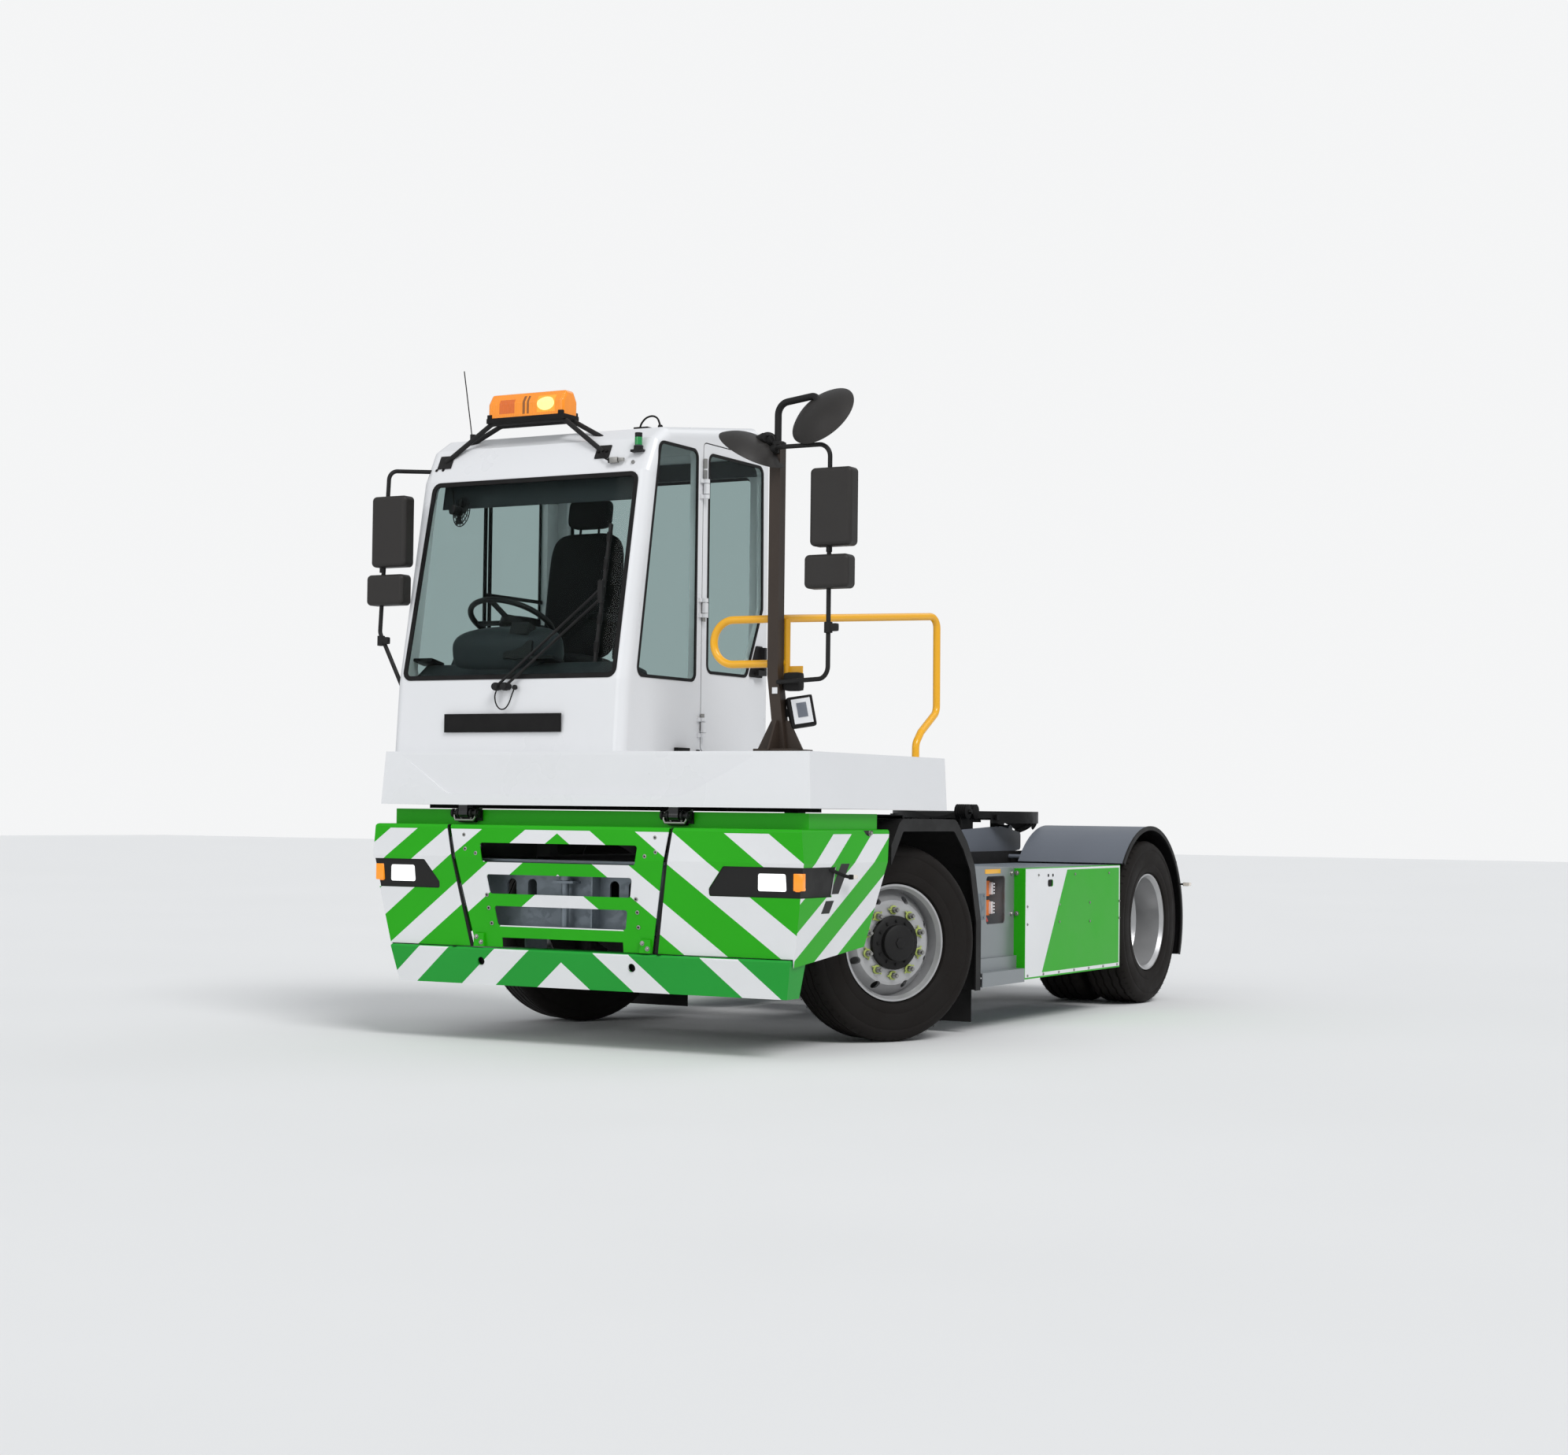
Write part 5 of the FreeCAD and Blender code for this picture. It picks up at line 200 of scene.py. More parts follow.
green = Surface("GreenPaint", GREEN, **green_looks)
white = Surface("WhitePaint", WHITE, **white_looks)
grey = Surface("GreyPaint", GREY, relief=0.0004, grain=120.0, **grey_looks)
frame_paint = Surface("ChassisPaint", (0.012, 0.0115, 0.012), 0.55, shine=0.25, mottle=0.25, scale=8.0,
    relief=0.0008, grain=70.0)
yellow = Surface("YellowPaint", (0.86, 0.42, 0.006), 0.32, coat=0.3, mottle=0.05, scale=5.0)
black = Surface("BlackPlastic", (0.010, 0.0095, 0.0095), 0.55, shine=0.28, mottle=0.2, scale=7.0,
    relief=0.0006, grain=300.0)
shell_grey = Surface("MirrorShell", (0.026, 0.0235, 0.022), 0.5, shine=0.3, mottle=0.12, scale=9.0,
    relief=0.0006, grain=340.0)
post_brown = Surface("PostPaint", (0.040, 0.028, 0.021), 0.45, shine=0.3, mottle=0.2, scale=5.0,
    relief=0.0004, grain=120.0)
rubber = Surface("Rubber", (0.0075, 0.007, 0.007), 0.62, shine=0.2, mottle=0.15, scale=12.0)
silver = Surface("WheelSilver", (0.47, 0.47, 0.475), 0.36, metal=0.55, mottle=0.14, scale=9.0,
    relief=0.0006, grain=90.0)
steel = Surface("BoltSteel", (0.33, 0.325, 0.31), 0.38, metal=0.85, mottle=0.15, scale=30.0)
chrome = Surface("Chrome", (0.72, 0.73, 0.75), 0.12, metal=1.0, mottle=0.03, scale=14.0)
spring = Surface("SpringSteel", (0.022, 0.028, 0.027), 0.55, metal=0.4, mottle=0.25, scale=14.0,
    relief=0.0008)
cast = Surface("CastMetal", (0.07, 0.07, 0.072), 0.6, metal=0.3, mottle=0.2, scale=10.0, relief=0.0015)
grease = Surface("GreasedIron", (0.008, 0.0078, 0.0075), 0.45, shine=0.35, metal=0.3, mottle=0.5, scale=16.0,
    relief=0.004, grain=26.0)
trim = Surface("CabTrim", (0.026, 0.030, 0.033), 0.62, shine=0.3, mottle=0.1, scale=9.0, relief=0.0006,
    grain=260.0)
fabric = Surface("ChairFabric", (0.014, 0.0135, 0.014), 0.85, shine=0.15, mottle=0.25, scale=60.0,
    relief=0.0015, grain=420.0)
orange = Surface("OrangePlastic", (0.72, 0.17, 0.02), 0.45, mottle=0.08, scale=20.0)
pink = Surface("RedPlastic", (0.55, 0.07, 0.06), 0.45, mottle=0.1, scale=20.0)
zinc = Surface("Galvanised", (0.195, 0.225, 0.255), 0.42, metal=0.5, mottle=0.18, scale=5.0)
zinc.link(zinc.span(0.3, 0.58, zinc.cells(34.0)), zinc.shader.inputs["Roughness"])
zinc.bump(zinc.noise(40.0, 4.0), 0.0006)
tyre = Surface("TyreRubber", (0.0105, 0.0085, 0.0075), 0.75, shine=0.2, mottle=0.28, relief=0.0012,
    grain=150.0)
mirror = Surface("MirrorGlass", (0.75, 0.77, 0.78), 0.04, metal=1.0, mottle=0.01)
marker = Surface("NutPointer", (0.42, 0.50, 0.13), 0.5, shine=0.3, mottle=0.08, scale=40.0)
amber = Surface("AmberLens", (0.95, 0.29, 0.008), 0.16, coat=0.5, mottle=0.06, scale=30.0)
amber.glow((1.0, 0.30, 0.01), 0.22)
red = Surface("RedLens", (0.42, 0.012, 0.01), 0.18, coat=0.5, mottle=0.08, scale=40.0)
emerald = Surface("GreenLens", (0.01, 0.26, 0.06), 0.16, coat=0.5, mottle=0.08, scale=40.0)
lamp = Surface("LampGlass", (0.85, 0.88, 0.9), 0.12, coat=0.4, scale=60.0)
lamp.glow((1.0, 1.0, 0.98), 0.9)
marker_glass = Surface("MarkerGlass", (0.80, 0.74, 0.66), 0.2, coat=0.4, mottle=0.2, scale=60.0)
glass = Surface("Glass", (0.74, 0.84, 0.82), 0.02, mottle=0.01)
put(glass.shader, {"Transmission Weight": 1.0, "IOR": 1.12})

MIDDLE = -0.125
STRIPE_FALL = 1.377
SEAM_FALL = -0.1848
STRIPE_TOP = 1.068


def chevron(surface, middle, fall):
    """A value that stays the same along both legs of a chevron."""
    return abs(surface.y - middle) + surface.z * fall


# Nose: chevrons on the front, leaning stripes on the sides, and painted shade: black in the slot openings and
# in the notches of the side panels, and along the seam lines beside the grille.
nose_paint = Surface("NosePaint", GREEN, **green_looks)
face = chevron(nose_paint, -0.143, STRIPE_FALL)
flank = nose_paint.x + nose_paint.z * 1.47
_, ny, nz = nose_paint.normal()
on_side = abs(ny) > 0.72
left_bands = face.bands((1.38, 1.62), (1.908, 2.151), (2.433, 2.675)) * (nose_paint.y > 0.0)
right_bands = face.bands((1.52, 1.70), (1.916, 2.123), (2.299, 2.468)) * (nose_paint.y < 0.0)
side_bands = flank.bands((2.863, 3.06), (3.28, 3.49), (3.707, 3.897)) * on_side
stripes = (left_bands + right_bands) * (on_side < 0.5) + side_bands
stripes = stripes * (nose_paint.z < STRIPE_TOP) * (abs(nz) < 0.6)
# painted shade: the two slot openings in each side panel are painted black in place of the shade inside them
slant = nose_paint.x + nose_paint.z * 0.47
upper_slot = slant.bands((2.611, 2.701)) * nose_paint.z.bands((0.782, 0.927))
lower_slot = slant.bands((2.632, 2.716)) * nose_paint.z.bands((0.690, 0.751))
slot_shade = (upper_slot + lower_slot) * on_side
# painted shade: the round notches at the top of the side panels are openings, painted black in place of the
# shade inside
notch_shade = ((nose_paint.x - 1.952).squared() + (nose_paint.z - 1.120).squared() < 0.0040) * on_side
# painted shadow: black along the corner panels' folded edges beside the grille, where shade falls into the
# seam between the parts
seam_shade = (chevron(nose_paint, MIDDLE, SEAM_FALL) < 0.4625) * (nose_paint.x > 2.55)
nose_paint.colour(GREEN, (stripes, WHITE), (slot_shade, BLACK), (notch_shade, BLACK), (seam_shade, BLACK))

grille_paint = Surface("GrillePaint", GREEN, **green_looks)
_, _, nz = grille_paint.normal()
stripes = chevron(grille_paint, MIDDLE, STRIPE_FALL).bands((0.0, 1.172), (1.45, 1.66), (1.92, 2.15))
stripes = stripes * grille_paint.z.bands((0.585, STRIPE_TOP)) * (abs(nz) < 0.6)
# painted shadow: black along the grille's folded edges beside the corner panels, where shade falls into the
# seam between the parts
seam_shade = (chevron(grille_paint, MIDDLE, SEAM_FALL) > 0.4435) * (grille_paint.z > 0.53)
grille_paint.colour(GREEN, (stripes, WHITE), (seam_shade, BLACK))

bar_paint = Surface("BarPaint", GREEN, **green_looks)
_, _, nz = bar_paint.normal()
face = chevron(bar_paint, MIDDLE, 1.2)
outer = face.bands((1.36, 1.57)) * (bar_paint.y > 0.0) + face.bands((1.24, 1.42)) * (bar_paint.y < 0.0)
stripes = (face.bands((0.0, 0.503), (0.754, 0.96)) + outer) * (abs(nz) < 0.6)
bar_paint.colour(SHADE_GREEN, (stripes, WHITE))

# Battery covers: white forward of a leaning edge, and white strips along the foot, top and rear.
cover_paint = Surface("CoverPaint", GREEN, **green_looks)
_, ny, _ = cover_paint.normal()
lean = cover_paint.x + cover_paint.z * 0.6415
pale = (lean > -0.028) + (cover_paint.z < 0.285) + (cover_paint.z > 0.858) + (cover_paint.x < -1.403)
outside = (abs(ny) > 0.8) * (abs(cover_paint.y) > 1.245)
in_frame = cover_paint.z.bands((0.266, 0.8695)) * cover_paint.x.bands((-1.4155, 0.030))
cover_paint.colour(GREEN, (pale.math("MINIMUM", 1.0) * outside * in_frame, WHITE))

# Step: rows of holes in its tread, painted dark as painted shade in place of the openings.
tread_plate = Surface("StepPlate", STEP_STEEL, 0.45, metal=0.55, mottle=0.15)
grid = tread_plate.node("TexVoronoi")
put(grid, {"Scale": 62.0, "Randomness": 0.0})
tread_plate.link(tread_plate.coords, grid.inputs["Vector"])
hole_shade = (Field(tread_plate.tree, grid.outputs["Distance"]) < 0.3) * tread_plate.z.bands((0.322, 0.392))
tread_plate.colour(STEP_STEEL, (hole_shade, (0.015, 0.015, 0.016)))

# Deck: a black underside.
deck_paint = Surface("DeckPaint", WHITE, **white_looks)
deck_paint.colour(WHITE, (deck_paint.z < 1.1875, BLACK))

# Rear mudguards: black towards the wheel.
guard_paint = Surface("GuardPaint", GREY, **grey_looks)
nx, _, nz = guard_paint.normal()
wheel_x, _, wheel_z = joints["left_rear_roll"]["pos_m"]
outward_facing = nx * (guard_paint.x - wheel_x) + nz * (guard_paint.z - wheel_z)
guard_paint.colour(GREY, (outward_facing < -0.05, BLACK))

# Light bar: a ribbed lens with a dark part, a core and a bright flash behind it.
bar_lens = Surface("LightBarLens", BAR_ORANGE, 0.2, coat=0.6, mottle=0.1, scale=26.0)
dark_part = bar_lens.y.bands((-0.80, -0.705)) * bar_lens.z.bands((3.222, 3.296))
core_part = bar_lens.y.bands((-0.655, -0.64), (-0.628, -0.615)) * bar_lens.z.bands((3.215, 3.31))
flash_part = bar_lens.y.bands((-0.565, -0.455)) * bar_lens.z.bands((3.218, 3.306))
heart = (bar_lens.y + 0.512).squared() * 150.0 + (bar_lens.z - 3.262).squared() * 330.0 < 0.42
heart = heart * flash_part
bar_lens.colour(BAR_ORANGE, (dark_part, (0.62, 0.09, 0.003)), (core_part, (0.12, 0.03, 0.004)),
    (flash_part, (0.97, 0.42, 0.02)), (heart, (1.0, 0.86, 0.42)))
bar_lens.glow((1.0, 0.36, 0.02))
bar_lens.link((heart * 0.9 + 0.16).socket, bar_lens.shader.inputs["Emission Strength"])
bar_lens.bump((bar_lens.y * 700.0).math("SINE"), 0.0012)


def paint(material, *names):
    """Gives the CAD nodes a material."""
    for name in names:
        node = nodes[name]
        if not node.data.materials:
            node.data.materials.append(material.material)
        for slot in node.material_slots:
            slot.material = material.material


paint(nose_paint, "corner_panels")
paint(green, "cowl")
paint(grille_paint, "grille_panel")
paint(bar_paint, "bumper_bar")
paint(cover_paint, "battery_covers")
paint(deck_paint, "deck")
paint(white, "cab_front", "cab_roof", "cab_rear", "cab_right_side", "cab_left_side", "door")
paint(guard_paint, "rear_mudguards")
paint(grey, "boom", "ram_barrels")
paint(frame_paint, "front_axle", "rear_axle", "frame", "tilt_hinges", "knuckle_left", "knuckle_right",
    "tie_rod")
paint(yellow, "handrail")
paint(black, "lamp_housings", "front_mudguards", "mudguard_edges", "steering_wheel", "beacon_frame",
    "roof_fittings", "wipers", "mirror_arms", "door_handle")
paint(shell_grey, "mirror_shells")
paint(post_brown, "mirror_post")
paint(silver, "front_left_wheel", "front_right_wheel", "rear_left_wheels", "rear_right_wheels")
paint(zinc, "battery_boxes", "tow_member")
paint(tread_plate, "step_frames")
paint(spring, "leaf_springs")
paint(cast, "drive_motor")
paint(grease, "fifth_wheel")
paint(chrome, "ram_rods")
paint(trim, "cab_floor_plate", "dashboard")
paint(amber, "signal_lamps")
paint(bar_lens, "light_bar")
paint(red, "rear_lamps")
paint(lamp, "headlamps")
paint(glass, "cab_glass", "door_glass")
paint(orange, "power_plugs")


# ---- mesh pieces ----
AHEAD, UP = Vector((1, 0, 0)), Vector((0, 0, 1))


def place(name, mesh, material):
    """A finished bmesh as an object of the scene."""
    data = bpy.data.meshes.new(name)
    mesh.to_mesh(data)
    mesh.free()
    data.materials.append(material.material)
    piece = bpy.data.objects.new(name, data)
    scene.collection.objects.link(piece)
    return piece


def add(name, mesh, material, body="chassis"):
    """A piece that rides on a body, in its material."""
    bmesh.ops.recalc_face_normals(mesh, faces=mesh.faces)
    piece = place(name, mesh, material)
    piece.data.shade_smooth()
    piece.data.set_sharp_from_angle(angle=radians(32))
    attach(piece, body)
    return piece


def slab(mesh, low, high, turn=None, about=None, edge=0.0):
    """A box between two corners, its edges rounded, turned about a point."""
    corners = list(zip(low, high))
    low, high = Vector([min(pair) for pair in corners]), Vector([max(pair) for pair in corners])
    middle = (low + high) / 2
    part = bmesh.new()
    bmesh.ops.create_cube(part, size=1.0)
    stretch = Matrix.Diagonal((*(high - low), 1.0))
    bmesh.ops.transform(part, matrix=Matrix.Translation(middle) @ stretch, verts=part.verts)
    if edge:
        bmesh.ops.bevel(part, geom=part.edges[:], offset=edge, segments=2, affect="EDGES", profile=0.7)
    if turn is not None:
        bmesh.ops.rotate(part, verts=part.verts, cent=about or middle, matrix=turn)
    merge(mesh, part)


def merge(mesh, part):
    """Adds a part to a mesh and frees it."""
    data = bpy.data.meshes.new("Part")
    part.to_mesh(data)
    part.free()
    mesh.from_mesh(data)
    bpy.data.meshes.remove(data)


def facing(centre, direction):
    """A matrix that puts the origin on the centre and the Z axis along the direction."""
    turn = Vector(direction).normalized().to_track_quat("Z", "Y").to_matrix().to_4x4()
    return Matrix.Translation(Vector(centre)) @ turn


def round_at(radius, turn, height=0.0):
    """A point beside the Z axis, by its radius and angle."""
    return Vector((radius * cos(turn), radius * sin(turn), height))


def turned(mesh, centre, direction, profile, steps=24, wave=None):
    """A lathe form: profile holds (radius, height) pairs along the direction."""
    matrix = facing(centre, direction)
    rings = []
    for number, (radius, height) in enumerate(profile):
        ring = []
        for step in range(steps):
            turn = 2 * pi * step / steps
            shift = wave(number, step) if wave else 0.0
            ring.append(mesh.verts.new(matrix @ round_at(radius, turn, height + shift)))
        rings.append(ring)
    for a, b in zip(rings, rings[1:]):
        for step in range(steps):
            following = (step + 1) % steps
            mesh.faces.new((a[step], a[following], b[following], b[step]))
    return rings


def disc(mesh, centre, direction, radius, height, steps):
    """A closed cylinder with sharp edges."""
    turned(mesh, centre, direction, [(0.0, 0.0), (radius, 0.0), (radius, height), (0.0, height)], steps)


def knob(mesh, centre, direction, radius, height, steps=12):
    """A closed short cylinder with a soft edge."""
    rim = radius * 0.82
    rings = turned(mesh, centre, direction, [(radius, 0.0), (radius, height * 0.75), (rim, height)], steps)
    mesh.faces.new(list(reversed(rings[0])))
    mesh.faces.new(rings[-1])


def bolt(mesh, centre, direction, radius=0.009, height=0.008):
    """A washer and a hexagon head."""
    centre, direction = Vector(centre), Vector(direction).normalized()
    knob(mesh, centre, direction, radius * 1.35, height * 0.25, 16)
    knob(mesh, centre + direction * height * 0.25, direction, radius, height, 6)


def wire(mesh, points, radius, steps=8):
    """A round bar through the points."""
    points = [Vector(point) for point in points]
    rings, side = [], None
    for index, point in enumerate(points):
        ahead = points[min(index + 1, len(points) - 1)] - points[max(index - 1, 0)]
        ahead.normalize()
        if side is None:
            side = ahead.orthogonal().normalized()
        side = (side - ahead * side.dot(ahead)).normalized()
        other = ahead.cross(side)
        ring = []
        for k in range(steps):
            across = round_at(radius, 2 * pi * k / steps)
            ring.append(mesh.verts.new(point + side * across.x + other * across.y))
        rings.append(ring)
    for a, b in zip(rings, rings[1:]):
        for k in range(steps):
            mesh.faces.new((a[k], a[(k + 1) % steps], b[(k + 1) % steps], b[k]))
    mesh.faces.new(list(reversed(rings[0])))
    mesh.faces.new(rings[-1])


def smooth(points, steps=8):
    """A smooth run through the points."""
    points = [Vector(point) for point in points]
    padded = [points[0] * 2 - points[1]] + points + [points[-1] * 2 - points[-2]]
    run = []
    for a, b, c, d in zip(padded, padded[1:], padded[2:], padded[3:]):
        for step in range(steps):
            t = step / steps
            run.append((b * 2 + (c - a) * t + (a * 2 - b * 5 + c * 4 - d) * t ** 2
                + (b * 3 - a - c * 3 + d) * t ** 3) / 2)
    return run + [points[-1]]


def cable(name, points, radius):
    """A short cable of the cab, both ends in the cab; its length is worked out but not used."""
    path, mesh = smooth(points), bmesh.new()
    wire(mesh, path, radius, 10)
    piece = add(name, mesh, rubber, "cab")
    length = sum((b - a).length for a, b in zip(path, path[1:]))


def rounded_outline(corners, radius, steps=5):
    """A closed outline in 3-D with its corners rounded."""
    corners = [Vector(corner) for corner in corners]
    result = []
    for index, corner in enumerate(corners):
        before = (corners[index - 1] - corner).normalized()
        after = (corners[(index + 1) % len(corners)] - corner).normalized()
        half = before.angle(after) / 2
        reach = radius * cos(half) / sin(half)
        centre = corner + (before + after).normalized() * radius / sin(half)
        a, b = corner + before * reach - centre, corner + after * reach - centre
        for step in range(steps + 1):
            result.append(centre + a.lerp(b, step / steps).normalized() * radius)
    return result


def band(mesh, outline, inward, outward, normal, low, high):
    """A flat frame along a closed outline, reaching in and out in its plane."""
    normal = Vector(normal).normalized()
    middle = sum(outline, Vector()) / len(outline)
    loops = []
    for offset, height in ((-inward, low), (-inward, high), (outward, high), (outward, low)):
        loop = []
        for index, point in enumerate(outline):
            along = (outline[(index + 1) % len(outline)] - outline[index - 1]).normalized()
            out = along.cross(normal)
            if out.dot(point - middle) < 0:
                out = -out
            loop.append(mesh.verts.new(point + out * offset + normal * height))
        loops.append(loop)
    count = len(outline)
    for a, b in zip(loops, loops[1:] + loops[:1]):
        for index in range(count):
            mesh.faces.new((a[index], a[(index + 1) % count], b[(index + 1) % count], b[index]))


# ---- tyres with tread ----
TYRE_R, TYRE_W, BEAD_R = 0.508, 0.290, 0.286
GROOVES = (-0.078, -0.027, 0.027, 0.078)
GROOVE_DEPTH = 0.013


def tyre_profile():
    """The radius, the y and the waviness of each ring from bead to bead."""
    half = TYRE_W / 2
    wall = [(BEAD_R, 0.036), (0.302, 0.036), (0.312, 0.010), (0.330, 0.004), (0.352, 0.0015), (0.362, 0.0045),
        (0.372, 0.0015), (0.405, 0.0005), (0.438, 0.0015), (0.446, 0.005), (0.454, 0.002), (0.470, 0.004),
        (0.488, 0.014), (0.498, 0.026), (0.504, 0.040), (0.5055, half - 0.1)]
    tread = []
    for middle in GROOVES:
        crown = TYRE_R - 0.0015 - 0.0035 * abs(middle) / GROOVES[-1]
        tread += [(crown, middle - 0.0075, True), (crown - GROOVE_DEPTH, middle - 0.004, True),
            (crown - GROOVE_DEPTH, middle + 0.004, True), (crown, middle + 0.0075, True)]
    near = [(radius, inset - half, False) for radius, inset in wall]
    far = [(radius, half - inset, False) for radius, inset in reversed(wall)]
    return near + tread + far


PROFILE = tyre_profile()


def tyre_piece(name, node, body, centre, axle, offsets):
    """One tyre, or two on one axle, in the place of a CAD tyre."""
    mesh = bmesh.new()

    def wave(number, step):
        return (0.0035 if (step // 2) % 2 else -0.0035) if PROFILE[number][2] else 0.0

    for offset in offsets:
        middle = Vector(centre) + Vector(axle).normalized() * offset
        rings = turned(mesh, middle, axle, [ring[:2] for ring in PROFILE], 120, wave)
        for step in range(120):
            following = (step + 1) % 120
            mesh.faces.new((rings[-1][step], rings[-1][following], rings[0][following], rings[0][step]))
        # short cuts across both shoulders
        matrix = facing(middle, axle)
        for side in (-1, 1):
            for step in range(60):
                turn = Matrix.Rotation(2 * pi * step / 60, 4, "Z")
                for reach, inset in ((0.5045, 0.122), (0.4995, 0.1305)):
                    inner, outer = reach - 0.001, reach + 0.0012
                    corners = [(inner, -0.0022, inset), (inner, 0.0022, inset),
                        (outer, 0.0022, inset - 0.014), (outer, -0.0022, inset - 0.014)]
                    points = [matrix @ turn @ Vector((x, y, side * z)) for x, y, z in corners]
                    mesh.faces.new([mesh.verts.new(point) for point in points])
    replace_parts(add(name, mesh, tyre, body), node)


# ---- wheel nuts and hubs ----
STUD_CIRCLE = 0.1675
STUD_TURNS = [radians(18 + 36 * number) for number in range(10)]
STEER_REACH = 0.125
TWIN_REACH, TWIN_PITCH = 1.068, 0.330
# each hub's outline as (radius, height) pairs
FRONT_HUB = [
    (0.1385, 0.001), (0.1385, 0.024), (0.126, 0.032), (0.100, 0.033), (0.0935, 0.036), (0.0925, 0.064),
    (0.080, 0.0715), (0.0, 0.072),
]
REAR_HUB = [
    (0.1385, 0.015), (0.1385, 0.062), (0.1245, 0.097), (0.0925, 0.098), (0.085, 0.1505), (0.0, 0.1515),
]


def wheel_nut(mesh, spot, outward, length):
    """A washer, a nut and the end of its stud."""
    knob(mesh, spot, outward, 0.0215, 0.006, 20)
    knob(mesh, spot + outward * 0.006, outward, 0.0175, length, 6)
    knob(mesh, spot + outward * (length + 0.004), outward, 0.010, 0.046 - length, 12)


def cap_bolts(mesh, matrix, outward, radius, height):
    """The bolts round a hub's cap."""
    for number in range(12):
        bolt(mesh, matrix @ round_at(radius, 2 * pi * number / 12, height), outward, 0.007, 0.007)


for side, word in ((1, "left"), (-1, "right")):
    front, rear = f"{word}_front_wheel", f"{word}_twin_wheels"
    roll = joints[f"{word}_front_roll"]
    kingpin, outward = Vector(roll["pos_m"]), Vector(roll["axis"]) * side
    tyre_piece(f"Tread_front_{word}", f"front_{word}_tyre", front, kingpin, outward, (STEER_REACH,))
    tyre_piece(f"Tread_rear_{word}", f"rear_{word}_tyres", rear, (wheel_x, 0, wheel_z), (0, side, 0),
        (TWIN_REACH, TWIN_REACH - TWIN_PITCH))

    # front: nuts with their pointers, and the black hub with its cap bolts
    rim_face = kingpin + outward * (STEER_REACH + 0.104)
    matrix = facing(rim_face, outward)
    nuts, pointers, hub = bmesh.new(), bmesh.new(), bmesh.new()
    for turn in STUD_TURNS:
        spot = matrix @ round_at(STUD_CIRCLE, turn)
        wheel_nut(nuts, spot, outward, 0.030)
        for lean in (-0.55, 0.55):
            inner = round_at(STUD_CIRCLE, turn, 0.012) + round_at(0.012, turn + lean * 4)
            tip = round_at(0.176, turn + lean * 0.35, 0.008)
            wire(pointers, [matrix @ inner, matrix @ tip], 0.0042, 6)
        knob(pointers, spot + outward * 0.004, outward, 0.0235, 0.009, 20)
    turned(hub, rim_face, outward, FRONT_HUB, 40)
    cap_bolts(hub, matrix, outward, 0.112, 0.0325)
    knob(hub, rim_face + outward * 0.0715, outward, 0.028, 0.008, 6)
    add(f"Nuts_front_{word}", nuts, steel, front)
    add(f"Pointers_front_{word}", pointers, marker, front)
    add(f"Hub_front_{word}", hub, black, front)

    # rear: nuts and hub on the seam between the twin wheels
    seam = Vector((wheel_x, side * (TWIN_REACH - TWIN_PITCH / 2), wheel_z))
    outward = Vector((0, side, 0))
    matrix = facing(seam, outward)
    nuts, hub = bmesh.new(), bmesh.new()
    for turn in STUD_TURNS:
        wheel_nut(nuts, matrix @ round_at(STUD_CIRCLE, turn, 0.014), outward, 0.028)
    turned(hub, seam, outward, REAR_HUB, 40)
    cap_bolts(hub, matrix, outward, 0.109, 0.0975)
    add(f"Nuts_rear_{word}", nuts, steel, rear)
    add(f"Hub_rear_{word}", hub, black, rear)

# ---- window rubbers ----
NOSE = 2.645
LEAN = (355 - 157) / (2880 - 1820)


def at(setback, y, z):
    """A point by its distance behind the nose, its y and its z, in millimetres."""
    return Vector((NOSE - setback / 1000, y / 1000, z / 1000))


def screen_at(y, z, off=0.0):
    """A point on the leaning windscreen, or off it."""
    return at(157 + LEAN * (z - 1820) - off, y, z)


def surround(mesh, corners, inward, normal, radius=0.045, outward=0.003, low=-0.004, high=0.003):
    """A rubber round a window with rounded corners."""
    band(mesh, rounded_outline(corners, radius), inward, outward, normal, low, high)


seals = bmesh.new()
surround(seals, [screen_at(-1199, 1828), screen_at(98, 1828), screen_at(98, 2868), screen_at(-1165, 2868)],
    0.021, (1, 0, LEAN), high=0.0035)
surround(seals, [at(255, 160, 1836), at(455, 160, 3035), at(830, 160, 3035), at(830, 160, 1836)],
    0.013, (0, 1, 0))
surround(seals, [at(277, -1247, 1850), at(465, -1247, 3015), at(1470, -1247, 3015), at(1470, -1247, 1850)],
    0.016, (0, -1, 0))
surround(seals, [at(1620, -1137, 1850), at(1620, 50, 1850), at(1620, 50, 2995), at(1620, -1137, 2995)],
    0.016, (-1, 0, 0))
add("WindowRubbers", seals, rubber, "cab")
seals = bmesh.new()
surround(seals, [at(940, 160, 1886), at(940, 160, 3032), at(1520, 160, 3032), at(1532, 160, 2260),
    at(1362, 160, 1886)], 0.013, (0, 1, 0))
surround(seals, [at(890, 160, 1482), at(890, 160, 3078), at(1580, 160, 3078), at(1580, 160, 1482)],
    0.0005, (0, 1, 0), radius=0.026, outward=0.004, low=-0.012, high=-0.002)
add("DoorRubbers", seals, rubber, "cab_door")

# ---- inside the cab: sliding pane, sun visor, lining, fan ----
SCREEN_TURN = Matrix.Rotation(-0.1852, 3, "Y")
inner = bmesh.new()
for setback in (905, 950):
    slab(inner, at(setback + 22, -1238, 1880), at(setback, -1226, 3005), edge=0.002)
slab(inner, at(1470, -1238, 2325), at(930, -1228, 2345), edge=0.002)
add("SlidingPaneFrame", inner, rubber, "cab")
inner = bmesh.new()
slab(inner, at(440, -1150, 2735), at(432, 60, 2862), SCREEN_TURN, at(436, -545, 2862), 0.004)
slab(inner, at(1560, -1196, 2900), at(480, -1190, 3040), edge=0.003)
slab(inner, at(1572, -1190, 1620), at(1560, 110, 1845), edge=0.003)
slab(inner, at(1572, -1190, 2990), at(1558, 110, 3085), edge=0.003)
add("CabLining", inner, trim, "cab")
fan = bmesh.new()
FAN_R = 0.078
hub_at = Vector((2.262, -1.020, 2.722))
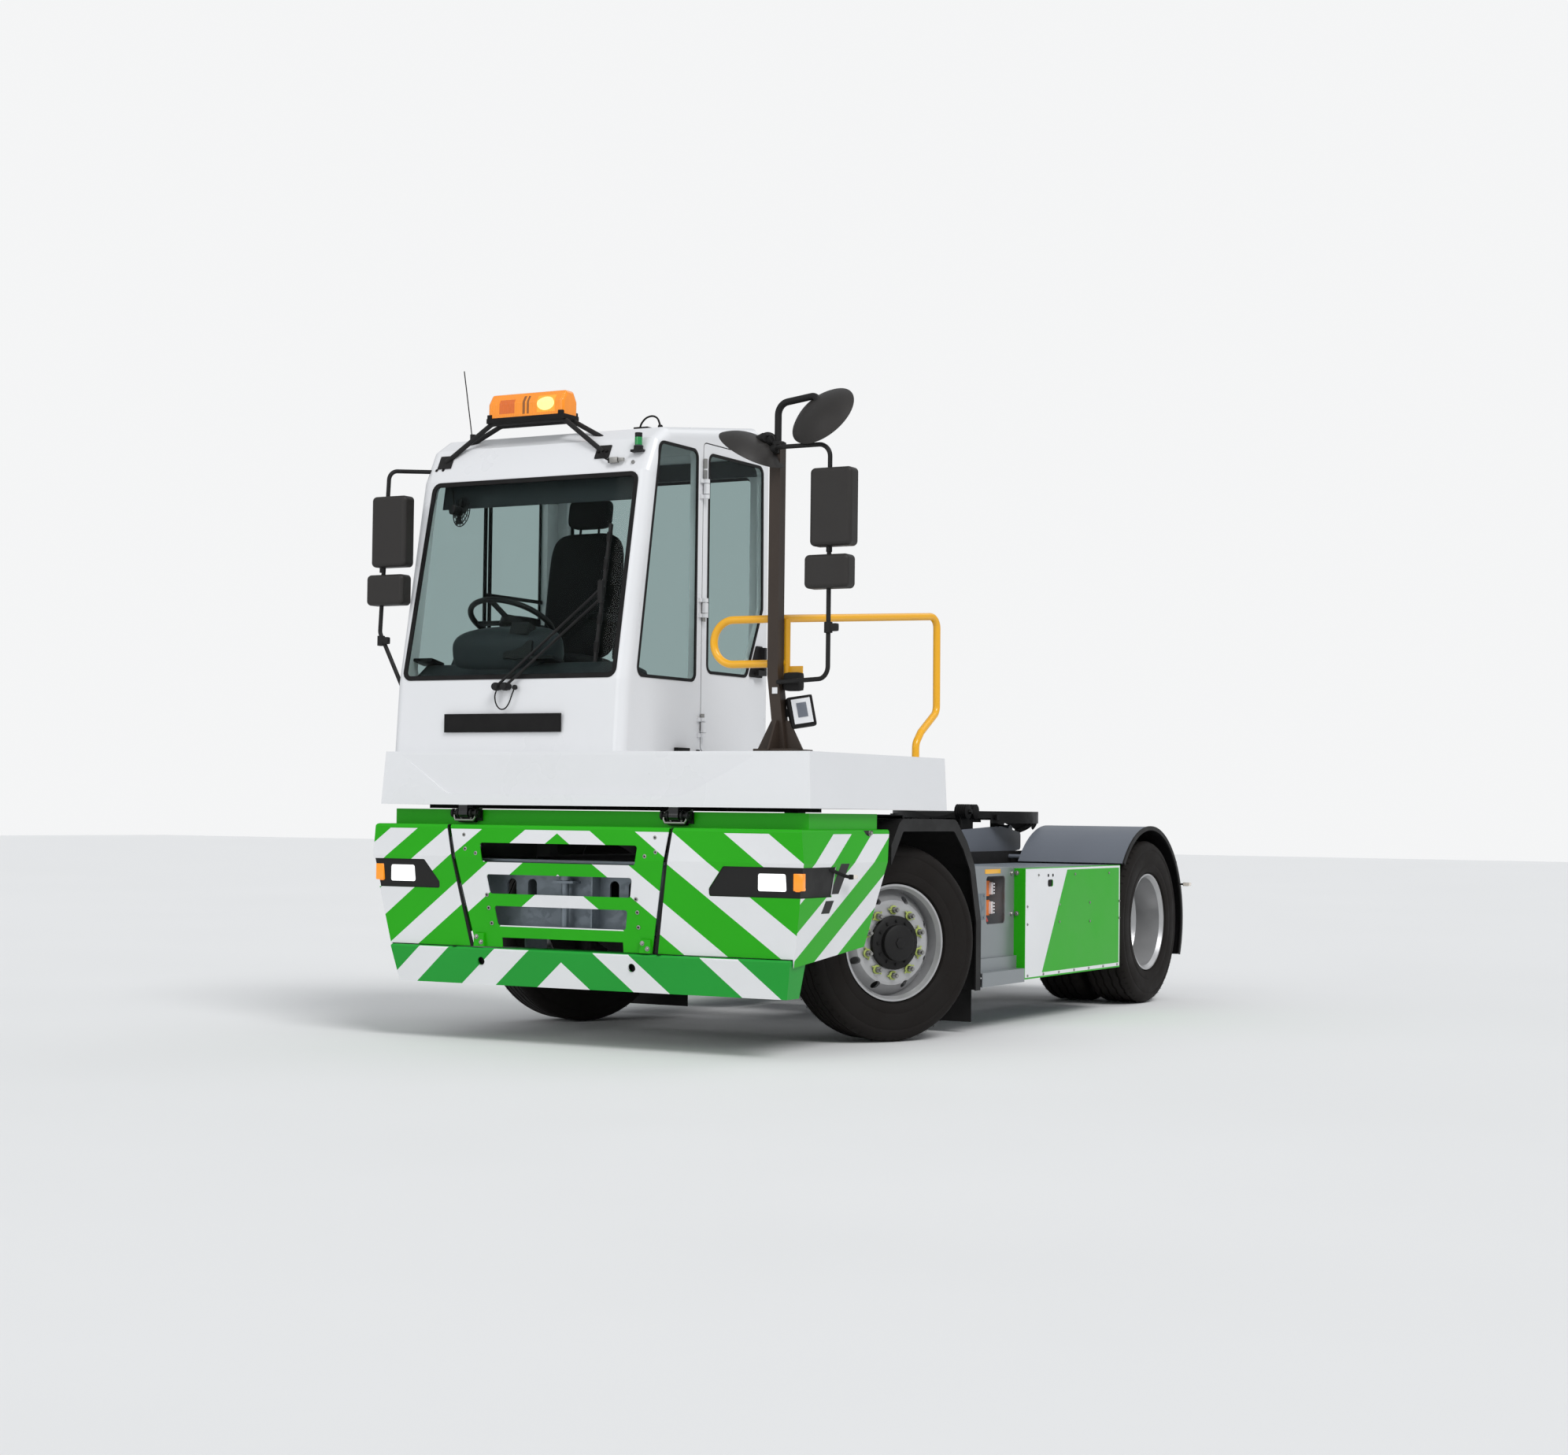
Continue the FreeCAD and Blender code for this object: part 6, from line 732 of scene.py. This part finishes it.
aim = Vector((-0.9, 0.35, -0.1)).normalized()
matrix = facing(hub_at, aim)
for radius in (0.035, 0.058, FAN_R):
    wire(fan, [matrix @ round_at(radius, 2 * pi * k / 28, 0.012) for k in range(29)], 0.0030, 6)
for k in range(16):
    wire(fan, [hub_at + aim * 0.014, matrix @ round_at(FAN_R, 2 * pi * k / 16, 0.010)], 0.0022, 5)
knob(fan, hub_at - aim * 0.05, aim, 0.026, 0.062, 16)
for k in range(4):
    turn = Matrix.Rotation(pi / 2 * k, 4, "Z")
    blade = [(0.02, -0.012, 0.0), (0.068, -0.028, 0.008), (0.07, 0.02, -0.006), (0.02, 0.014, -0.004)]
    fan.faces.new([fan.verts.new(matrix @ turn @ Vector(point)) for point in blade])
stalk = [hub_at - aim * 0.03, hub_at + Vector((0.0, -0.04, 0.06)), (2.225, -1.10, 2.86), (2.20, -1.14, 2.93)]
wire(fan, stalk, 0.007)
add("CabFan", fan, black, "cab")


# ---- seat ----
def cushion(mesh, centre, half, turn, crown, cuts=12, power=5.0, channels=0):
    """A crowned pad: rounded sides, a soft dome and sewn channels on its face."""
    part = bmesh.new()
    bmesh.ops.create_cube(part, size=2.0)
    bmesh.ops.subdivide_edges(part, edges=part.edges[:], cuts=cuts, use_grid_fill=True)
    for vert in part.verts:
        v = vert.co
        reach = (abs(v.x) ** power + abs(v.y) ** power + abs(v.z) ** power) ** (1 / power)
        unit = v / reach
        dome = crown * (1 - unit.x ** 2) * (1 - unit.y ** 2)
        lift = dome if unit.z > 0 else 0.0
        if channels and unit.z > 0.3:
            lift -= 0.006 * max(0.0, cos(pi * channels * unit.y)) ** 12
        vert.co = Vector((unit.x * half[0], unit.y * half[1], unit.z * half[2] + lift))
    bmesh.ops.transform(part, matrix=Matrix.Translation(Vector(centre)) @ turn, verts=part.verts)
    merge(mesh, part)


SEAT_X, SEAT_Y, SEAT_Z = NOSE - 1.050, -1.247 + 0.415, 1.498 + 0.090


def seat_at(x, y, z):
    """A point by its place from the foot of the seat."""
    return Vector((SEAT_X + x, SEAT_Y + y, SEAT_Z + z))


def pad(name, fill, centres, half, turn, crown, **looks):
    """A soft piece of the seat, of one cushion or more."""
    mesh = bmesh.new()
    for centre in centres:
        cushion(mesh, centre, half, turn, crown, **looks)
    piece = add(name, mesh, fabric, "cab")
    return piece


flat = Matrix.Identity(4)
upright = Matrix.Rotation(radians(81.6), 4, "Y")
pan = pad("ChairPad", 0.8, [seat_at(0, 0, 0.350)], (0.228, 0.248, 0.056), flat, 0.022, channels=2)
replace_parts(pan, "seat")
pad("ChairBack", 0.8, [seat_at(-0.236, 0, 0.755)], (0.352, 0.232, 0.042), upright, 0.020, channels=2)
pad("HeadRest", 0.8, [seat_at(-0.298, 0, 1.215)], (0.083, 0.133, 0.036), upright, 0.010)
pad("ArmRests", 0.9, [seat_at(-0.04, y, 0.612) for y in (-0.275, 0.275)], (0.158, 0.034, 0.022), flat, 0.004,
    cuts=8)
stand = bmesh.new()
slab(stand, seat_at(-0.168, -0.188, -0.089), seat_at(0.168, 0.188, -0.028), edge=0.012)
for level in range(5):
    z = -0.016 + level * 0.056
    slab(stand, seat_at(-0.150, -0.168, z), seat_at(0.150, 0.168, z + 0.040), edge=0.016)
slab(stand, seat_at(-0.190, -0.2, 0.258), seat_at(0.190, 0.2, 0.298), edge=0.010)
for side in (-1, 1):
    slab(stand, seat_at(-0.225, side * 0.234, 0.40), seat_at(-0.165, side * 0.290, 0.60), edge=0.010)
    wire(stand, [seat_at(-0.285, side * 0.06, 1.06), seat_at(-0.296, side * 0.06, 1.20)], 0.007)
add("ChairFrame", stand, black, "cab")

# instruments on the dashboard
DASH_TURN = Matrix.Rotation(-0.19, 3, "Y")
dash = bmesh.new()
slab(dash, (2.235, SEAT_Y - 0.075, 1.998), (2.262, SEAT_Y + 0.075, 2.008), edge=0.004)
for low_y, high_y in ((-0.38, -0.25), (0.25, 0.50)):
    slab(dash, (2.288, SEAT_Y + low_y, 1.921), (2.40, SEAT_Y + high_y, 1.938), DASH_TURN, edge=0.006)
add("Instruments", dash, black, "cab")

# ---- grille ears ----
RAKE = 68 / 500


def face_x(z):
    """The x of the nose's face, which leans back below 0.930 m."""
    return NOSE - RAKE * max(0.0, 0.930 - z)


EAR_Z = 0.516
ears = bmesh.new()
for y in (MIDDLE - 0.488, MIDDLE + 0.488):
    for dy, dz in ((-0.014, 0.014), (0.015, -0.012)):
        bolt(ears, (face_x(EAR_Z) + 0.016, y + dy, EAR_Z + dz), AHEAD)
add("NoseBolts", ears, steel)

# ---- cab details ----
plate = bmesh.new()
slab(plate, (2.5155, -0.909, 1.556), (2.5205, -0.196, 1.650), edge=0.0018)
rim = [(-0.905, 1.560), (-0.200, 1.560), (-0.200, 1.646), (-0.905, 1.646)]
band(plate, [Vector((2.5205, y, z)) for y, z in rim], 0.006, 0.0, AHEAD, -0.002, 0.0012)
add("NamePlate", plate, rubber, "cab")

# wiper spindles with the washer hose, and the blade on the screen
spindles = bmesh.new()
knob(spindles, (2.508, -0.480, 1.781), AHEAD, 0.013, 0.016, 16)
for y in (-0.586, -0.532):
    knob(spindles, (2.512, y, 1.786), AHEAD, 0.021, 0.034, 16)
add("WasherFittings", spindles, black, "cab")
cable("WasherHose", [
    (2.516, -0.590, 1.770), (2.527, -0.592, 1.735), (2.530, -0.580, 1.695), (2.530, -0.555, 1.672),
    (2.530, -0.525, 1.676), (2.528, -0.503, 1.705), (2.524, -0.490, 1.745), (2.515, -0.481, 1.778),
], 0.0035)

blade = bmesh.new()
low, high = screen_at(-22, 1905, 8), screen_at(-22, 2603, 8)
top = low + Vector((0.004, 0.0035, (high - low).length))
slab(blade, low - Vector((0.012, 0.0035, 0)), top, SCREEN_TURN, low, 0.001)
for step in range(5):
    spot = low.lerp(high, 0.1 + 0.2 * step)
    near, far = spot - Vector((0.004, 0.011, 0.026)), spot + Vector((0.016, 0.011, 0.026))
    slab(blade, near, far, SCREEN_TURN, spot, 0.003)
add("WiperBlade", blade, rubber, "cab")

# holes at the end of the brow, as black discs of painted shade, and the fittings by the light bar's left foot
BROW_NORMAL = Vector((172, 0, 85)).normalized()


def brow_at(y, z, off=0.0):
    """A point on the leaning brow, or off it."""
    setback = 355 + 85 * (z * 1000 - 2880) / 172
    return Vector((NOSE - setback / 1000, y, z)) + BROW_NORMAL * off


def brow_box(mesh, low_y, high_y, z, near, far, reach, tall, edge):
    """A box on the brow, from near to far off it."""
    low = brow_at(low_y, z, near) - Vector((0, 0, tall))
    slab(mesh, low, brow_at(high_y, z, far) + Vector((reach, 0, tall)), edge=edge)


brow_parts = bmesh.new()
# painted shade: black discs in place of the holes at the end of the brow
for y, z in ((-1.160, 2.975), (-1.105, 2.975), (-1.133, 2.945), (-1.175, 2.945)):
    knob(brow_parts, brow_at(y, z, 0.0005), BROW_NORMAL, 0.0085, 0.003, 16)
for y in (-0.172, -0.124):
    knob(brow_parts, brow_at(y, 2.985, 0.008), BROW_NORMAL, 0.0085, 0.008, 6)
brow_box(brow_parts, -0.088, -0.045, 2.930, 0.008, 0.008, 0.020, 0.013, 0.004)
add("BrowFittingsAndHoleShade", brow_parts, rubber, "cab")
cable("BeaconLead", [
    brow_at(-0.150, 2.975, 0.022), brow_at(-0.130, 2.955, 0.020), brow_at(-0.110, 2.938, 0.018),
    brow_at(-0.088, 2.929, 0.016),
], 0.0045)
connector = bmesh.new()
brow_box(connector, -0.077, -0.030, 2.929, 0.010, 0.014, 0.018, 0.014, 0.004)
brow_box(connector, -0.028, 0.004, 2.929, 0.012, 0.014, 0.012, 0.009, 0.003)
knob(connector, brow_at(0.052, 2.918), BROW_NORMAL, 0.010, 0.010, 12)
add("BrowConnector", connector, steel, "cab")

# green lamp: a dome over a bright ring
LAMP_X, LAMP_Y = NOSE - 0.395, 0.068
DOME = [(0.0195, 0.0), (0.0198, 0.030), (0.0185, 0.046), (0.0145, 0.058), (0.0075, 0.0635), (0.0, 0.065)]
RING = [(0.0, 0.0), (0.0205, 0.0), (0.0218, 0.004), (0.0212, 0.022), (0.0, 0.024)]
dome, ring = bmesh.new(), bmesh.new()
turned(dome, (LAMP_X, LAMP_Y, 3.008), UP, DOME, 28)
add("GreenLamp", dome, emerald, "cab")
turned(ring, (LAMP_X, LAMP_Y, 2.984), UP, RING, 28)
add("GreenLampRing", ring, zinc, "cab")

# light bar: its base and clamps
bar = bmesh.new()
slab(bar, (2.091, -0.880, 3.176), (2.235, -0.396, 3.204), edge=0.006)
for y in (-0.86, -0.418):
    slab(bar, (2.088, y - 0.014, 3.196), (2.236, y + 0.014, 3.222), edge=0.004)
add("LightBarBase", bar, rubber, "cab")

# roof cable and its gland
gland = bmesh.new()
slab(gland, (1.90, -0.140, 3.139), (1.97, -0.055, 3.150), edge=0.004)
knob(gland, (1.955, 0.014, 3.132), UP, 0.013, 0.022, 12)
add("RoofGland", gland, rubber, "cab")
cable("RoofCable", [
    (1.94, -0.120, 3.146), (1.945, -0.105, 3.172), (1.95, -0.075, 3.196), (1.955, -0.035, 3.203),
    (1.955, -0.005, 3.190), (1.955, 0.010, 3.160), (1.955, 0.014, 3.138),
], 0.005)

# door hinges, blocks at the foot of the cab
HINGES = ((2.885, 0.050), (2.945, 0.050), (2.150, 0.050), (2.205, 0.050), (1.585, 0.040), (1.632, 0.040))
hinge = bmesh.new()
for z, tall in HINGES:
    disc(hinge, (1.760, 0.1725, z), UP, 0.0105, tall, 14)
add("DoorHinges", hinge, steel, "cab")
blocks = bmesh.new()
slab(blocks, (1.900, 0.160, 1.4585), (2.020, 0.185, 1.492), edge=0.004)
slab(blocks, (1.785, 0.160, 1.4585), (1.800, 0.176, 1.486), edge=0.003)
add("CabFootBlock", blocks, rubber, "cab")

# mirror glasses, clamps and the joints of the dished mirrors
glasses, clamps = bmesh.new(), bmesh.new()
for x, y, z, wide, tall in (
    (2.515, 1.316, 2.606, 0.220, 0.370), (2.515, 1.296, 2.302, 0.235, 0.160),
    (2.460, -1.306, 2.606, 0.220, 0.370), (2.460, -1.326, 2.302, 0.235, 0.160),
):
    rear = x - 0.038
    half_wide, half_tall = wide / 2 - 0.016, tall / 2 - 0.016
    slab(glasses, (rear - 0.0015, y - half_wide, z - half_tall), (rear + 0.004, y + half_wide, z + half_tall),
        edge=0.0014)
dish = [(0.162, -0.001), (0.162, 0.0012), (0.12, 0.0042), (0.06, 0.006), (0.0, 0.0065)]
turned(glasses, (2.470, 0.849, 2.909), (-0.17, -0.54, -0.82), dish, 48)
turned(glasses, (2.455, 1.224, 3.050), (-0.80, 0.21, -0.57), dish, 48)
add("MirrorGlasses", glasses, mirror, "cab")
for x, y in ((2.515, 1.296), (2.460, -1.366)):
    turned(clamps, (x, y, 2.012), UP, [(0.011, 0.0), (0.020, 0.002), (0.020, 0.052), (0.011, 0.054)], 18)
    slab(clamps, (x - 0.012, y + 0.008, 2.020), (x + 0.014, y + 0.052, 2.058), edge=0.010)
    turned(clamps, (x, y, 2.395), UP, [(0.0145, 0.0), (0.0145, 0.024)], 16)
for spot in ((2.452, 0.962, 2.905), (2.440, 0.930, 2.948), (2.470, 0.900, 2.958)):
    turned(clamps, spot, (0.1, 0.9, 0.3), [(0.0, -0.020), (0.024, -0.018), (0.024, 0.018), (0.0, 0.020)], 18)
CAP = [(0.0, 0.0), (0.040, 0.0), (0.040, 0.012), (0.030, 0.018), (0.0, 0.018)]
turned(clamps, (2.415, 0.960, 2.930), UP, CAP, 24)
for y in (0.975, 0.945):
    bolt(clamps, (2.446, y, 2.918), AHEAD)
add("MirrorClamps", clamps, black, "cab")

# control box on the mirror post
box_black, box_white = bmesh.new(), bmesh.new()
turn = Matrix.Rotation(radians(12), 3, "X") @ Matrix.Rotation(radians(38), 3, "Z")
spot = Vector((2.372, 1.080, 1.650))
slab(box_black, spot - Vector((0.030, 0.062, 0.075)), spot + Vector((0.030, 0.062, 0.075)), turn, spot, 0.012)
slab(box_black, (2.372, 1.010, 1.748), (2.432, 1.098, 1.838), edge=0.02)
slab(box_black, (2.378, 0.985, 1.625), (2.402, 1.060, 1.665), edge=0.004)
slab(box_black, (2.378, 0.985, 1.755), (2.402, 1.040, 1.795), edge=0.004)
add("PostBox", box_black, rubber, "cab")
near, far = spot + Vector((0.0305, -0.046, -0.060)), spot + Vector((0.0335, 0.046, 0.060))
slab(box_white, near, far, turn, spot, 0.0015)
slab(box_white, (2.446, 0.962, 1.735), (2.449, 0.990, 1.765))
add("PostBoxFace", box_white, white, "cab")
window = bmesh.new()
slab(window, spot + Vector((0.034, -0.024, -0.030)), spot + Vector((0.036, 0.024, 0.040)), turn, spot, 0.001)
add("PostBoxWindow", window, grey, "cab")

# ---- chassis details ----
# bolts of the grille with their sockets, each socket a dark hexagon of painted shade: above on the upright
# face, below on the raked one
RAKED = Vector((1, 0, -RAKE)).normalized()
UPPER_BOLTS = (
    (-0.684, 1.039), (-0.676, 0.969), (-0.612, 0.948), (0.438, 1.041), (0.441, 0.971), (0.380, 0.950),
)
LOWER_BOLTS = (
    (-0.555, 0.741), (-0.549, 0.676), (-0.536, 0.600), (0.320, 0.742), (0.324, 0.678), (0.325, 0.606),
)
grille_bolts, dark = bmesh.new(), bmesh.new()
for y, z in UPPER_BOLTS:
    knob(grille_bolts, (NOSE - 0.002, y, z), AHEAD, 0.0105, 0.0026, 20)
    knob(dark, (NOSE - 0.001, y, z), AHEAD, 0.0050, 0.0020, 6)
for y, z in LOWER_BOLTS:
    spot = Vector((face_x(z), y, z))
    knob(grille_bolts, spot, RAKED, 0.0105, 0.003, 20)
    knob(dark, spot + RAKED * 0.002, RAKED, 0.0055, 0.003, 6)
add("BoltSocketShade", dark, rubber)
add("GrilleBolts", grille_bolts, steel)

# latches of the deck: a block, its bolts and a bent rod each
rods, blocks = bmesh.new(), bmesh.new()
bend = [(2.500, 0.064, 1.172), (2.545, 0.066, 1.160), (2.556, 0.066, 1.132), (2.557, 0.055, 1.112)]
for y in (MIDDLE - 0.620, MIDDLE + 0.620):
    right_half = [(x, y - reach, z) for x, reach, z in bend]
    left_half = [(x, y + reach, z) for x, reach, z in reversed(bend)]
    wire(rods, right_half + left_half, 0.0065, 10)
    slab(blocks, (2.505, y - 0.052, 1.100), (2.540, y + 0.052, 1.172), edge=0.006)
    for dy in (-0.03, 0.03):
        knob(rods, (2.540, y + dy, 1.124), AHEAD, 0.007, 0.007, 6)
    knob(rods, (2.540, y, 1.150), AHEAD, 0.013, 0.010, 16)
add("LatchRods", rods, steel)
add("LatchBlocks", blocks, rubber)

# marker lamps on stalks beside the front lamps, and behind the rear mudguards
STALK = ((2.395, 1.225, 0.905), (2.330, 1.245, 0.892), (2.262, 1.268, 0.869), (2.240, 1.282, 0.864))
stalks, lenses = bmesh.new(), bmesh.new()
for side in (-1, 1):
    wire(stalks, [(x, side * y, z) for x, y, z in STALK], 0.0085, 10)
    slab(stalks, (2.222, side * 1.276, 0.852), (2.242, side * 1.296, 0.876), edge=0.005)
    slab(lenses, (2.176, side * 1.277, 0.854), (2.222, side * 1.295, 0.874), edge=0.006)
    slab(lenses, (-2.612, side * 1.240, 0.722), (-2.572, side * 1.284, 0.744), edge=0.006)
    slab(stalks, (2.385, side * 1.232 - 0.012, 0.892), (2.425, side * 1.232 + 0.006, 0.918), edge=0.004)
add("MarkerStalks", stalks, rubber)
add("MarkerLenses", lenses, marker_glass)

# bolts in the notches of the side panels
notch_bolts = bmesh.new()
for side in (-1, 1):
    bolt(notch_bolts, (1.944, side * 1.2375, 1.072), (0, side, 0), 0.010, 0.012)
add("NotchBolts", notch_bolts, steel)

# battery covers: rivets and the screws of the latch
rivets, screws = bmesh.new(), bmesh.new()
cover_rivets = [
    (-0.153, 0.833), (-0.696, 0.830), (-1.233, 0.828), (0.004, 0.660), (0.002, 0.561), (-0.461, 0.660),
    (-0.463, 0.562), (-0.928, 0.660), (-0.930, 0.550), (-1.408, 0.656), (-1.408, 0.554), (-0.004, 0.276),
]
cover_rivets += [(-0.230 - 0.229 * step, 0.2755) for step in range(6)]
for side in (-1, 1):
    for x, z in cover_rivets:
        knob(rivets, (x, side * 1.2502, z), (0, side, 0), 0.0075, 0.0035, 14)
        knob(rivets, (x, side * 1.2537, z), (0, side, 0), 0.0045, 0.0030, 6)
    for x in (-0.3605, -0.2935):
        knob(screws, (x, side * 1.2502, 0.829), (0, side, 0), 0.0085, 0.003, 14)
    disc(screws, (-0.327, side * 1.246, 0.785), (0, side, 0), 0.024, 0.0015, 24)
    for z in (0.847, 0.622):
        bolt(rivets, (0.0365, side * 1.2, z), AHEAD, 0.010, 0.008)
        bolt(rivets, (0.080, side * 1.1833, z), (0, side, 0), 0.010, 0.008)
add("CoverRivets", rivets, steel)
add("LatchScrews", screws, rubber)

# charging sockets in the recess: a strip and a plate beside them, their latches and cable sleeves
strips, sockets, sleeves, plates = bmesh.new(), bmesh.new(), bmesh.new(), bmesh.new()
for side in (-1, 1):
    slab(strips, (0.228, side * 1.1830, 0.8475), (0.434, side * 1.1846, 0.8715), edge=0.0006)
    slab(plates, (0.436, side * 1.1830, 0.600), (0.600, side * 1.1846, 0.742), edge=0.0006)
    for x, z in ((0.448, 0.730), (0.448, 0.612), (0.588, 0.612), (0.588, 0.730)):
        knob(plates, (x, side * 1.1846, z), (0, side, 0), 0.005, 0.003, 10)
    for z in (0.722, 0.616):
        slab(sockets, (0.222, side * 1.118, z + 0.008), (0.246, side * 1.140, z + 0.076), edge=0.004)
        for rib in range(4):
            foot = z + 0.012 + 0.017 * rib
            slab(sockets, (0.224, side * 1.136, foot), (0.240, side * 1.150, foot + 0.008), edge=0.002)
    for x in (0.255, 0.290, 0.322):
        wire(sleeves, [(x, side * 1.10, 0.616), (x, side * 1.108, 0.598), (x - 0.004, side * 1.115, 0.580)],
            0.009, 10)
add("YellowStrips", strips, yellow)
add("RecessPlates", plates, zinc)
add("SocketLatches", sockets, white)
add("SocketCables", sleeves, pink)

# marks along the bumper's upper edge
marks = bmesh.new()
for y in (-0.764, 0.440):
    knob(marks, (2.597, y, 0.4765), UP, 0.011, 0.002, 16)
add("BumperMarks", marks, rubber)

# painted shade: dark closed tubes in the bumper's holes, in place of the shade inside the hollow bar
bar_hole_shade = bmesh.new()
for y in (-0.605, 0.283):
    turned(bar_hole_shade, (2.592, y, 0.409), (-1, 0, 0), [(0.0205, 0.0), (0.0215, 0.030), (0.0, 0.034)], 24)
add("BumperHoleShade", bar_hole_shade, rubber)

# indicator lenses over the corners of the lamp housings
blinkers = bmesh.new()
for side in (-1, 1):
    slab(blinkers, (2.604, side * 1.189, 0.803), (2.635, side * 1.239, 0.885), edge=0.006)
add("IndicatorLenses", blinkers, amber)

# seal under the deck, behind its tilt axis
seal = bmesh.new()
slab(seal, (2.285, -1.150, 1.170), (2.305, 1.150, 1.1895))
add("DeckSeal", seal, rubber, "cab")

# two ribbed line filters on a bracket of the boom
RIB = ((0.040, 0.0), (0.047, 0.003), (0.047, 0.008), (0.040, 0.011))
ribs = [(radius, 0.014 * rib + height) for rib in range(6) for radius, height in RIB]
filters = bmesh.new()
for x in (-1.30, -1.42):
    turned(filters, (x, 0.215, 1.185), (0, 1, 0), [(0.0, 0.0), *ribs, (0.034, 0.084), (0.0, 0.086)], 28)
slab(filters, (-1.450, 0.250, 1.050), (-1.270, 0.258, 1.160))
knob(filters, (-1.30, 0.300, 1.185), (0, 1, 0), 0.017, 0.020, 6)
wire(filters, [(-1.34, 0.25, 1.185), (-1.38, 0.25, 1.19), (-1.42, 0.25, 1.185)], 0.016, 10)
add("LineFilters", filters, rubber, "lifting_boom")

# hump of the dashboard and its display
hump, screens = bmesh.new(), bmesh.new()
cushion(hump, (2.245, -0.712, 1.985), (0.150, 0.305, 0.125), Matrix.Rotation(radians(10), 4, "Y"), 0.0,
    cuts=10, power=3.2)
add("DashHump", hump, trim, "cab")
slab(screens, (2.300, -0.615, 2.045), (2.372, -0.505, 2.115), Matrix.Rotation(-0.35, 3, "Y"), edge=0.010)
slab(screens, (2.345, -0.640, 1.93), (2.392, -0.470, 2.025), Matrix.Rotation(-0.25, 3, "Y"), edge=0.010)
add("DashDisplay", screens, black, "cab")

# ---- studio ----
paper = Surface("FloorPaper", (0.80, 0.80, 0.80), 0.9, mottle=0.01, scale=0.4)
floor_mesh = bmesh.new()
bmesh.ops.create_grid(floor_mesh, x_segments=2, y_segments=2, size=60.0)
place("Floor", floor_mesh, paper)

world = bpy.data.worlds.new("Studio")
scene.world = world
world.use_nodes = True
tree = world.node_tree
tree.nodes.clear()
path = tree.nodes.new("ShaderNodeLightPath")
mix = tree.nodes.new("ShaderNodeMixShader")
seen, lit = tree.nodes.new("ShaderNodeBackground"), tree.nodes.new("ShaderNodeBackground")
put(seen, {"Color": (0.91, 0.915, 0.92, 1.0)})
put(lit, {"Color": (0.93, 0.965, 1.0, 1.0), "Strength": 0.50})
out = tree.nodes.new("ShaderNodeOutputWorld")
tree.links.new(path.outputs["Is Camera Ray"], mix.inputs[0])
tree.links.new(lit.outputs[0], mix.inputs[1])
tree.links.new(seen.outputs[0], mix.inputs[2])
tree.links.new(mix.outputs[0], out.inputs["Surface"])


def sun(name, azimuth, height, strength, spread):
    """A sun at an azimuth and a height in degrees."""
    light = bpy.data.lights.new(name, "SUN")
    light.energy, light.angle = strength, radians(spread)
    lamp_object = bpy.data.objects.new(name, light)
    a, e = radians(azimuth), radians(height)
    towards = Vector((cos(a) * cos(e), sin(a) * cos(e), sin(e)))
    lamp_object.rotation_mode = "QUATERNION"
    lamp_object.rotation_quaternion = towards.to_track_quat("Z", "Y")
    scene.collection.objects.link(lamp_object)


sun("KeyLight", 58, 46, 1.60, 24)
sun("FillLight", -14, 24, 0.62, 40)
sun("RimLight", 160, 50, 0.30, 40)

swing, tilt, roll = radians(28.6222), radians(1.912), radians(0.668)
forward = Vector((-cos(swing) * cos(tilt), -sin(swing) * cos(tilt), sin(tilt)))
level = Vector((-sin(swing), cos(swing), 0.0))
rise = level.cross(forward)
right = level * cos(roll) + rise * sin(roll)
up = rise * cos(roll) - level * sin(roll)
camera_data = bpy.data.cameras.new("Camera")
camera_data.lens, camera_data.sensor_width, camera_data.sensor_fit = 57.65, 36.0, "HORIZONTAL"
camera_data.clip_end = 400.0
camera = bpy.data.objects.new("Camera", camera_data)
camera.matrix_world = Matrix((
    (right.x, up.x, -forward.x, 12.937),
    (right.y, up.y, -forward.y, 6.753),
    (right.z, up.z, -forward.z, 1.174),
    (0.0, 0.0, 0.0, 1.0),
))
scene.collection.objects.link(camera)
scene.camera = camera
scene.view_settings.view_transform = "Standard"
